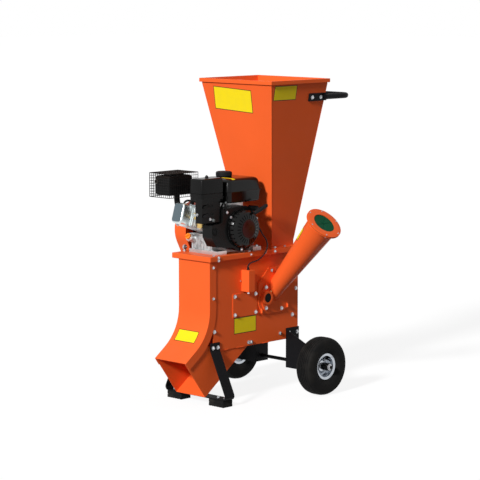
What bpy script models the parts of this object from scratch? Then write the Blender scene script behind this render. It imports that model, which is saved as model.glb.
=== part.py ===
"""A petrol garden shredder with a leaf hopper and a side cone for branches.

The origin of the working frame is on the ground, midway between the wheels, under the axle.
+X points to the cone, -Y to the discharge chute and +Z up. All sizes are in metres.
The finished assembly is moved so that the centre of its footprint is at the origin.
"""

import math

import bmesh
import bpy
from mathutils import Matrix, Vector

# Clearance between pieces that touch, also the radial clearance of a shaft in its bore.
GAP = 0.0003

# Sheet thicknesses.
CASE_SHEET = 0.003
COVER_SHEET = 0.0025
DECK_SHEET = 0.004
HOPPER_SHEET = 0.002
STRAP = 0.005

# Shredder casing.
BODY_HALF_WIDTH = 0.0945
BODY_REAR_Y = 0.035
BODY_FRONT_Y = -0.505
BODY_BOTTOM_Z = 0.235
SIDE_FLANGE = 0.010
SIDE_FLANGE_FRONT_Y = -0.482

# Engine plate, the deck on top of the casing.
DECK_TOP_Z = 0.656
DECK_LEFT_X = -0.129
DECK_RIGHT_X = 0.113
DECK_FRONT_Y = -0.540
DECK_REAR_Y = 0.040
DECK_LIP = 0.024
DECK_BEND = 0.003

# Front cover and discharge duct.
COVER_FRONT_Y = -0.528
COVER_BEND_Z = 0.3146
COVER_BEND_RADIUS = 0.21
COVER_FLANGE = 0.040
OUTLET_ANGLE = math.radians(36.7)
OUTLET_TOP_Z = 0.205
OUTLET_HEIGHT = 0.2075
DUCT_FLOOR_LENGTH = 0.330
DUCT_LAP = 0.027

# Rotor, its chamber and its bearings.
ROTOR_Y = -0.186
ROTOR_Z = 0.441
CHAMBER_RADIUS = 0.205
BAFFLE_RADIUS = 0.198
SHAFT_RADIUS = 0.015
SHAFT_LEFT_X = -0.181
SHAFT_RIGHT_X = 0.114
DISC_RADIUS = 0.150
DISC_THICKNESS = 0.010
DISC_FACE_X = 0.082
END_PLATE_RADIUS = 0.130
END_PLATE_X = -0.070
HUB_RADIUS = 0.022
SHAFT_CHAMFER = 0.002
PIN_CIRCLE = 0.112
PIN_RADIUS = 0.006
PIN_PROUD = 0.002
PIN_SEAT = 0.005
CHIP_SLOT_OFFSET = 0.030
CHIP_SLOT_HALF_WIDTH = 0.006
CHIP_SLOT_END = 0.135
HAMMER_REACH = 0.076
HAMMER_HALF_WIDTH = 0.018
HAMMER_THICKNESS = 0.010
HAMMER_COUNT = 4
KNIFE_THICKNESS = 0.006
KNIFE_WIDTH = 0.038
KNIFE_INNER = 0.048
KNIFE_LENGTH = 0.094
KNIFE_LEAD = 0.022
BEARING_RADIUS = 0.0305
BEARING_HEIGHT = 0.020
BEARING_FLANGE = 0.006
BEARING_CAP_RADIUS = 0.021
BEARING_BOLT_OFFSET = 0.047

# Hopper.
HOPPER_TOP_Z = 1.410
HOPPER_TOP_HALF_X = 0.2184
HOPPER_TOP_FRONT_Y = -0.270
HOPPER_TOP_REAR_Y = 0.096
HOPPER_NECK_Z = 0.686
THROAT_HALF_X = 0.089
THROAT_FRONT_Y = -0.131
THROAT_REAR_Y = 0.010
HOPPER_FLANGE = 0.024
HEM_HEIGHT = 0.017
HEM_FOLD = 0.004

# Hopper handle.
HANDLE_DROP = 0.080
HANDLE_RADIUS = 0.0125
HANDLE_REAR_Y = 0.235
HANDLE_BEND = 0.050
HANDLE_FLAT_FRONT_Y = -0.020
HANDLE_FLAT_REAR_Y = 0.098
HANDLE_FLAT_HEIGHT = 0.036
HANDLE_FLAT_THICKNESS = 0.005

# Chipper cone.
CONE_Y = -0.115
CONE_BASE_Z = 0.471
CONE_ANGLE = math.radians(47.5)
CONE_LENGTH = 0.428
CONE_BASE_RADIUS = 0.038
CONE_MOUTH_RADIUS = 0.0635
CONE_WALL = 0.0025
CONE_STUB = 0.020
CONE_FLANGE_RADIUS = 0.084
CONE_FLANGE_THICKNESS = 0.003
CONE_PLATE = 0.006
CONE_PLATE_CORNERS = ((-0.113, -0.056), (-0.085, -0.105), (0.055, -0.105), (0.083, -0.066),
                      (0.083, 0.059), (0.055, 0.103), (-0.045, 0.103), (-0.113, 0.039))
FLAP_THICKNESS = 0.003
FLAP_RADIUS = 0.080
FLAP_SLIT_LENGTH = 0.092
FLAP_SLIT_WIDTH = 0.0012
RING_INNER_RADIUS = 0.0505

# Inspection panel and safety switch.
PANEL_FRONT_Y = -0.386
PANEL_REAR_Y = -0.2325
PANEL_BOTTOM_Z = 0.371
PANEL_TOP_Z = 0.476
WINDOW_MARGIN = 0.030
SWITCH_FRONT_Y = -0.331
SWITCH_REAR_Y = -0.293
SWITCH_DEPTH = 0.0475
SWITCH_HEIGHT = 0.096
SWITCH_LIFT = 0.008
SWITCH_BEND = 0.0015
PLUNGER_RADIUS = 0.004
PLUNGER_TRAVEL = 0.005
PLUNGER_SHOW = 0.005
PLUNGER_DEPTH = 0.018
PLUNGER_BORE = 0.020
PLUNGER_COLLAR = 0.004
CABLE_RADIUS = 0.003
CABLE_X = 0.085
# The lead's route, first from its exit in the shroud, then from the top of the switch box.
CABLE_FROM_ENGINE = ((0, 0, 0), (0, 0.008, 0), (0.005, 0.022, -0.012), (0.015, 0.0314, -0.037),
                     (0.028, 0.0444, -0.065), (0.035, 0.0414, -0.097))
CABLE_TO_SWITCH = ((0.00145, 0.100, 0.0597), (0.00145, 0.062, 0.0377), (0, 0.016, 0.0287),
                   (0, 0, 0.016), (0, 0, 0.008), (0, 0, 0))

# Drive belt, pulleys and guard.
BELT_X = -0.165
BELT_WIDTH = 0.013
BELT_HALF_THICKNESS = 0.004
PULLEY_RIM = 0.0038
ROTOR_PULLEY_PITCH = 0.060
CLUTCH_PULLEY_PITCH = 0.040
PULLEY_RIM_RADIUS_OVER_PITCH = 0.006
CLUTCH_DRUM_RADIUS = 0.048
CLUTCH_DRUM_LENGTH = 0.022
GUARD_OUTER_X = -0.200
GUARD_CRANK_RADIUS = 0.120
GUARD_CRANK_DROP = 0.020
GUARD_ROTOR_RADIUS = 0.110
GUARD_POST_RADIUS = 0.008
GUARD_POST_OFFSET_Y = 0.086
GUARD_POST_OFFSET_Z = -0.031

# Stand and wheels.
STAND_FRONT_Y = -0.5255
STAND_WIDTH = 0.0575
STAND_TOP_Z = 0.275
STAND_BEND_Z = 0.240
STAND_FOOT_X = 0.192
STAND_BEND = 0.012
PAD_HEIGHT = 0.030
PAD_OUTER_X = 0.176
PAD_LENGTH = 0.0895
WHEEL_RADIUS = 0.130
WHEEL_TRACK = 0.542
WHEEL_SIDES = 28
TYRE_HALF_WIDTH = 0.045
TREAD_HALF_WIDTH = 0.020
SHOULDER_HALF_WIDTH = 0.032
SHOULDER_DROP = 0.003
# The tyre's wall from the shoulder down: in from the tread, and in from the widest place.
TYRE_WALL_STEPS = ((0.014, 0.004), (0.030, 0), (0.050, 0.002))
BEAD_RISE = 0.001
RIM_RADIUS = 0.0595
RIM_HALF_WIDTH = 0.032
RIM_FLANGE = 0.003
RIM_SEAT_DROP = 0.0095
RIM_SHEET = 0.0025
RIM_DISH = 0.006
RIM_WEB_EDGE = 0.012
HUB_WALL = 0.007
HUB_HALF_LENGTH = 0.050
AXLE_RADIUS = 0.008
AXLE_OVERHANG = 0.012
BRACKET_FRONT_Y = -0.045
BRACKET_REAR_Y = 0.038
BRACKET_TOP_Z = 0.285
BRACKET_BOTTOM_Z = 0.105
BRACKET_EAR_TOP_Z = 0.226

# Engine, placed by its crankshaft.
CRANK_Y = -0.335
CRANK_HEIGHT = 0.109
CRANK_RADIUS = 0.010
CRANK_LEFT_X = -0.186
CRANK_RIGHT_X = 0.100
CASE_LEFT_X = -0.085
CASE_RIGHT_X = 0.0447
CASE_RADIUS = 0.092
CASE_SKIRT_HALF_LENGTH = 0.088
CASE_FRONT = 0.126
CASE_FRONT_DROP = 0.025
CASE_SKIRT_INSET = 0.002
CASE_COVER_RADIUS = 0.070
CASE_COVER_DEPTH = 0.010
CASE_COVER_SEAT = 0.004
CASE_NECK_HALF_X = 0.042
CASE_NECK_HALF_Z = 0.046
CASE_NECK_START = 0.050
BASE_FRONT = 0.140
BASE_REAR = 0.135
BASE_HEIGHT = 0.015
BASE_INSET = 0.006
BASE_SIDE_INSET = 0.001
ENGINE_FOOT_RIGHT_X = 0.088
ENGINE_FOOT_RISE = 0.001
FRONT_FOOT_LENGTH = 0.060
REAR_FOOT_LENGTH = 0.050
SADDLE_LEFT_X = -0.050
SADDLE_RIGHT_X = 0.040
SADDLE_FRONT = 0.020
SADDLE_REAR = 0.070
SADDLE_RISE = 0.070
FILLER_X = -0.068
FILLER_FORWARD = 0.160
FILLER_RISE = 0.072
FILLER_ANGLE = math.radians(27)
FILLER_RADIUS = 0.016
FILLER_LENGTH = 0.060
FILLER_BORE_RADIUS = 0.0093
FILLER_BORE_DEPTH = 0.012
OIL_CAP_RADIUS = 0.014
OIL_CAP_HEIGHT = 0.014
OIL_CAP_EDGE = 0.002
OIL_PLUG_RADIUS = 0.009
OIL_PLUG_LENGTH = 0.010
OIL_GRIP_HALF_LENGTH = 0.011
OIL_GRIP_HALF_WIDTH = 0.0025
OIL_GRIP_START = 0.010
OIL_GRIP_TOP = 0.021
CYLINDER_TILT = math.radians(17)
CYLINDER_X = -0.034
CYLINDER_HALF_WIDTH = 0.0465
CYLINDER_CORE_HALF_Z = 0.040
CYLINDER_START = 0.0925
CYLINDER_END = 0.213
HEAD_LENGTH = 0.030
HEAD_HALF_Z = 0.049
FIN_COUNT = 7
FIN_HEIGHT = 0.008
FIN_THICKNESS = 0.003
FIN_HALF_Z = 0.048
FIN_START = 0.004
FIN_END_GAP = 0.006
VALVE_COVER_DEPTH = 0.060
VALVE_COVER_HALF_X = 0.036
VALVE_COVER_HALF_Z = 0.050
VALVE_COVER_BEND = 0.008
SPARK_PLUG_BACK = 0.015
# The spark plug and its cap from the tip down: radius, and height over its seat.
SPARK_PLUG_PROFILE = ((0, 0.044), (0.007, 0.044), (0.010, 0.038), (0.010, 0.016), (0.0065, 0.014),
                      (0.0065, 0.008), (0.0095, 0.008), (0.0095, 0), (0, 0))
SHROUD_RIGHT_X = 0.105
SHROUD_RADIUS = 0.100
# Corners of the shroud's scoop from the crankshaft: along Y, then up.
SCOOP_CORNERS = ((-0.120, 0.093), (-0.122, 0.034), (-0.186, 0.026), (-0.186, -0.028),
                 (-0.160, -0.070))
FAN_CAVITY_RADIUS = 0.0885
FAN_CAVITY_BACK = 0.011
FLYWHEEL_RADIUS = 0.085
FLYWHEEL_BACK_X = 0.060
FLYWHEEL_HUB_BACK_X = 0.066
FLYWHEEL_WEB_X = 0.082
FLYWHEEL_RIM_X = 0.090
FLYWHEEL_HUB_X = 0.092
FLYWHEEL_FACE_X = 0.096
FLYWHEEL_HUB_RADIUS = 0.030
FLYWHEEL_EDGE = 0.006
FLYWHEEL_HUB_EDGE = 0.002
FLYWHEEL_RIM_WALL = 0.012
RECOIL_RADIUS = 0.088
RECOIL_DEPTH = 0.042
RECOIL_WALL = 0.0025
RECOIL_DISC_RADIUS = 0.039
RECOIL_DISC_DROP = 0.002
RECOIL_DISC_EDGE = 0.004
RECOIL_FACE_EDGE = 0.022
RECOIL_FACE_DROP = 0.008
RECOIL_ROUND_EDGE = 0.006
RECOIL_ROUND_DROP = 0.020
RECOIL_SIDE_DROP = 0.034
RECOIL_SLOTS = 14
RECOIL_SLOT_RADIUS = 0.0555
RECOIL_SLOT_LENGTH = 0.019
RECOIL_SLOT_WIDTH = 0.006
RECOIL_SLOT_DEPTH = 0.030
ROPE_BACK = 0.071
ROPE_RISE = 0.083
ROPE_GUIDE_START_X = 0.080
ROPE_GUIDE_LENGTH = 0.022
ROPE_GUIDE_RADIUS = 0.012
GRIP_STEM_RADIUS = 0.006
GRIP_STEM_LENGTH = 0.022
GRIP_RADIUS = 0.0085
GRIP_HALF_LENGTH = 0.042
GRIP_LEAN = math.radians(20)
TANK_LEFT_X = -0.085
TANK_RIGHT_X = 0.110
TANK_FRONT = 0.090
TANK_REAR = 0.122
TANK_RISE = 0.114
TANK_LOWER_HEIGHT = 0.051
TANK_UPPER_HEIGHT = 0.055
TANK_DRAFT_UPPER = 0.010
TANK_DRAFT_LOWER = 0.005
TANK_BEND = 0.018
TANK_WALL = 0.0025
TANK_LIP = 0.004
TANK_CAP_X = -0.021
TANK_CAP_FORWARD = -0.012
TANK_CAP_RADIUS = 0.036
TANK_CAP_HEIGHT = 0.022
TANK_CAP_EDGE = 0.005
TANK_NECK_RADIUS = 0.022
MUFFLER_LEFT_X = -0.183
MUFFLER_RIGHT_X = -0.087
MUFFLER_FORWARD = 0.257
MUFFLER_LENGTH = 0.145
MUFFLER_RISE = 0.145
MUFFLER_HEIGHT = 0.087
MUFFLER_BEND = 0.014
EXHAUST_PORT_BACK = 0.016
EXHAUST_PORT_RISE = 0.018
EXHAUST_INSET = 0.030
EXHAUST_SEAT = 0.010
EXHAUST_RADIUS = 0.013
EXHAUST_BEND = 0.018
CAGE_MARGIN = 0.016
CAGE_RISE = 0.013
CAGE_DROP = 0.008
CAGE_WIRE = 0.003
CAGE_SHEET = 0.0025
CAGE_STUD_RADIUS = 0.004
CAGE_PITCH = 0.034
FILTER_LEFT_X = 0.014
FILTER_RIGHT_X = 0.094
FILTER_FORWARD = 0.235
FILTER_LENGTH = 0.133
FILTER_RISE = 0.135
FILTER_TRAY_HEIGHT = 0.030
FILTER_COVER_HEIGHT = 0.065
FILTER_BEND = 0.010
FILTER_KNOB_RADIUS = 0.007
FILTER_KNOB_HEIGHT = 0.012
FILTER_KNOB_SEAT = 0.004
PANEL_DROP = 0.098
PANEL_LAP = 0.010
PANEL_THICKNESS = 0.006
PANEL_REAR_INSET = 0.022
CARB_X = 0.0295
CARB_FORWARD = 0.1835
CARB_RISE = 0.035
CARB_HEIGHT = 0.039
CARB_HALF_WIDTH = 0.022
CARB_BEND = 0.003
CARB_THROAT_RADIUS = 0.017
CARB_THROAT_SEAT = 0.010
BOWL_DEPTH = 0.026
BOWL_SEAT = 0.004
BOWL_FOOT_RADIUS = 0.013
BOWL_RADIUS = 0.016
LEVER_THICKNESS = 0.003
LEVER_HALF_WIDTH = 0.005
LEVER_KNOB_HEIGHT = 0.008
LEVER_KNOB_RADIUS = 0.0045
THROTTLE_FORWARD = 0.098
THROTTLE_RISE = 0.078
THROTTLE_LENGTH = 0.045
PANEL_LEVER_BACK = 0.040
PANEL_LEVER_LENGTH = 0.030
CHOKE_DROP = 0.022
FUEL_DROP = 0.060
SWITCH_KNOB_FORWARD = 0.165
SWITCH_KNOB_DROP = 0.003
SWITCH_KNOB_RADIUS = 0.013
SWITCH_KNOB_HEIGHT = 0.010
SWITCH_GRIP_HALF_LENGTH = 0.011
SWITCH_GRIP_HALF_WIDTH = 0.003
SWITCH_GRIP_START = 0.008
SWITCH_GRIP_TOP = 0.017

# Values that follow from the ones above.
DECK_UNDER_Z = DECK_TOP_Z - DECK_SHEET
CASING_TOP_Z = DECK_UNDER_Z - GAP
INSIDE_HALF_WIDTH = BODY_HALF_WIDTH - CASE_SHEET
LINER_HALF_WIDTH = INSIDE_HALF_WIDTH - GAP
COVER_HALF_WIDTH = BODY_HALF_WIDTH + GAP + COVER_SHEET
SKIN_X = BODY_HALF_WIDTH + GAP
OUTLET_TOP_Y = COVER_FRONT_Y - (COVER_BEND_Z - OUTLET_TOP_Z) / math.tan(OUTLET_ANGLE)
CRANK_Z = DECK_TOP_Z + CRANK_HEIGHT
HANDLE_Z = HOPPER_TOP_Z - HANDLE_DROP
TANK_FRONT_Y = CRANK_Y - TANK_FRONT
TANK_REAR_Y = CRANK_Y + TANK_REAR
TANK_CAP_Y = CRANK_Y - TANK_CAP_FORWARD
TANK_BOTTOM_Z = CRANK_Z + TANK_RISE
TANK_SEAM_Z = TANK_BOTTOM_Z + TANK_LOWER_HEIGHT
TANK_TOP_Z = TANK_SEAM_Z + TANK_UPPER_HEIGHT
MUFFLER_LOW = Vector((MUFFLER_LEFT_X, CRANK_Y - MUFFLER_FORWARD, CRANK_Z + MUFFLER_RISE))
MUFFLER_HIGH = Vector((MUFFLER_RIGHT_X, MUFFLER_LOW.y + MUFFLER_LENGTH,
                       MUFFLER_LOW.z + MUFFLER_HEIGHT))
FILTER_FRONT_Y = CRANK_Y - FILTER_FORWARD
FILTER_REAR_Y = FILTER_FRONT_Y + FILTER_LENGTH
FILTER_BOTTOM_Z = CRANK_Z + FILTER_RISE
FILTER_SEAM_Z = FILTER_BOTTOM_Z + FILTER_TRAY_HEIGHT
FILTER_TOP_Z = FILTER_SEAM_Z + FILTER_COVER_HEIGHT
CARB_Y = CRANK_Y - CARB_FORWARD
CARB_BOTTOM_Z = CRANK_Z + CARB_RISE
CARB_TOP_Z = CARB_BOTTOM_Z + CARB_HEIGHT
HUB_X = WHEEL_TRACK / 2
PLATE_FACE_X = SKIN_X + CONE_PLATE
CONE_DIRECTION = Vector((math.cos(CONE_ANGLE), 0, math.sin(CONE_ANGLE)))
CONE_BASE = Vector((BODY_HALF_WIDTH, CONE_Y, CONE_BASE_Z))
ROTOR_AXIS = Vector((0, ROTOR_Y, ROTOR_Z))
CRANK_AXIS = Vector((0, CRANK_Y, CRANK_Z))
AXLE_Z = WHEEL_RADIUS
GROOVE_HALF = BELT_WIDTH / 2 + GAP
HOPPER_SLOPE = math.atan((HOPPER_TOP_HALF_X - THROAT_HALF_X)
                         / (HOPPER_TOP_Z - HOPPER_SHEET - HOPPER_NECK_Z))
PULLEY_LEFT_X = BELT_X - GROOVE_HALF - PULLEY_RIM
PULLEY_RIGHT_X = BELT_X + GROOVE_HALF + PULLEY_RIM

# Directions in which the flat outlines are drawn: first axis, second axis, normal.
PLANES = {
    "YZ": Matrix(((0, 0, 1, 0), (1, 0, 0, 0), (0, 1, 0, 0), (0, 0, 0, 1))),
    "XZ": Matrix(((1, 0, 0, 0), (0, 0, -1, 0), (0, 1, 0, 0), (0, 0, 0, 1))),
    "XY": Matrix.Identity(4),
}
X_AXIS = Vector((1, 0, 0))


def clear_scene():
    """Remove everything that the scene holds."""
    for old in list(bpy.data.objects):
        bpy.data.objects.remove(old, do_unlink=True)


def new_collection(name):
    """A collection linked to the scene."""
    collection = bpy.data.collections.new(name)
    bpy.context.scene.collection.children.link(collection)
    return collection


clear_scene()
PART = new_collection("garden_shredder")
CUTTERS = new_collection("cutters")
ROOT = bpy.data.objects.new("assembly", None)
PART.objects.link(ROOT)


def finish(name, colour, roughness, metallic=0.0):
    """A plain surface finish."""
    material = bpy.data.materials.new(name)
    material.use_nodes = True
    shader = material.node_tree.nodes["Principled BSDF"]
    shader.inputs["Base Color"].default_value = (*colour, 1)
    shader.inputs["Roughness"].default_value = roughness
    shader.inputs["Metallic"].default_value = metallic
    return material


ORANGE = finish("orange_paint", (0.85, 0.15, 0.03), 0.42)
BLACK = finish("black_paint", (0.02, 0.02, 0.022), 0.45)
PLASTIC = finish("black_plastic", (0.025, 0.025, 0.027), 0.5)
RUBBER = finish("rubber", (0.03, 0.03, 0.03), 0.85)
GREEN_RUBBER = finish("green_rubber", (0.02, 0.22, 0.09), 0.8)
ALUMINIUM = finish("cast_aluminium", (0.62, 0.63, 0.64), 0.4, 1.0)
STEEL = finish("steel", (0.55, 0.56, 0.57), 0.35, 1.0)
ZINC = finish("zinc_plate", (0.72, 0.74, 0.76), 0.25, 1.0)
CAP_ORANGE = finish("orange_plastic", (0.9, 0.3, 0.05), 0.45)


def link(name, data, surface):
    """A new object on the assembly, or a tool when it has no surface finish."""
    piece = bpy.data.objects.new(name, data)
    piece.parent = ROOT
    if surface is None:
        piece.hide_render = True
        piece.display_type = "WIRE"
        CUTTERS.objects.link(piece)
    else:
        data.materials.append(surface)
        PART.objects.link(piece)
    return piece


def finish_mesh(name, shape, surface):
    """Turn an edited mesh into an object."""
    mesh = bpy.data.meshes.new(name)
    shape.to_mesh(mesh)
    shape.free()
    return link(name, mesh, surface)


def add_boxes(name, corners, surface=None, bevel=0.0):
    """Boxes from pairs of low and high corners, as one object."""
    shape = bmesh.new()
    for low, high in corners:
        low, high = Vector(low), Vector(high)
        fit = Matrix.Translation((low + high) / 2) @ Matrix.Diagonal((*(high - low), 1))
        bmesh.ops.create_cube(shape, size=1, matrix=fit)
    piece = finish_mesh(name, shape, surface)
    if bevel:
        add_bevel(piece, bevel)
    return piece


def add_stack(name, levels, surface=None, bevel=0.0):
    """A solid through level rectangles, each given by its low and high corners."""
    shape = bmesh.new()
    rows = []
    for low, high in levels:
        corners = [(low[0], low[1]), (high[0], low[1]), (high[0], high[1]), (low[0], high[1])]
        rows.append([shape.verts.new((*corner, low[2])) for corner in corners])
    for lower, upper in zip(rows, rows[1:]):
        for corner in range(4):
            following = (corner + 1) % 4
            shape.faces.new((lower[corner], lower[following], upper[following], upper[corner]))
    shape.faces.new(reversed(rows[0]))
    shape.faces.new(rows[-1])
    piece = finish_mesh(name, shape, surface)
    if bevel:
        add_bevel(piece, bevel)
    return piece


def sided(low, high, side):
    """The low and high corners of a box on the right side, or mirrored to the left."""
    if side > 0:
        return low, high
    return (-high[0], low[1], low[2]), (-low[0], high[1], high[2])


def add_bevel(piece, width, segments=2):
    """Round the edges of a piece."""
    bevel = piece.modifiers.new("Bevel", "BEVEL")
    bevel.width = width
    bevel.segments = segments
    bevel.limit_method = "ANGLE"
    piece.data.shade_smooth()
    piece.data.set_sharp_from_angle(angle=math.radians(30))


def add_rods(name, ends, radius, surface=None, sides=16, tip_radius=None):
    """Straight round rods or cones between pairs of points, as one object."""
    shape = bmesh.new()
    for start, end in ends:
        start, end = Vector(start), Vector(end)
        turn = (end - start).to_track_quat("Z", "Y").to_matrix().to_4x4()
        place = Matrix.Translation((start + end) / 2) @ turn
        bmesh.ops.create_cone(shape, cap_ends=True, segments=sides, radius1=radius,
                              radius2=radius if tip_radius is None else tip_radius,
                              depth=(end - start).length, matrix=place)
    piece = finish_mesh(name, shape, surface)
    smooth(piece)
    return piece


def smooth(piece):
    """Shade round faces smooth and keep the sharp edges."""
    piece.data.shade_smooth()
    piece.data.set_sharp_from_angle(angle=math.radians(35))


def add_turned(name, profile, centre, direction, surface=None, sides=28, spin=0.0):
    """A turned piece. The profile holds (radius, height) points, down the outer side first."""
    mesh = bpy.data.meshes.new(name)
    count = len(profile)
    edges = [(step, step + 1) for step in range(count - 1)]
    if profile[0][0] > 0 and profile[-1][0] > 0:
        edges.append((count - 1, 0))
    mesh.from_pydata([(radius, 0, height) for radius, height in profile], edges, [])
    piece = link(name, mesh, surface)
    turn = Vector(direction).to_track_quat("Z", "Y").to_matrix().to_4x4()
    piece.matrix_basis = Matrix.Translation(centre) @ turn @ Matrix.Rotation(spin, 4, "Z")
    screw = piece.modifiers.new("Turn", "SCREW")
    screw.steps = sides
    screw.render_steps = sides
    screw.use_merge_vertices = True
    screw.merge_threshold = 0.00001
    screw.use_smooth_shade = True
    return piece


def as_mesh(guide, surface):
    """Weld a curve's evaluated surface into a mesh object and remove the curve."""
    bpy.context.view_layer.update()
    evaluated = guide.evaluated_get(bpy.context.evaluated_depsgraph_get())
    mesh = bpy.data.meshes.new_from_object(evaluated)
    shape = bmesh.new()
    shape.from_mesh(mesh)
    bmesh.ops.remove_doubles(shape, verts=shape.verts, dist=0.000001)
    bmesh.ops.recalc_face_normals(shape, faces=shape.faces)
    shape.to_mesh(mesh)
    shape.free()
    mesh.materials.clear()
    place = guide.matrix_basis.copy()
    name = guide.name
    bpy.data.objects.remove(guide, do_unlink=True)
    mesh.name = name
    piece = link(name, mesh, surface)
    piece.matrix_basis = place
    return piece


def add_outline(name, loops, plane, start, end, surface=None):
    """Flat loops of (first, second) points in a plane, extruded from start to end."""
    curve = bpy.data.curves.new(name, "CURVE")
    curve.dimensions = "2D"
    curve.fill_mode = "BOTH"
    curve.extrude = abs(end - start) / 2
    for loop in loops:
        spline = curve.splines.new("POLY")
        spline.points.add(len(loop) - 1)
        for point, (first, second) in zip(spline.points, loop):
            point.co = (first, second, 0, 1)
        spline.use_cyclic_u = True
    guide = bpy.data.objects.new(name, curve)
    guide.parent = ROOT
    PART.objects.link(guide)
    frame = PLANES[plane]
    normal = frame.col[2].xyz
    guide.matrix_basis = Matrix.Translation(normal * normal.dot(normal) * (start + end) / 2) @ frame
    return as_mesh(guide, surface)


def add_tube(name, points, radius, surface, resolution=2):
    """A round bar or wire along a row of points."""
    curve = bpy.data.curves.new(name, "CURVE")
    curve.dimensions = "3D"
    curve.bevel_depth = radius
    curve.bevel_resolution = resolution
    curve.use_fill_caps = True
    spline = curve.splines.new("POLY")
    spline.points.add(len(points) - 1)
    for point, place in zip(spline.points, points):
        point.co = (*place, 1)
    return link(name, curve, surface)


def combine(piece, tool, operation):
    """Cut or join a piece with a tool, which then becomes a hidden cutter."""
    if tool.name in PART.objects:
        PART.objects.unlink(tool)
        CUTTERS.objects.link(tool)
    tool.hide_render = True
    tool.display_type = "WIRE"
    boolean = piece.modifiers.new(tool.name, "BOOLEAN")
    boolean.operation = operation
    boolean.object = tool
    return piece


def cut(piece, *tools):
    """Take tools away from a piece."""
    for tool in tools:
        combine(piece, tool, "DIFFERENCE")
    return piece


def join(piece, *tools):
    """Weld tools to a piece."""
    for tool in tools:
        combine(piece, tool, "UNION")
    return piece


def set_origin(piece, point):
    """Put a mesh object's origin on a point, with its shape left where it is."""
    shift = Vector(point) - piece.location
    piece.data.transform(Matrix.Translation(-shift))
    piece.location = Vector(point)
    return piece


def turn_mesh(piece, pivot, angle, axis):
    """Turn an object's mesh about an axis through a point."""
    pivot = Vector(pivot)
    turn = Matrix.Translation(pivot) @ Matrix.Rotation(angle, 4, axis) @ Matrix.Translation(-pivot)
    piece.data.transform(turn)
    return piece


def rounded(points, radius, steps=6):
    """A path whose inner corners are arcs of one radius."""
    points = [Vector(point) for point in points]
    path = [points[0]]
    for before, corner, after in zip(points, points[1:], points[2:]):
        into, out = (before - corner).normalized(), (after - corner).normalized()
        half = into.angle(out) / 2
        reach = radius / math.tan(half)
        centre = corner + (into + out).normalized() * radius / math.sin(half)
        first = corner + into * reach - centre
        last = corner + out * reach - centre
        sweep = first.angle(last)
        for step in range(steps + 1):
            share = sweep * step / steps
            mix = (first * math.sin(sweep - share) + last * math.sin(share)) / math.sin(sweep)
            path.append(centre + mix)
    path.append(points[-1])
    return path


def offset_path(path, distance):
    """A flat path moved sideways to its left, with mitred corners."""
    moved = []
    for index, point in enumerate(path):
        ahead = (path[min(index + 1, len(path) - 1)] - point)
        behind = (point - path[max(index - 1, 0)])
        if ahead.length == 0:
            ahead = behind
        if behind.length == 0:
            behind = ahead
        left_ahead = Vector((-ahead.y, ahead.x)).normalized()
        left_behind = Vector((-behind.y, behind.x)).normalized()
        mean = (left_ahead + left_behind).normalized()
        moved.append(point + mean * distance / mean.dot(left_ahead))
    return moved


def strip(path, thickness):
    """The closed outline of a strip that lies on the left of a path."""
    return [*path, *reversed(offset_path(path, thickness))]


def arc(centre, radius, start, end, steps):
    """Points on an arc between two angles in degrees."""
    angles = [math.radians(start + (end - start) * step / steps) for step in range(steps + 1)]
    return [Vector((centre[0] + radius * math.cos(angle), centre[1] + radius * math.sin(angle)))
            for angle in angles]


def belt_outline(extra_crank, extra_rotor, drop=0.0, steps=16):
    """The outline round the crankshaft, or a point below it, and the rotor, at two radii."""
    crank, rotor = Vector((CRANK_Y, CRANK_Z - drop)), Vector((ROTOR_Y, ROTOR_Z))
    line = crank - rotor
    heading = math.degrees(math.atan2(line.y, line.x))
    lean = math.degrees(math.acos((extra_rotor - extra_crank) / line.length))
    around_crank = arc(crank, extra_crank, heading - lean, heading + lean, steps)
    around_rotor = arc(rotor, extra_rotor, heading + lean, heading + 360 - lean, steps)
    return [*around_crank, *around_rotor]


def front_path():
    """The outer line of the front cover in Y and Z, from the deck down to the outlet."""
    corners = [(COVER_FRONT_Y, CASING_TOP_Z), (COVER_FRONT_Y, COVER_BEND_Z),
               (OUTLET_TOP_Y, OUTLET_TOP_Z)]
    return rounded(corners, COVER_BEND_RADIUS, 8)


def outlet_direction():
    """Unit vectors in Y and Z: up along the duct, and across it towards the cover."""
    along = Vector((math.cos(OUTLET_ANGLE), math.sin(OUTLET_ANGLE)))
    return along, Vector((-along.y, along.x))


def hopper_half_x(height):
    """Half the hopper's outer width at a height."""
    return THROAT_HALF_X + (height - HOPPER_NECK_Z) * math.tan(HOPPER_SLOPE)


def body_side(name, side):
    """A side plate of the casing, with a flange on top that carries the deck."""
    inner, outer = side * INSIDE_HALF_WIDTH, side * BODY_HALF_WIDTH
    edge = side * (BODY_HALF_WIDTH + SIDE_FLANGE)
    plate = add_boxes(name, [((min(inner, outer), BODY_FRONT_Y, BODY_BOTTOM_Z),
                              (max(inner, outer), BODY_REAR_Y, CASING_TOP_Z))], ORANGE)
    flange = add_boxes(f"{name}_flange", [
        ((min(inner, edge), SIDE_FLANGE_FRONT_Y, CASING_TOP_Z - CASE_SHEET),
         (max(inner, edge), BODY_REAR_Y, CASING_TOP_Z))])
    shaft = add_rods(f"{name}_shaft_hole", [(ROTOR_AXIS + X_AXIS * inner * 0.9,
                                             ROTOR_AXIS + X_AXIS * outer * 1.1)],
                     SHAFT_RADIUS + CASE_SHEET)
    join(plate, flange)
    return cut(plate, shaft)


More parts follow.
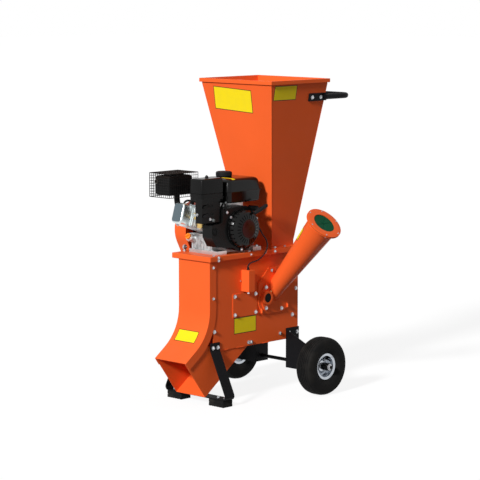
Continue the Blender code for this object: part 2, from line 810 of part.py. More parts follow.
def body_side_right():
    """The right side plate, open to the chipper cone and behind the inspection panel."""
    plate = body_side("body_side_right", 1)
    bore = add_rods("right_cone_hole", [(cone_point(-CONE_BASE_RADIUS * 2),
                                         cone_point(CONE_BASE_RADIUS * 2))],
                    CONE_BASE_RADIUS - CONE_WALL, sides=24)
    window = add_boxes("right_window", [
        ((INSIDE_HALF_WIDTH - CASE_SHEET, PANEL_FRONT_Y + WINDOW_MARGIN,
          PANEL_BOTTOM_Z + WINDOW_MARGIN),
         (SKIN_X + CASE_SHEET, PANEL_REAR_Y - WINDOW_MARGIN, PANEL_TOP_Z - WINDOW_MARGIN))])
    return cut(plate, bore, window)


def body_side_left():
    """The left side plate, with the baffle over the rotor welded to it."""
    plate = body_side("body_side_left", -1)
    centre = (ROTOR_Y, ROTOR_Z)
    outer = arc(centre, BAFFLE_RADIUS, 75, 150, 10)
    inner = arc(centre, BAFFLE_RADIUS - CASE_SHEET, 75, 150, 10)
    baffle = add_outline("left_baffle", [[*outer, *reversed(inner)]], "YZ",
                         -BODY_HALF_WIDTH + CASE_SHEET / 2, LINER_HALF_WIDTH)
    return join(plate, baffle)


def chamber_wrap():
    """The curved sheet behind and under the rotor, between the side plates."""
    rear = ROTOR_Y + CHAMBER_RADIUS
    floor_y = duct_rear_y() + GAP
    path = [Vector((rear, CASING_TOP_Z)),
            *arc((ROTOR_Y, ROTOR_Z), CHAMBER_RADIUS, 0, -90, 12),
            Vector((floor_y, ROTOR_Z - CHAMBER_RADIUS))]
    return add_outline("chamber_wrap", [strip(path, -CASE_SHEET)], "YZ",
                       -LINER_HALF_WIDTH, LINER_HALF_WIDTH, ORANGE)


def duct_rear_y():
    """Where the floor of the duct meets the floor of the chamber."""
    along, across = outlet_direction()
    bottom = Vector((OUTLET_TOP_Y, OUTLET_TOP_Z)) - across * OUTLET_HEIGHT
    return (bottom + along * DUCT_FLOOR_LENGTH).x


def engine_plate():
    """The deck: a plate with a lip down all round and the opening of the hopper."""
    low = (DECK_LEFT_X, DECK_FRONT_Y, DECK_TOP_Z - DECK_LIP)
    high = (DECK_RIGHT_X, DECK_REAR_Y, DECK_TOP_Z)
    plate = add_boxes("engine_plate", [(low, high)], ORANGE, bevel=DECK_BEND)
    wall = Vector((CASE_SHEET, CASE_SHEET, CASE_SHEET))
    hollow = add_boxes("deck_hollow", [
        (Vector((low[0], low[1], low[2] - DECK_LIP)) + wall,
         Vector((high[0], high[1], DECK_UNDER_Z + wall.z)) - wall)])
    throat = add_boxes("deck_throat", [
        ((-THROAT_HALF_X + HOPPER_SHEET, THROAT_FRONT_Y + HOPPER_SHEET, DECK_UNDER_Z - DECK_LIP),
         (THROAT_HALF_X - HOPPER_SHEET, THROAT_REAR_Y - HOPPER_SHEET, DECK_TOP_Z + DECK_LIP))])
    return cut(plate, hollow, throat)


def front_cover():
    """The curved front of the chute, with flanges that lap the side plates."""
    path = front_path()
    band = add_outline("front_cover", [strip(path, COVER_FLANGE)], "YZ",
                       -COVER_HALF_WIDTH, COVER_HALF_WIDTH, ORANGE)
    along = outlet_direction()[0]
    longer = [path[0] + Vector((0, COVER_FLANGE)), *path[1:-1], path[-1] - along * COVER_FLANGE]
    inner = offset_path(longer, COVER_SHEET)
    hollow = add_outline("cover_hollow", [strip(inner, COVER_FLANGE * 1.5)], "YZ",
                         -COVER_HALF_WIDTH + COVER_SHEET, COVER_HALF_WIDTH - COVER_SHEET)
    return cut(band, hollow)


def discharge_duct():
    """The duct under the casing: floor and sides, open to the rotor and at the outlet."""
    along, across = outlet_direction()
    top = Vector((OUTLET_TOP_Y, OUTLET_TOP_Z))
    bottom = top - across * OUTLET_HEIGHT
    rear = bottom + along * DUCT_FLOOR_LENGTH
    lap_z = BODY_BOTTOM_Z + DUCT_LAP
    inner = offset_path(front_path(), COVER_SHEET + GAP)
    front = [point for point in inner if point.y < lap_z]
    above = inner[len(inner) - len(front) - 1]
    first = above.lerp(front[0], (above.y - lap_z) / (above.y - front[0].y))
    outline = [bottom, rear, Vector((rear.x, lap_z)), first, *front]
    duct = add_outline("discharge_duct", [outline], "YZ", -LINER_HALF_WIDTH, LINER_HALF_WIDTH,
                       ORANGE)
    lift = across * COVER_SHEET
    room = across * OUTLET_HEIGHT * 1.5
    stretch = along * COVER_FLANGE * 4
    hollow = add_outline("duct_hollow", [[bottom + lift - stretch, rear + lift + stretch,
                                          rear + room + stretch * 3, bottom + room - stretch]],
                         "YZ", -LINER_HALF_WIDTH + COVER_SHEET, LINER_HALF_WIDTH - COVER_SHEET)
    return cut(duct, hollow)


def inspection_panel():
    """The bolted panel on the right side of the chute."""
    return add_boxes("inspection_panel", [((SKIN_X, PANEL_FRONT_Y, PANEL_BOTTOM_Z),
                                           (SKIN_X + CASE_SHEET, PANEL_REAR_Y, PANEL_TOP_Z))],
                     ORANGE)


def hopper():
    """The tall hopper: flange, neck, four flaring walls and a folded hem."""
    flange_z = DECK_TOP_Z + GAP
    sheet, fold = HOPPER_SHEET, HEM_FOLD
    throat = (THROAT_HALF_X, THROAT_FRONT_Y, THROAT_REAR_Y)
    rim = (HOPPER_TOP_HALF_X, HOPPER_TOP_FRONT_Y, HOPPER_TOP_REAR_Y)
    rings = [(grown(throat, HOPPER_FLANGE), flange_z),
             (grown(throat, HOPPER_FLANGE), flange_z + sheet), (throat, flange_z + sheet),
             (throat, HOPPER_NECK_Z), (rim, HOPPER_TOP_Z - sheet),
             (grown(rim, fold), HOPPER_TOP_Z - sheet), (grown(rim, fold), HOPPER_TOP_Z - HEM_HEIGHT),
             (grown(rim, fold + sheet), HOPPER_TOP_Z - HEM_HEIGHT),
             (grown(rim, fold + sheet), HOPPER_TOP_Z), (grown(rim, -sheet), HOPPER_TOP_Z),
             (grown(throat, -sheet), HOPPER_NECK_Z), (grown(throat, -sheet), flange_z)]
    shape = bmesh.new()
    rows = []
    for (half_x, front_y, rear_y), height in rings:
        corners = [(half_x, front_y), (half_x, rear_y), (-half_x, rear_y), (-half_x, front_y)]
        rows.append([shape.verts.new((across, along, height)) for across, along in corners])
    for lower, upper in zip(rows, [*rows[1:], rows[0]]):
        for corner in range(4):
            following = (corner + 1) % 4
            shape.faces.new((lower[corner], lower[following], upper[following], upper[corner]))
    return finish_mesh("hopper", shape, ORANGE)


def grown(ring, distance):
    """A rectangle of half width, front and rear, grown outwards."""
    half_x, front_y, rear_y = ring
    return half_x + distance, front_y - distance, rear_y + distance


def handle():
    """The U handle behind the hopper, flattened where it is bolted to the hopper's sides."""
    wall_x = hopper_half_x(HANDLE_Z)
    tube_x = hopper_half_x(HANDLE_Z + HANDLE_RADIUS) + HANDLE_RADIUS + HOPPER_SHEET
    start_y = HANDLE_FLAT_REAR_Y - HANDLE_RADIUS * 2
    path = rounded([(tube_x, start_y, HANDLE_Z), (tube_x, HANDLE_REAR_Y, HANDLE_Z),
                    (-tube_x, HANDLE_REAR_Y, HANDLE_Z), (-tube_x, start_y, HANDLE_Z)],
                   HANDLE_BEND, 6)
    piece = as_mesh(add_tube("handle", path, HANDLE_RADIUS, BLACK), BLACK)
    smooth(piece)
    for side in (1, -1):
        face = Vector((side * wall_x, 0, HANDLE_Z))
        thick = HANDLE_FLAT_THICKNESS / math.cos(HOPPER_SLOPE)
        low_x = wall_x + GAP / math.cos(HOPPER_SLOPE)
        flat = add_boxes(f"handle_flat_{side}", [
            sided((low_x, HANDLE_FLAT_FRONT_Y, HANDLE_Z - HANDLE_FLAT_HEIGHT / 2),
                  (low_x + thick, HANDLE_FLAT_REAR_Y, HANDLE_Z + HANDLE_FLAT_HEIGHT / 2), side)])
        turn_mesh(flat, face, side * HOPPER_SLOPE, "Y")
        join(piece, flat)
    return piece


def cone_point(distance):
    """A point on the axis of the chipper cone."""
    return CONE_BASE + CONE_DIRECTION * distance


def chipper_cone():
    """The cone for branches, with its mouth flange and the plate that holds it to the casing."""
    mouth_inner = CONE_MOUTH_RADIUS - CONE_WALL
    base_inner = CONE_BASE_RADIUS - CONE_WALL
    top = CONE_LENGTH + CONE_FLANGE_THICKNESS
    below = -CONE_BASE_RADIUS * 2
    profile = [(CONE_FLANGE_RADIUS, top), (CONE_FLANGE_RADIUS, CONE_LENGTH),
               (CONE_MOUTH_RADIUS, CONE_LENGTH), (CONE_BASE_RADIUS, CONE_STUB),
               (CONE_BASE_RADIUS, below), (base_inner, below), (base_inner, CONE_STUB),
               (mouth_inner, top)]
    cone = add_turned("chipper_cone", profile, CONE_BASE, CONE_DIRECTION, ORANGE, sides=32)
    reach = CONE_BASE_RADIUS * 4
    casing = add_boxes("cone_trim", [((-reach, CONE_Y - reach, CONE_BASE_Z - reach),
                                      (SKIN_X + CONE_PLATE / 2, CONE_Y + reach,
                                       CONE_BASE_Z + reach))])
    outline = [(CONE_Y + along, CONE_BASE_Z + up) for along, up in CONE_PLATE_CORNERS]
    plate = add_outline("cone_plate", [outline], "YZ", SKIN_X, PLATE_FACE_X)
    middle = (CONE_STUB + top) / 2
    bore = add_turned("cone_bore", [(0, middle), ((base_inner + mouth_inner) / 2 - GAP, middle),
                                    (base_inner - GAP, CONE_STUB), (base_inner - GAP, below),
                                    (0, below)], CONE_BASE, CONE_DIRECTION, sides=32)
    bearing = add_rods("cone_plate_shaft_hole", [(ROTOR_AXIS + X_AXIS * INSIDE_HALF_WIDTH,
                                                  ROTOR_AXIS + X_AXIS * PLATE_FACE_X * 1.1)],
                       SHAFT_RADIUS + CASE_SHEET)
    cut(cone, casing)
    join(cone, plate)
    return cut(cone, bore, bearing)


def rubber_flap():
    """The slit rubber disc in the mouth of the cone."""
    start = CONE_LENGTH + CONE_FLANGE_THICKNESS + GAP
    flap = add_turned("rubber_flap", [(0, start + FLAP_THICKNESS),
                                      (FLAP_RADIUS, start + FLAP_THICKNESS),
                                      (FLAP_RADIUS, start), (0, start)],
                      CONE_BASE, CONE_DIRECTION, GREEN_RUBBER, sides=32)
    half, wide, deep = FLAP_SLIT_LENGTH / 2, FLAP_SLIT_WIDTH / 2, FLAP_THICKNESS * 2
    slits = add_boxes("flap_slits", [((-half, -wide, -deep), (half, wide, deep))])
    across = add_boxes("flap_slits_across", [((-wide, -half, -deep), (wide, half, deep))])
    turn = CONE_DIRECTION.to_track_quat("Z", "Y").to_matrix().to_4x4()
    for slit in (slits, across):
        slit.data.transform(Matrix.Translation(cone_point(start + FLAP_THICKNESS / 2)) @ turn)
    return cut(flap, slits, across)


def cone_ring():
    """The ring that clamps the rubber disc on the mouth of the cone."""
    start = CONE_LENGTH + CONE_FLANGE_THICKNESS + FLAP_THICKNESS + 2 * GAP
    top = start + CONE_FLANGE_THICKNESS
    profile = [(CONE_FLANGE_RADIUS, top), (CONE_FLANGE_RADIUS, start),
               (RING_INNER_RADIUS, start), (RING_INNER_RADIUS, top)]
    return add_turned("cone_ring", profile, CONE_BASE, CONE_DIRECTION, ORANGE, sides=32)


def bearing_housing(name, side, seat_x):
    """A two-bolt bearing housing: an oval flange with a round boss, bored for the shaft."""
    flange_x = seat_x + side * BEARING_FLANGE
    face_x = seat_x + side * BEARING_HEIGHT
    end = BEARING_BOLT_OFFSET
    top = arc((ROTOR_Y, ROTOR_Z + end), PIN_RADIUS * 2, 20, 160, 5)
    bottom = arc((ROTOR_Y, ROTOR_Z - end), PIN_RADIUS * 2, 200, 340, 5)
    left = arc((ROTOR_Y, ROTOR_Z), BEARING_RADIUS, 150, 210, 4)
    right = arc((ROTOR_Y, ROTOR_Z), BEARING_RADIUS, -30, 30, 4)
    housing = add_outline(name, [[*top, *left, *bottom, *right]], "YZ",
                          min(seat_x, flange_x), max(seat_x, flange_x), ORANGE)
    boss = add_rods(f"{name}_boss", [(ROTOR_AXIS + X_AXIS * (seat_x + side * BEARING_FLANGE / 2),
                                      ROTOR_AXIS + X_AXIS * face_x)], BEARING_RADIUS - GAP,
                    sides=28)
    beyond = ROTOR_AXIS + X_AXIS * (face_x + side * CASE_SHEET)
    bore = add_rods(f"{name}_bore", [(ROTOR_AXIS, beyond)], SHAFT_RADIUS + GAP, sides=24)
    recess = add_rods(f"{name}_recess",
                      [(ROTOR_AXIS + X_AXIS * (face_x - side * BEARING_FLANGE), beyond)],
                      BEARING_CAP_RADIUS, sides=24)
    join(housing, boss)
    return cut(housing, bore, recess)


def rotor_shaft():
    """The shaft through both bearings, with chamfered ends."""
    chamfer = SHAFT_CHAMFER
    thin = SHAFT_RADIUS - chamfer
    profile = [(0, SHAFT_RIGHT_X), (thin, SHAFT_RIGHT_X), (SHAFT_RADIUS, SHAFT_RIGHT_X - chamfer),
               (SHAFT_RADIUS, SHAFT_LEFT_X + chamfer), (thin, SHAFT_LEFT_X), (0, SHAFT_LEFT_X)]
    return add_turned("rotor_shaft", profile, ROTOR_AXIS, X_AXIS, STEEL, sides=24)


def rotor_point(radius, degrees, x=0.0):
    """A point round the rotor's axis; 0 degrees points along +Y."""
    angle = math.radians(degrees)
    return ROTOR_AXIS + Vector((x, radius * math.cos(angle), radius * math.sin(angle)))


def pin_angle(index):
    """The angle of a hammer pin on the rotor."""
    return 45 + index * 360 / HAMMER_COUNT


def rotor_drum():
    """The chipping disc, hub and end plate turned as one, with the four pins welded in."""
    disc_back = DISC_FACE_X - DISC_THICKNESS
    end_back = END_PLATE_X - KNIFE_THICKNESS
    bore = SHAFT_RADIUS + GAP
    profile = [(DISC_RADIUS, DISC_FACE_X), (DISC_RADIUS, disc_back), (HUB_RADIUS, disc_back),
               (HUB_RADIUS, END_PLATE_X), (END_PLATE_RADIUS, END_PLATE_X),
               (END_PLATE_RADIUS, end_back), (bore, end_back), (bore, DISC_FACE_X)]
    drum = add_turned("rotor_drum", profile, ROTOR_AXIS, X_AXIS, STEEL, sides=32)
    pins = add_rods("drum_pins", [(rotor_point(PIN_CIRCLE, pin_angle(index), end_back - PIN_PROUD),
                                   rotor_point(PIN_CIRCLE, pin_angle(index), disc_back + PIN_SEAT))
                                  for index in range(HAMMER_COUNT)], PIN_RADIUS, sides=12)
    join(drum, pins)
    slots = []
    for side in (1, -1):
        middle_y = ROTOR_Y + side * CHIP_SLOT_OFFSET
        ends = sorted((ROTOR_Z + side * KNIFE_INNER, ROTOR_Z + side * CHIP_SLOT_END))
        slots.append(((disc_back - PIN_PROUD, middle_y - CHIP_SLOT_HALF_WIDTH, ends[0]),
                      (DISC_FACE_X + PIN_PROUD, middle_y + CHIP_SLOT_HALF_WIDTH, ends[1])))
    return cut(drum, add_boxes("drum_chip_slots", slots))


def knife(name, side):
    """A chipping knife on the disc, ground to an edge beside its chip slot."""
    face = DISC_FACE_X + GAP
    tip_y = ROTOR_Y + KNIFE_LEAD
    outline = [(face, tip_y - KNIFE_WIDTH), (face + KNIFE_THICKNESS, tip_y - KNIFE_WIDTH),
               (face + KNIFE_THICKNESS, tip_y), (face, tip_y - KNIFE_THICKNESS)]
    blade = add_outline(name, [outline], "XY", ROTOR_Z + KNIFE_INNER,
                        ROTOR_Z + KNIFE_INNER + KNIFE_LENGTH, STEEL)
    if side < 0:
        centre = blade.matrix_basis.inverted() @ ROTOR_AXIS
        turn_mesh(blade, centre, math.pi, "X")
    return blade


def hammer(index):
    """A swinging hammer, hanging from its pin."""
    slot = (DISC_FACE_X - DISC_THICKNESS - END_PLATE_X) / HAMMER_COUNT
    centre_x = END_PLATE_X + slot * (index + 0.5)
    pin = rotor_point(PIN_CIRCLE, pin_angle(index), centre_x)
    half, reach = HAMMER_HALF_WIDTH, HAMMER_REACH
    head = arc((pin.y, pin.z), half, 0, 180, 8)
    outline = [*head, Vector((pin.y - half, pin.z - reach)), Vector((pin.y + half, pin.z - reach))]
    eye = arc((pin.y, pin.z), PIN_RADIUS + GAP, 0, 345, 23)
    piece = add_outline(f"hammer_{index + 1}", [outline, eye], "YZ",
                        centre_x - HAMMER_THICKNESS / 2, centre_x + HAMMER_THICKNESS / 2, STEEL)
    piece.data.transform(piece.matrix_basis)
    piece.matrix_basis = Matrix.Identity(4)
    return set_origin(piece, pin)


def groove_profile(pitch, bore, extra=()):
    """The profile of a belt pulley about X, with a flat-bottomed groove."""
    rim = pitch + PULLEY_RIM_RADIUS_OVER_PITCH
    floor = pitch - BELT_HALF_THICKNESS - GAP
    return [*extra, (rim, PULLEY_RIGHT_X), (rim, BELT_X + GROOVE_HALF),
            (floor, BELT_X + GROOVE_HALF), (floor, BELT_X - GROOVE_HALF),
            (rim, BELT_X - GROOVE_HALF), (rim, PULLEY_LEFT_X), (bore, PULLEY_LEFT_X)]


def rotor_pulley():
    """The pulley on the rotor shaft."""
    bore = SHAFT_RADIUS + GAP
    profile = [*groove_profile(ROTOR_PULLEY_PITCH, bore), (bore, PULLEY_RIGHT_X)]
    return add_turned("rotor_pulley", profile, ROTOR_AXIS, X_AXIS, STEEL)


def clutch_pulley():
    """The centrifugal clutch drum with its belt pulley, on the crankshaft."""
    bore = CRANK_RADIUS + GAP
    drum_x = PULLEY_RIGHT_X + CLUTCH_DRUM_LENGTH
    drum = [(CLUTCH_DRUM_RADIUS, drum_x), (CLUTCH_DRUM_RADIUS, PULLEY_RIGHT_X)]
    profile = [*groove_profile(CLUTCH_PULLEY_PITCH, bore, drum), (bore, drum_x)]
    return add_turned("clutch_pulley", profile, CRANK_AXIS, X_AXIS, STEEL)


def drive_belt():
    """The V-belt between the clutch pulley and the rotor pulley."""
    outer = belt_outline(CLUTCH_PULLEY_PITCH + BELT_HALF_THICKNESS,
                         ROTOR_PULLEY_PITCH + BELT_HALF_THICKNESS)
    inner = belt_outline(CLUTCH_PULLEY_PITCH - BELT_HALF_THICKNESS,
                         ROTOR_PULLEY_PITCH - BELT_HALF_THICKNESS)
    return add_outline("drive_belt", [outer, inner], "YZ", BELT_X - BELT_WIDTH / 2,
                       BELT_X + BELT_WIDTH / 2, RUBBER)


def belt_guard():
    """The guard over the belt, open to the machine and held by two posts."""
    rim_x = DECK_LEFT_X - GAP
    outside = belt_outline(GUARD_CRANK_RADIUS, GUARD_ROTOR_RADIUS, GUARD_CRANK_DROP)
    inside = belt_outline(GUARD_CRANK_RADIUS - COVER_SHEET, GUARD_ROTOR_RADIUS - COVER_SHEET,
                          GUARD_CRANK_DROP)
    guard = add_outline("belt_guard", [outside], "YZ", GUARD_OUTER_X, rim_x, ORANGE)
    hollow = add_outline("guard_hollow", [inside], "YZ", GUARD_OUTER_X + COVER_SHEET,
                         rim_x + COVER_SHEET)
    post_z = ROTOR_Z + GUARD_POST_OFFSET_Z
    posts = add_rods("guard_posts", [((GUARD_OUTER_X + COVER_SHEET / 2, post_y, post_z),
                                      (-SKIN_X, post_y, post_z))
                                     for post_y in (ROTOR_Y - GUARD_POST_OFFSET_Y,
                                                    ROTOR_Y + GUARD_POST_OFFSET_Y)],
                     GUARD_POST_RADIUS, sides=12)
    cut(guard, hollow)
    return join(guard, posts)


def switch_bottom_z():
    """The underside of the switch box, just above the inspection panel."""
    return PANEL_TOP_Z + SWITCH_LIFT


def switch_centre():
    """The centre line of the switch box in X and Y."""
    return SKIN_X + SWITCH_DEPTH / 2, (SWITCH_FRONT_Y + SWITCH_REAR_Y) / 2


def switch_box():
    """The box of the safety switch, with the bore of its plunger."""
    bottom = switch_bottom_z()
    box = add_boxes("switch_box", [((SKIN_X, SWITCH_FRONT_Y, bottom),
                                    (SKIN_X + SWITCH_DEPTH, SWITCH_REAR_Y,
                                     bottom + SWITCH_HEIGHT))], ORANGE, bevel=SWITCH_BEND)
    across, along = switch_centre()
    bore = add_rods("switch_bore", [((across, along, bottom - PLUNGER_SHOW * 2),
                                     (across, along, bottom + PLUNGER_BORE + PLUNGER_TRAVEL))],
                    PLUNGER_RADIUS + GAP)
    return cut(box, bore)


def switch_plunger():
    """The spring plunger under the switch box, with a collar at its foot."""
    across, along = switch_centre()
    bottom = switch_bottom_z()
    top = bottom + PLUNGER_DEPTH
    foot = bottom - PLUNGER_TRAVEL - PLUNGER_SHOW
    collar = foot + PLUNGER_COLLAR
    profile = [(0, top), (PLUNGER_RADIUS, top), (PLUNGER_RADIUS, collar),
               (PLUNGER_RADIUS * 1.6, collar), (PLUNGER_RADIUS * 1.6, foot), (0, foot)]
    return add_turned("switch_plunger", profile, (across, along, 0), (0, 0, 1), ZINC, sides=16)


def kill_cable():
    """The lead from the engine to the safety switch, along its real route."""
    start = Vector((CABLE_X, CRANK_Y + SHROUD_RADIUS + GAP * 2, CRANK_Z))
    end = Vector((*switch_centre(), switch_bottom_z() + SWITCH_HEIGHT + GAP))
    route = [start + Vector(step) for step in CABLE_FROM_ENGINE]
    route += [end + Vector(step) for step in CABLE_TO_SWITCH]
    return add_tube("kill_cable", smooth_path(route, 4), CABLE_RADIUS, PLASTIC)


def smooth_path(route, steps):
    """A smooth path through the points of a route."""
    points = [Vector(point) for point in route]
    ends = [points[0], *points, points[-1]]
    path = []
    for before, start, end, after in zip(ends, ends[1:], ends[2:], ends[3:]):
        for step in range(steps):
            share = step / steps
            path.append(0.5 * (2 * start + (end - before) * share
                               + (2 * before - 5 * start + 4 * end - after) * share ** 2
                               + (3 * start - before - 3 * end + after) * share ** 3))
    path.append(points[-1])
    return path


def stand():
    """The front stand: one steel strap, bolted to both sides and bent round under the chute."""
    bar_z = PAD_HEIGHT + GAP + STRAP
    path = [(SKIN_X, STAND_TOP_Z), (SKIN_X, STAND_BEND_Z), (STAND_FOOT_X, bar_z),
            (-STAND_FOOT_X, bar_z), (-SKIN_X, STAND_BEND_Z), (-SKIN_X, STAND_TOP_Z)]
    outline = strip(rounded(path, STAND_BEND, 3), STRAP)
    return add_outline("stand", [outline], "XZ", -STAND_FRONT_Y - STAND_WIDTH, -STAND_FRONT_Y,
                       BLACK)


def foot_pad(name, side):
    """A rubber foot under the strap."""
    inner, outer = side * (PAD_OUTER_X - PAD_LENGTH), side * PAD_OUTER_X
    return add_boxes(name, [((min(inner, outer), STAND_FRONT_Y, 0),
                             (max(inner, outer), STAND_FRONT_Y + STAND_WIDTH, PAD_HEIGHT))],
                     RUBBER)


def bracket_ear_x():
    """Where the outer ear of a wheel bracket meets the hub."""
    return HUB_X - HUB_HALF_LENGTH - GAP


def wheel_bracket(name, side):
    """A bracket of side plate, sloping gusset and outer ear, bored for the axle."""
    ear = bracket_ear_x()
    middle = SKIN_X + STRAP / 2
    plate = add_boxes(name, [sided((SKIN_X, BRACKET_FRONT_Y, BRACKET_BOTTOM_Z),
                                   (SKIN_X + STRAP, BRACKET_REAR_Y, BRACKET_TOP_Z), side)], BLACK)
    gusset = add_outline(f"{name}_gusset", [[
        (side * middle, BRACKET_TOP_Z - STRAP), (side * middle, BRACKET_BOTTOM_Z),
        (side * ear, BRACKET_BOTTOM_Z), (side * ear, BRACKET_EAR_TOP_Z)]], "XZ",
        -BRACKET_FRONT_Y - STRAP, -BRACKET_FRONT_Y)
    outer = add_boxes(f"{name}_ear", [
        sided((ear - STRAP, BRACKET_FRONT_Y, BRACKET_BOTTOM_Z),
              (ear, BRACKET_REAR_Y, BRACKET_EAR_TOP_Z - STRAP), side)])
    bore = add_rods(f"{name}_bore", [((side * (SKIN_X - STRAP), 0, AXLE_Z),
                                      (side * (ear + STRAP), 0, AXLE_Z))], AXLE_RADIUS + GAP)
    join(plate, gusset, outer)
    return cut(plate, bore)


def axle():
    """The axle through both brackets and wheels."""
    end = HUB_X + HUB_HALF_LENGTH + AXLE_OVERHANG
    return add_rods("axle", [((-end, 0, AXLE_Z), (end, 0, AXLE_Z))], AXLE_RADIUS, STEEL,
                    sides=20)


def rim(name, side):
    """A pressed wheel rim: hub tube, dished web and barrel with turned flanges."""
    bore, hub = AXLE_RADIUS + GAP, AXLE_RADIUS + HUB_WALL
    half, flange = RIM_HALF_WIDTH, RIM_FLANGE
    seat, wall = RIM_RADIUS - RIM_SEAT_DROP, RIM_SHEET
    web = RIM_DISH
    profile = [(hub, HUB_HALF_LENGTH), (hub, web + wall), (seat - RIM_WEB_EDGE, -web),
               (seat - wall, -web), (seat - wall, half - flange), (RIM_RADIUS - wall, half),
               (RIM_RADIUS, half), (RIM_RADIUS, half - flange), (seat, half - flange),
               (seat, -half + flange), (RIM_RADIUS, -half + flange), (RIM_RADIUS, -half),
               (RIM_RADIUS - wall, -half), (seat - wall, -half + flange),
               (seat - wall, -web - wall), (seat - RIM_WEB_EDGE, -web - wall), (hub, web),
               (hub, -HUB_HALF_LENGTH), (bore, -HUB_HALF_LENGTH), (bore, HUB_HALF_LENGTH)]
    return add_turned(name, profile, (side * HUB_X, 0, AXLE_Z), (side, 0, 0), ZINC,
                      sides=WHEEL_SIDES, spin=math.pi / WHEEL_SIDES)


def tyre(name, side):
    """A pneumatic tyre on the rim's bead seats, resting on a flat of its tread."""
    flats = 1 / math.cos(math.pi / WHEEL_SIDES)
    bead_half = RIM_HALF_WIDTH - RIM_FLANGE - GAP
    seat = RIM_RADIUS - RIM_SEAT_DROP + GAP
    half = [(WHEEL_RADIUS * flats, TREAD_HALF_WIDTH),
            ((WHEEL_RADIUS - SHOULDER_DROP) * flats, SHOULDER_HALF_WIDTH),
            *((WHEEL_RADIUS - down, TYRE_HALF_WIDTH - into) for down, into in TYRE_WALL_STEPS),
            (RIM_RADIUS + BEAD_RISE, bead_half), (seat, bead_half)]
    profile = [*reversed(half), *((radius, -height) for radius, height in half)]
    return add_turned(name, profile, (side * HUB_X, 0, AXLE_Z), (side, 0, 0), RUBBER,
                      sides=WHEEL_SIDES, spin=math.pi / WHEEL_SIDES)


def engine_box(name, low, high, surface=None, bevel=0.0):
    """A box in the tilted frame of the cylinder, whose -Y runs from the crankshaft to the head."""
    box = add_boxes(name, [(low, high)], surface, bevel)
    box.data.transform(tilt())
    return box


def tilt():
    """From the cylinder's frame to the machine's."""
    return Matrix.Translation(CRANK_AXIS) @ Matrix.Rotation(-CYLINDER_TILT, 4, "X")


def crankcase():
    """The crankcase with base feet, cylinder flange, filler boss and tank saddle."""
    base_z = DECK_TOP_Z + GAP
    top_z = base_z + BASE_HEIGHT
    front_y, rear_y = CRANK_Y - BASE_FRONT, CRANK_Y + BASE_REAR
    case = add_rods("crankcase", [(CRANK_AXIS + X_AXIS * CASE_LEFT_X,
                                   CRANK_AXIS + X_AXIS * CASE_RIGHT_X)], CASE_RADIUS, ALUMINIUM,
                    sides=28)
    base = add_boxes("case_base", [((CASE_LEFT_X + BASE_SIDE_INSET, front_y + BASE_INSET, base_z),
                                    (CASE_RIGHT_X - BASE_SIDE_INSET, rear_y - BASE_INSET, top_z))])
    foot_z = top_z + ENGINE_FOOT_RISE
    front = add_boxes("case_front_foot", [((CASE_LEFT_X, front_y, base_z),
                                           (ENGINE_FOOT_RIGHT_X, front_y + FRONT_FOOT_LENGTH,
                                            foot_z))])
    rear = add_boxes("case_rear_foot", [((CASE_LEFT_X, rear_y - REAR_FOOT_LENGTH, base_z),
                                         (ENGINE_FOOT_RIGHT_X, rear_y, foot_z))])
    skirt = add_boxes("case_skirt", [((CASE_LEFT_X + CASE_SKIRT_INSET,
                                       CRANK_Y - CASE_SKIRT_HALF_LENGTH, base_z + CASE_SKIRT_INSET),
                                      (CASE_RIGHT_X - CASE_SKIRT_INSET,
                                       CRANK_Y + CASE_SKIRT_HALF_LENGTH, CRANK_Z))])
    nose = add_boxes("case_nose", [((CASE_LEFT_X + CASE_SKIRT_INSET, CRANK_Y - CASE_FRONT,
                                     base_z + CASE_SKIRT_INSET),
                                    (CASE_RIGHT_X - CASE_SKIRT_INSET, CRANK_Y,
                                     CRANK_Z - CASE_FRONT_DROP))])
    cover = add_rods("case_cover", [(CRANK_AXIS + X_AXIS * (CASE_LEFT_X - CASE_COVER_DEPTH),
                                     CRANK_AXIS + X_AXIS * (CASE_LEFT_X + CASE_COVER_SEAT))],
                     CASE_COVER_RADIUS, sides=24)
    neck = engine_box("case_neck", (CYLINDER_X - CASE_NECK_HALF_X, -CYLINDER_START + GAP,
                                    -CASE_NECK_HALF_Z),
                      (CYLINDER_X + CASE_NECK_HALF_X, -CASE_NECK_START, CASE_NECK_HALF_Z))
    saddle = add_boxes("case_saddle", [((SADDLE_LEFT_X, CRANK_Y - SADDLE_FRONT,
                                         CRANK_Z + SADDLE_RISE),
                                        (SADDLE_RIGHT_X, CRANK_Y + SADDLE_REAR,
                                         TANK_BOTTOM_Z - GAP))])
    boss = add_rods("case_filler", [(filler_point(-FILLER_LENGTH), filler_point(0))],
                    FILLER_RADIUS, sides=16)
    bore = add_rods("case_bore", [(CRANK_AXIS + X_AXIS * CRANK_LEFT_X,
                                   CRANK_AXIS + X_AXIS * CRANK_RIGHT_X)], CRANK_RADIUS + GAP,
                    sides=20)
    plug = add_rods("filler_bore", [(filler_point(-FILLER_BORE_DEPTH), filler_point(OIL_PLUG_LENGTH))],
                    FILLER_BORE_RADIUS, sides=16)
    join(case, base, front, rear, skirt, nose, cover, neck, saddle, boss)
    return cut(case, bore, plug)


def filler_point(distance):
    """A point on the axis of the oil filler, from its rim outwards."""
    rim_centre = Vector((FILLER_X, CRANK_Y - FILLER_FORWARD, DECK_TOP_Z + FILLER_RISE))
    return rim_centre + Vector((0, -math.cos(FILLER_ANGLE), math.sin(FILLER_ANGLE))) * distance


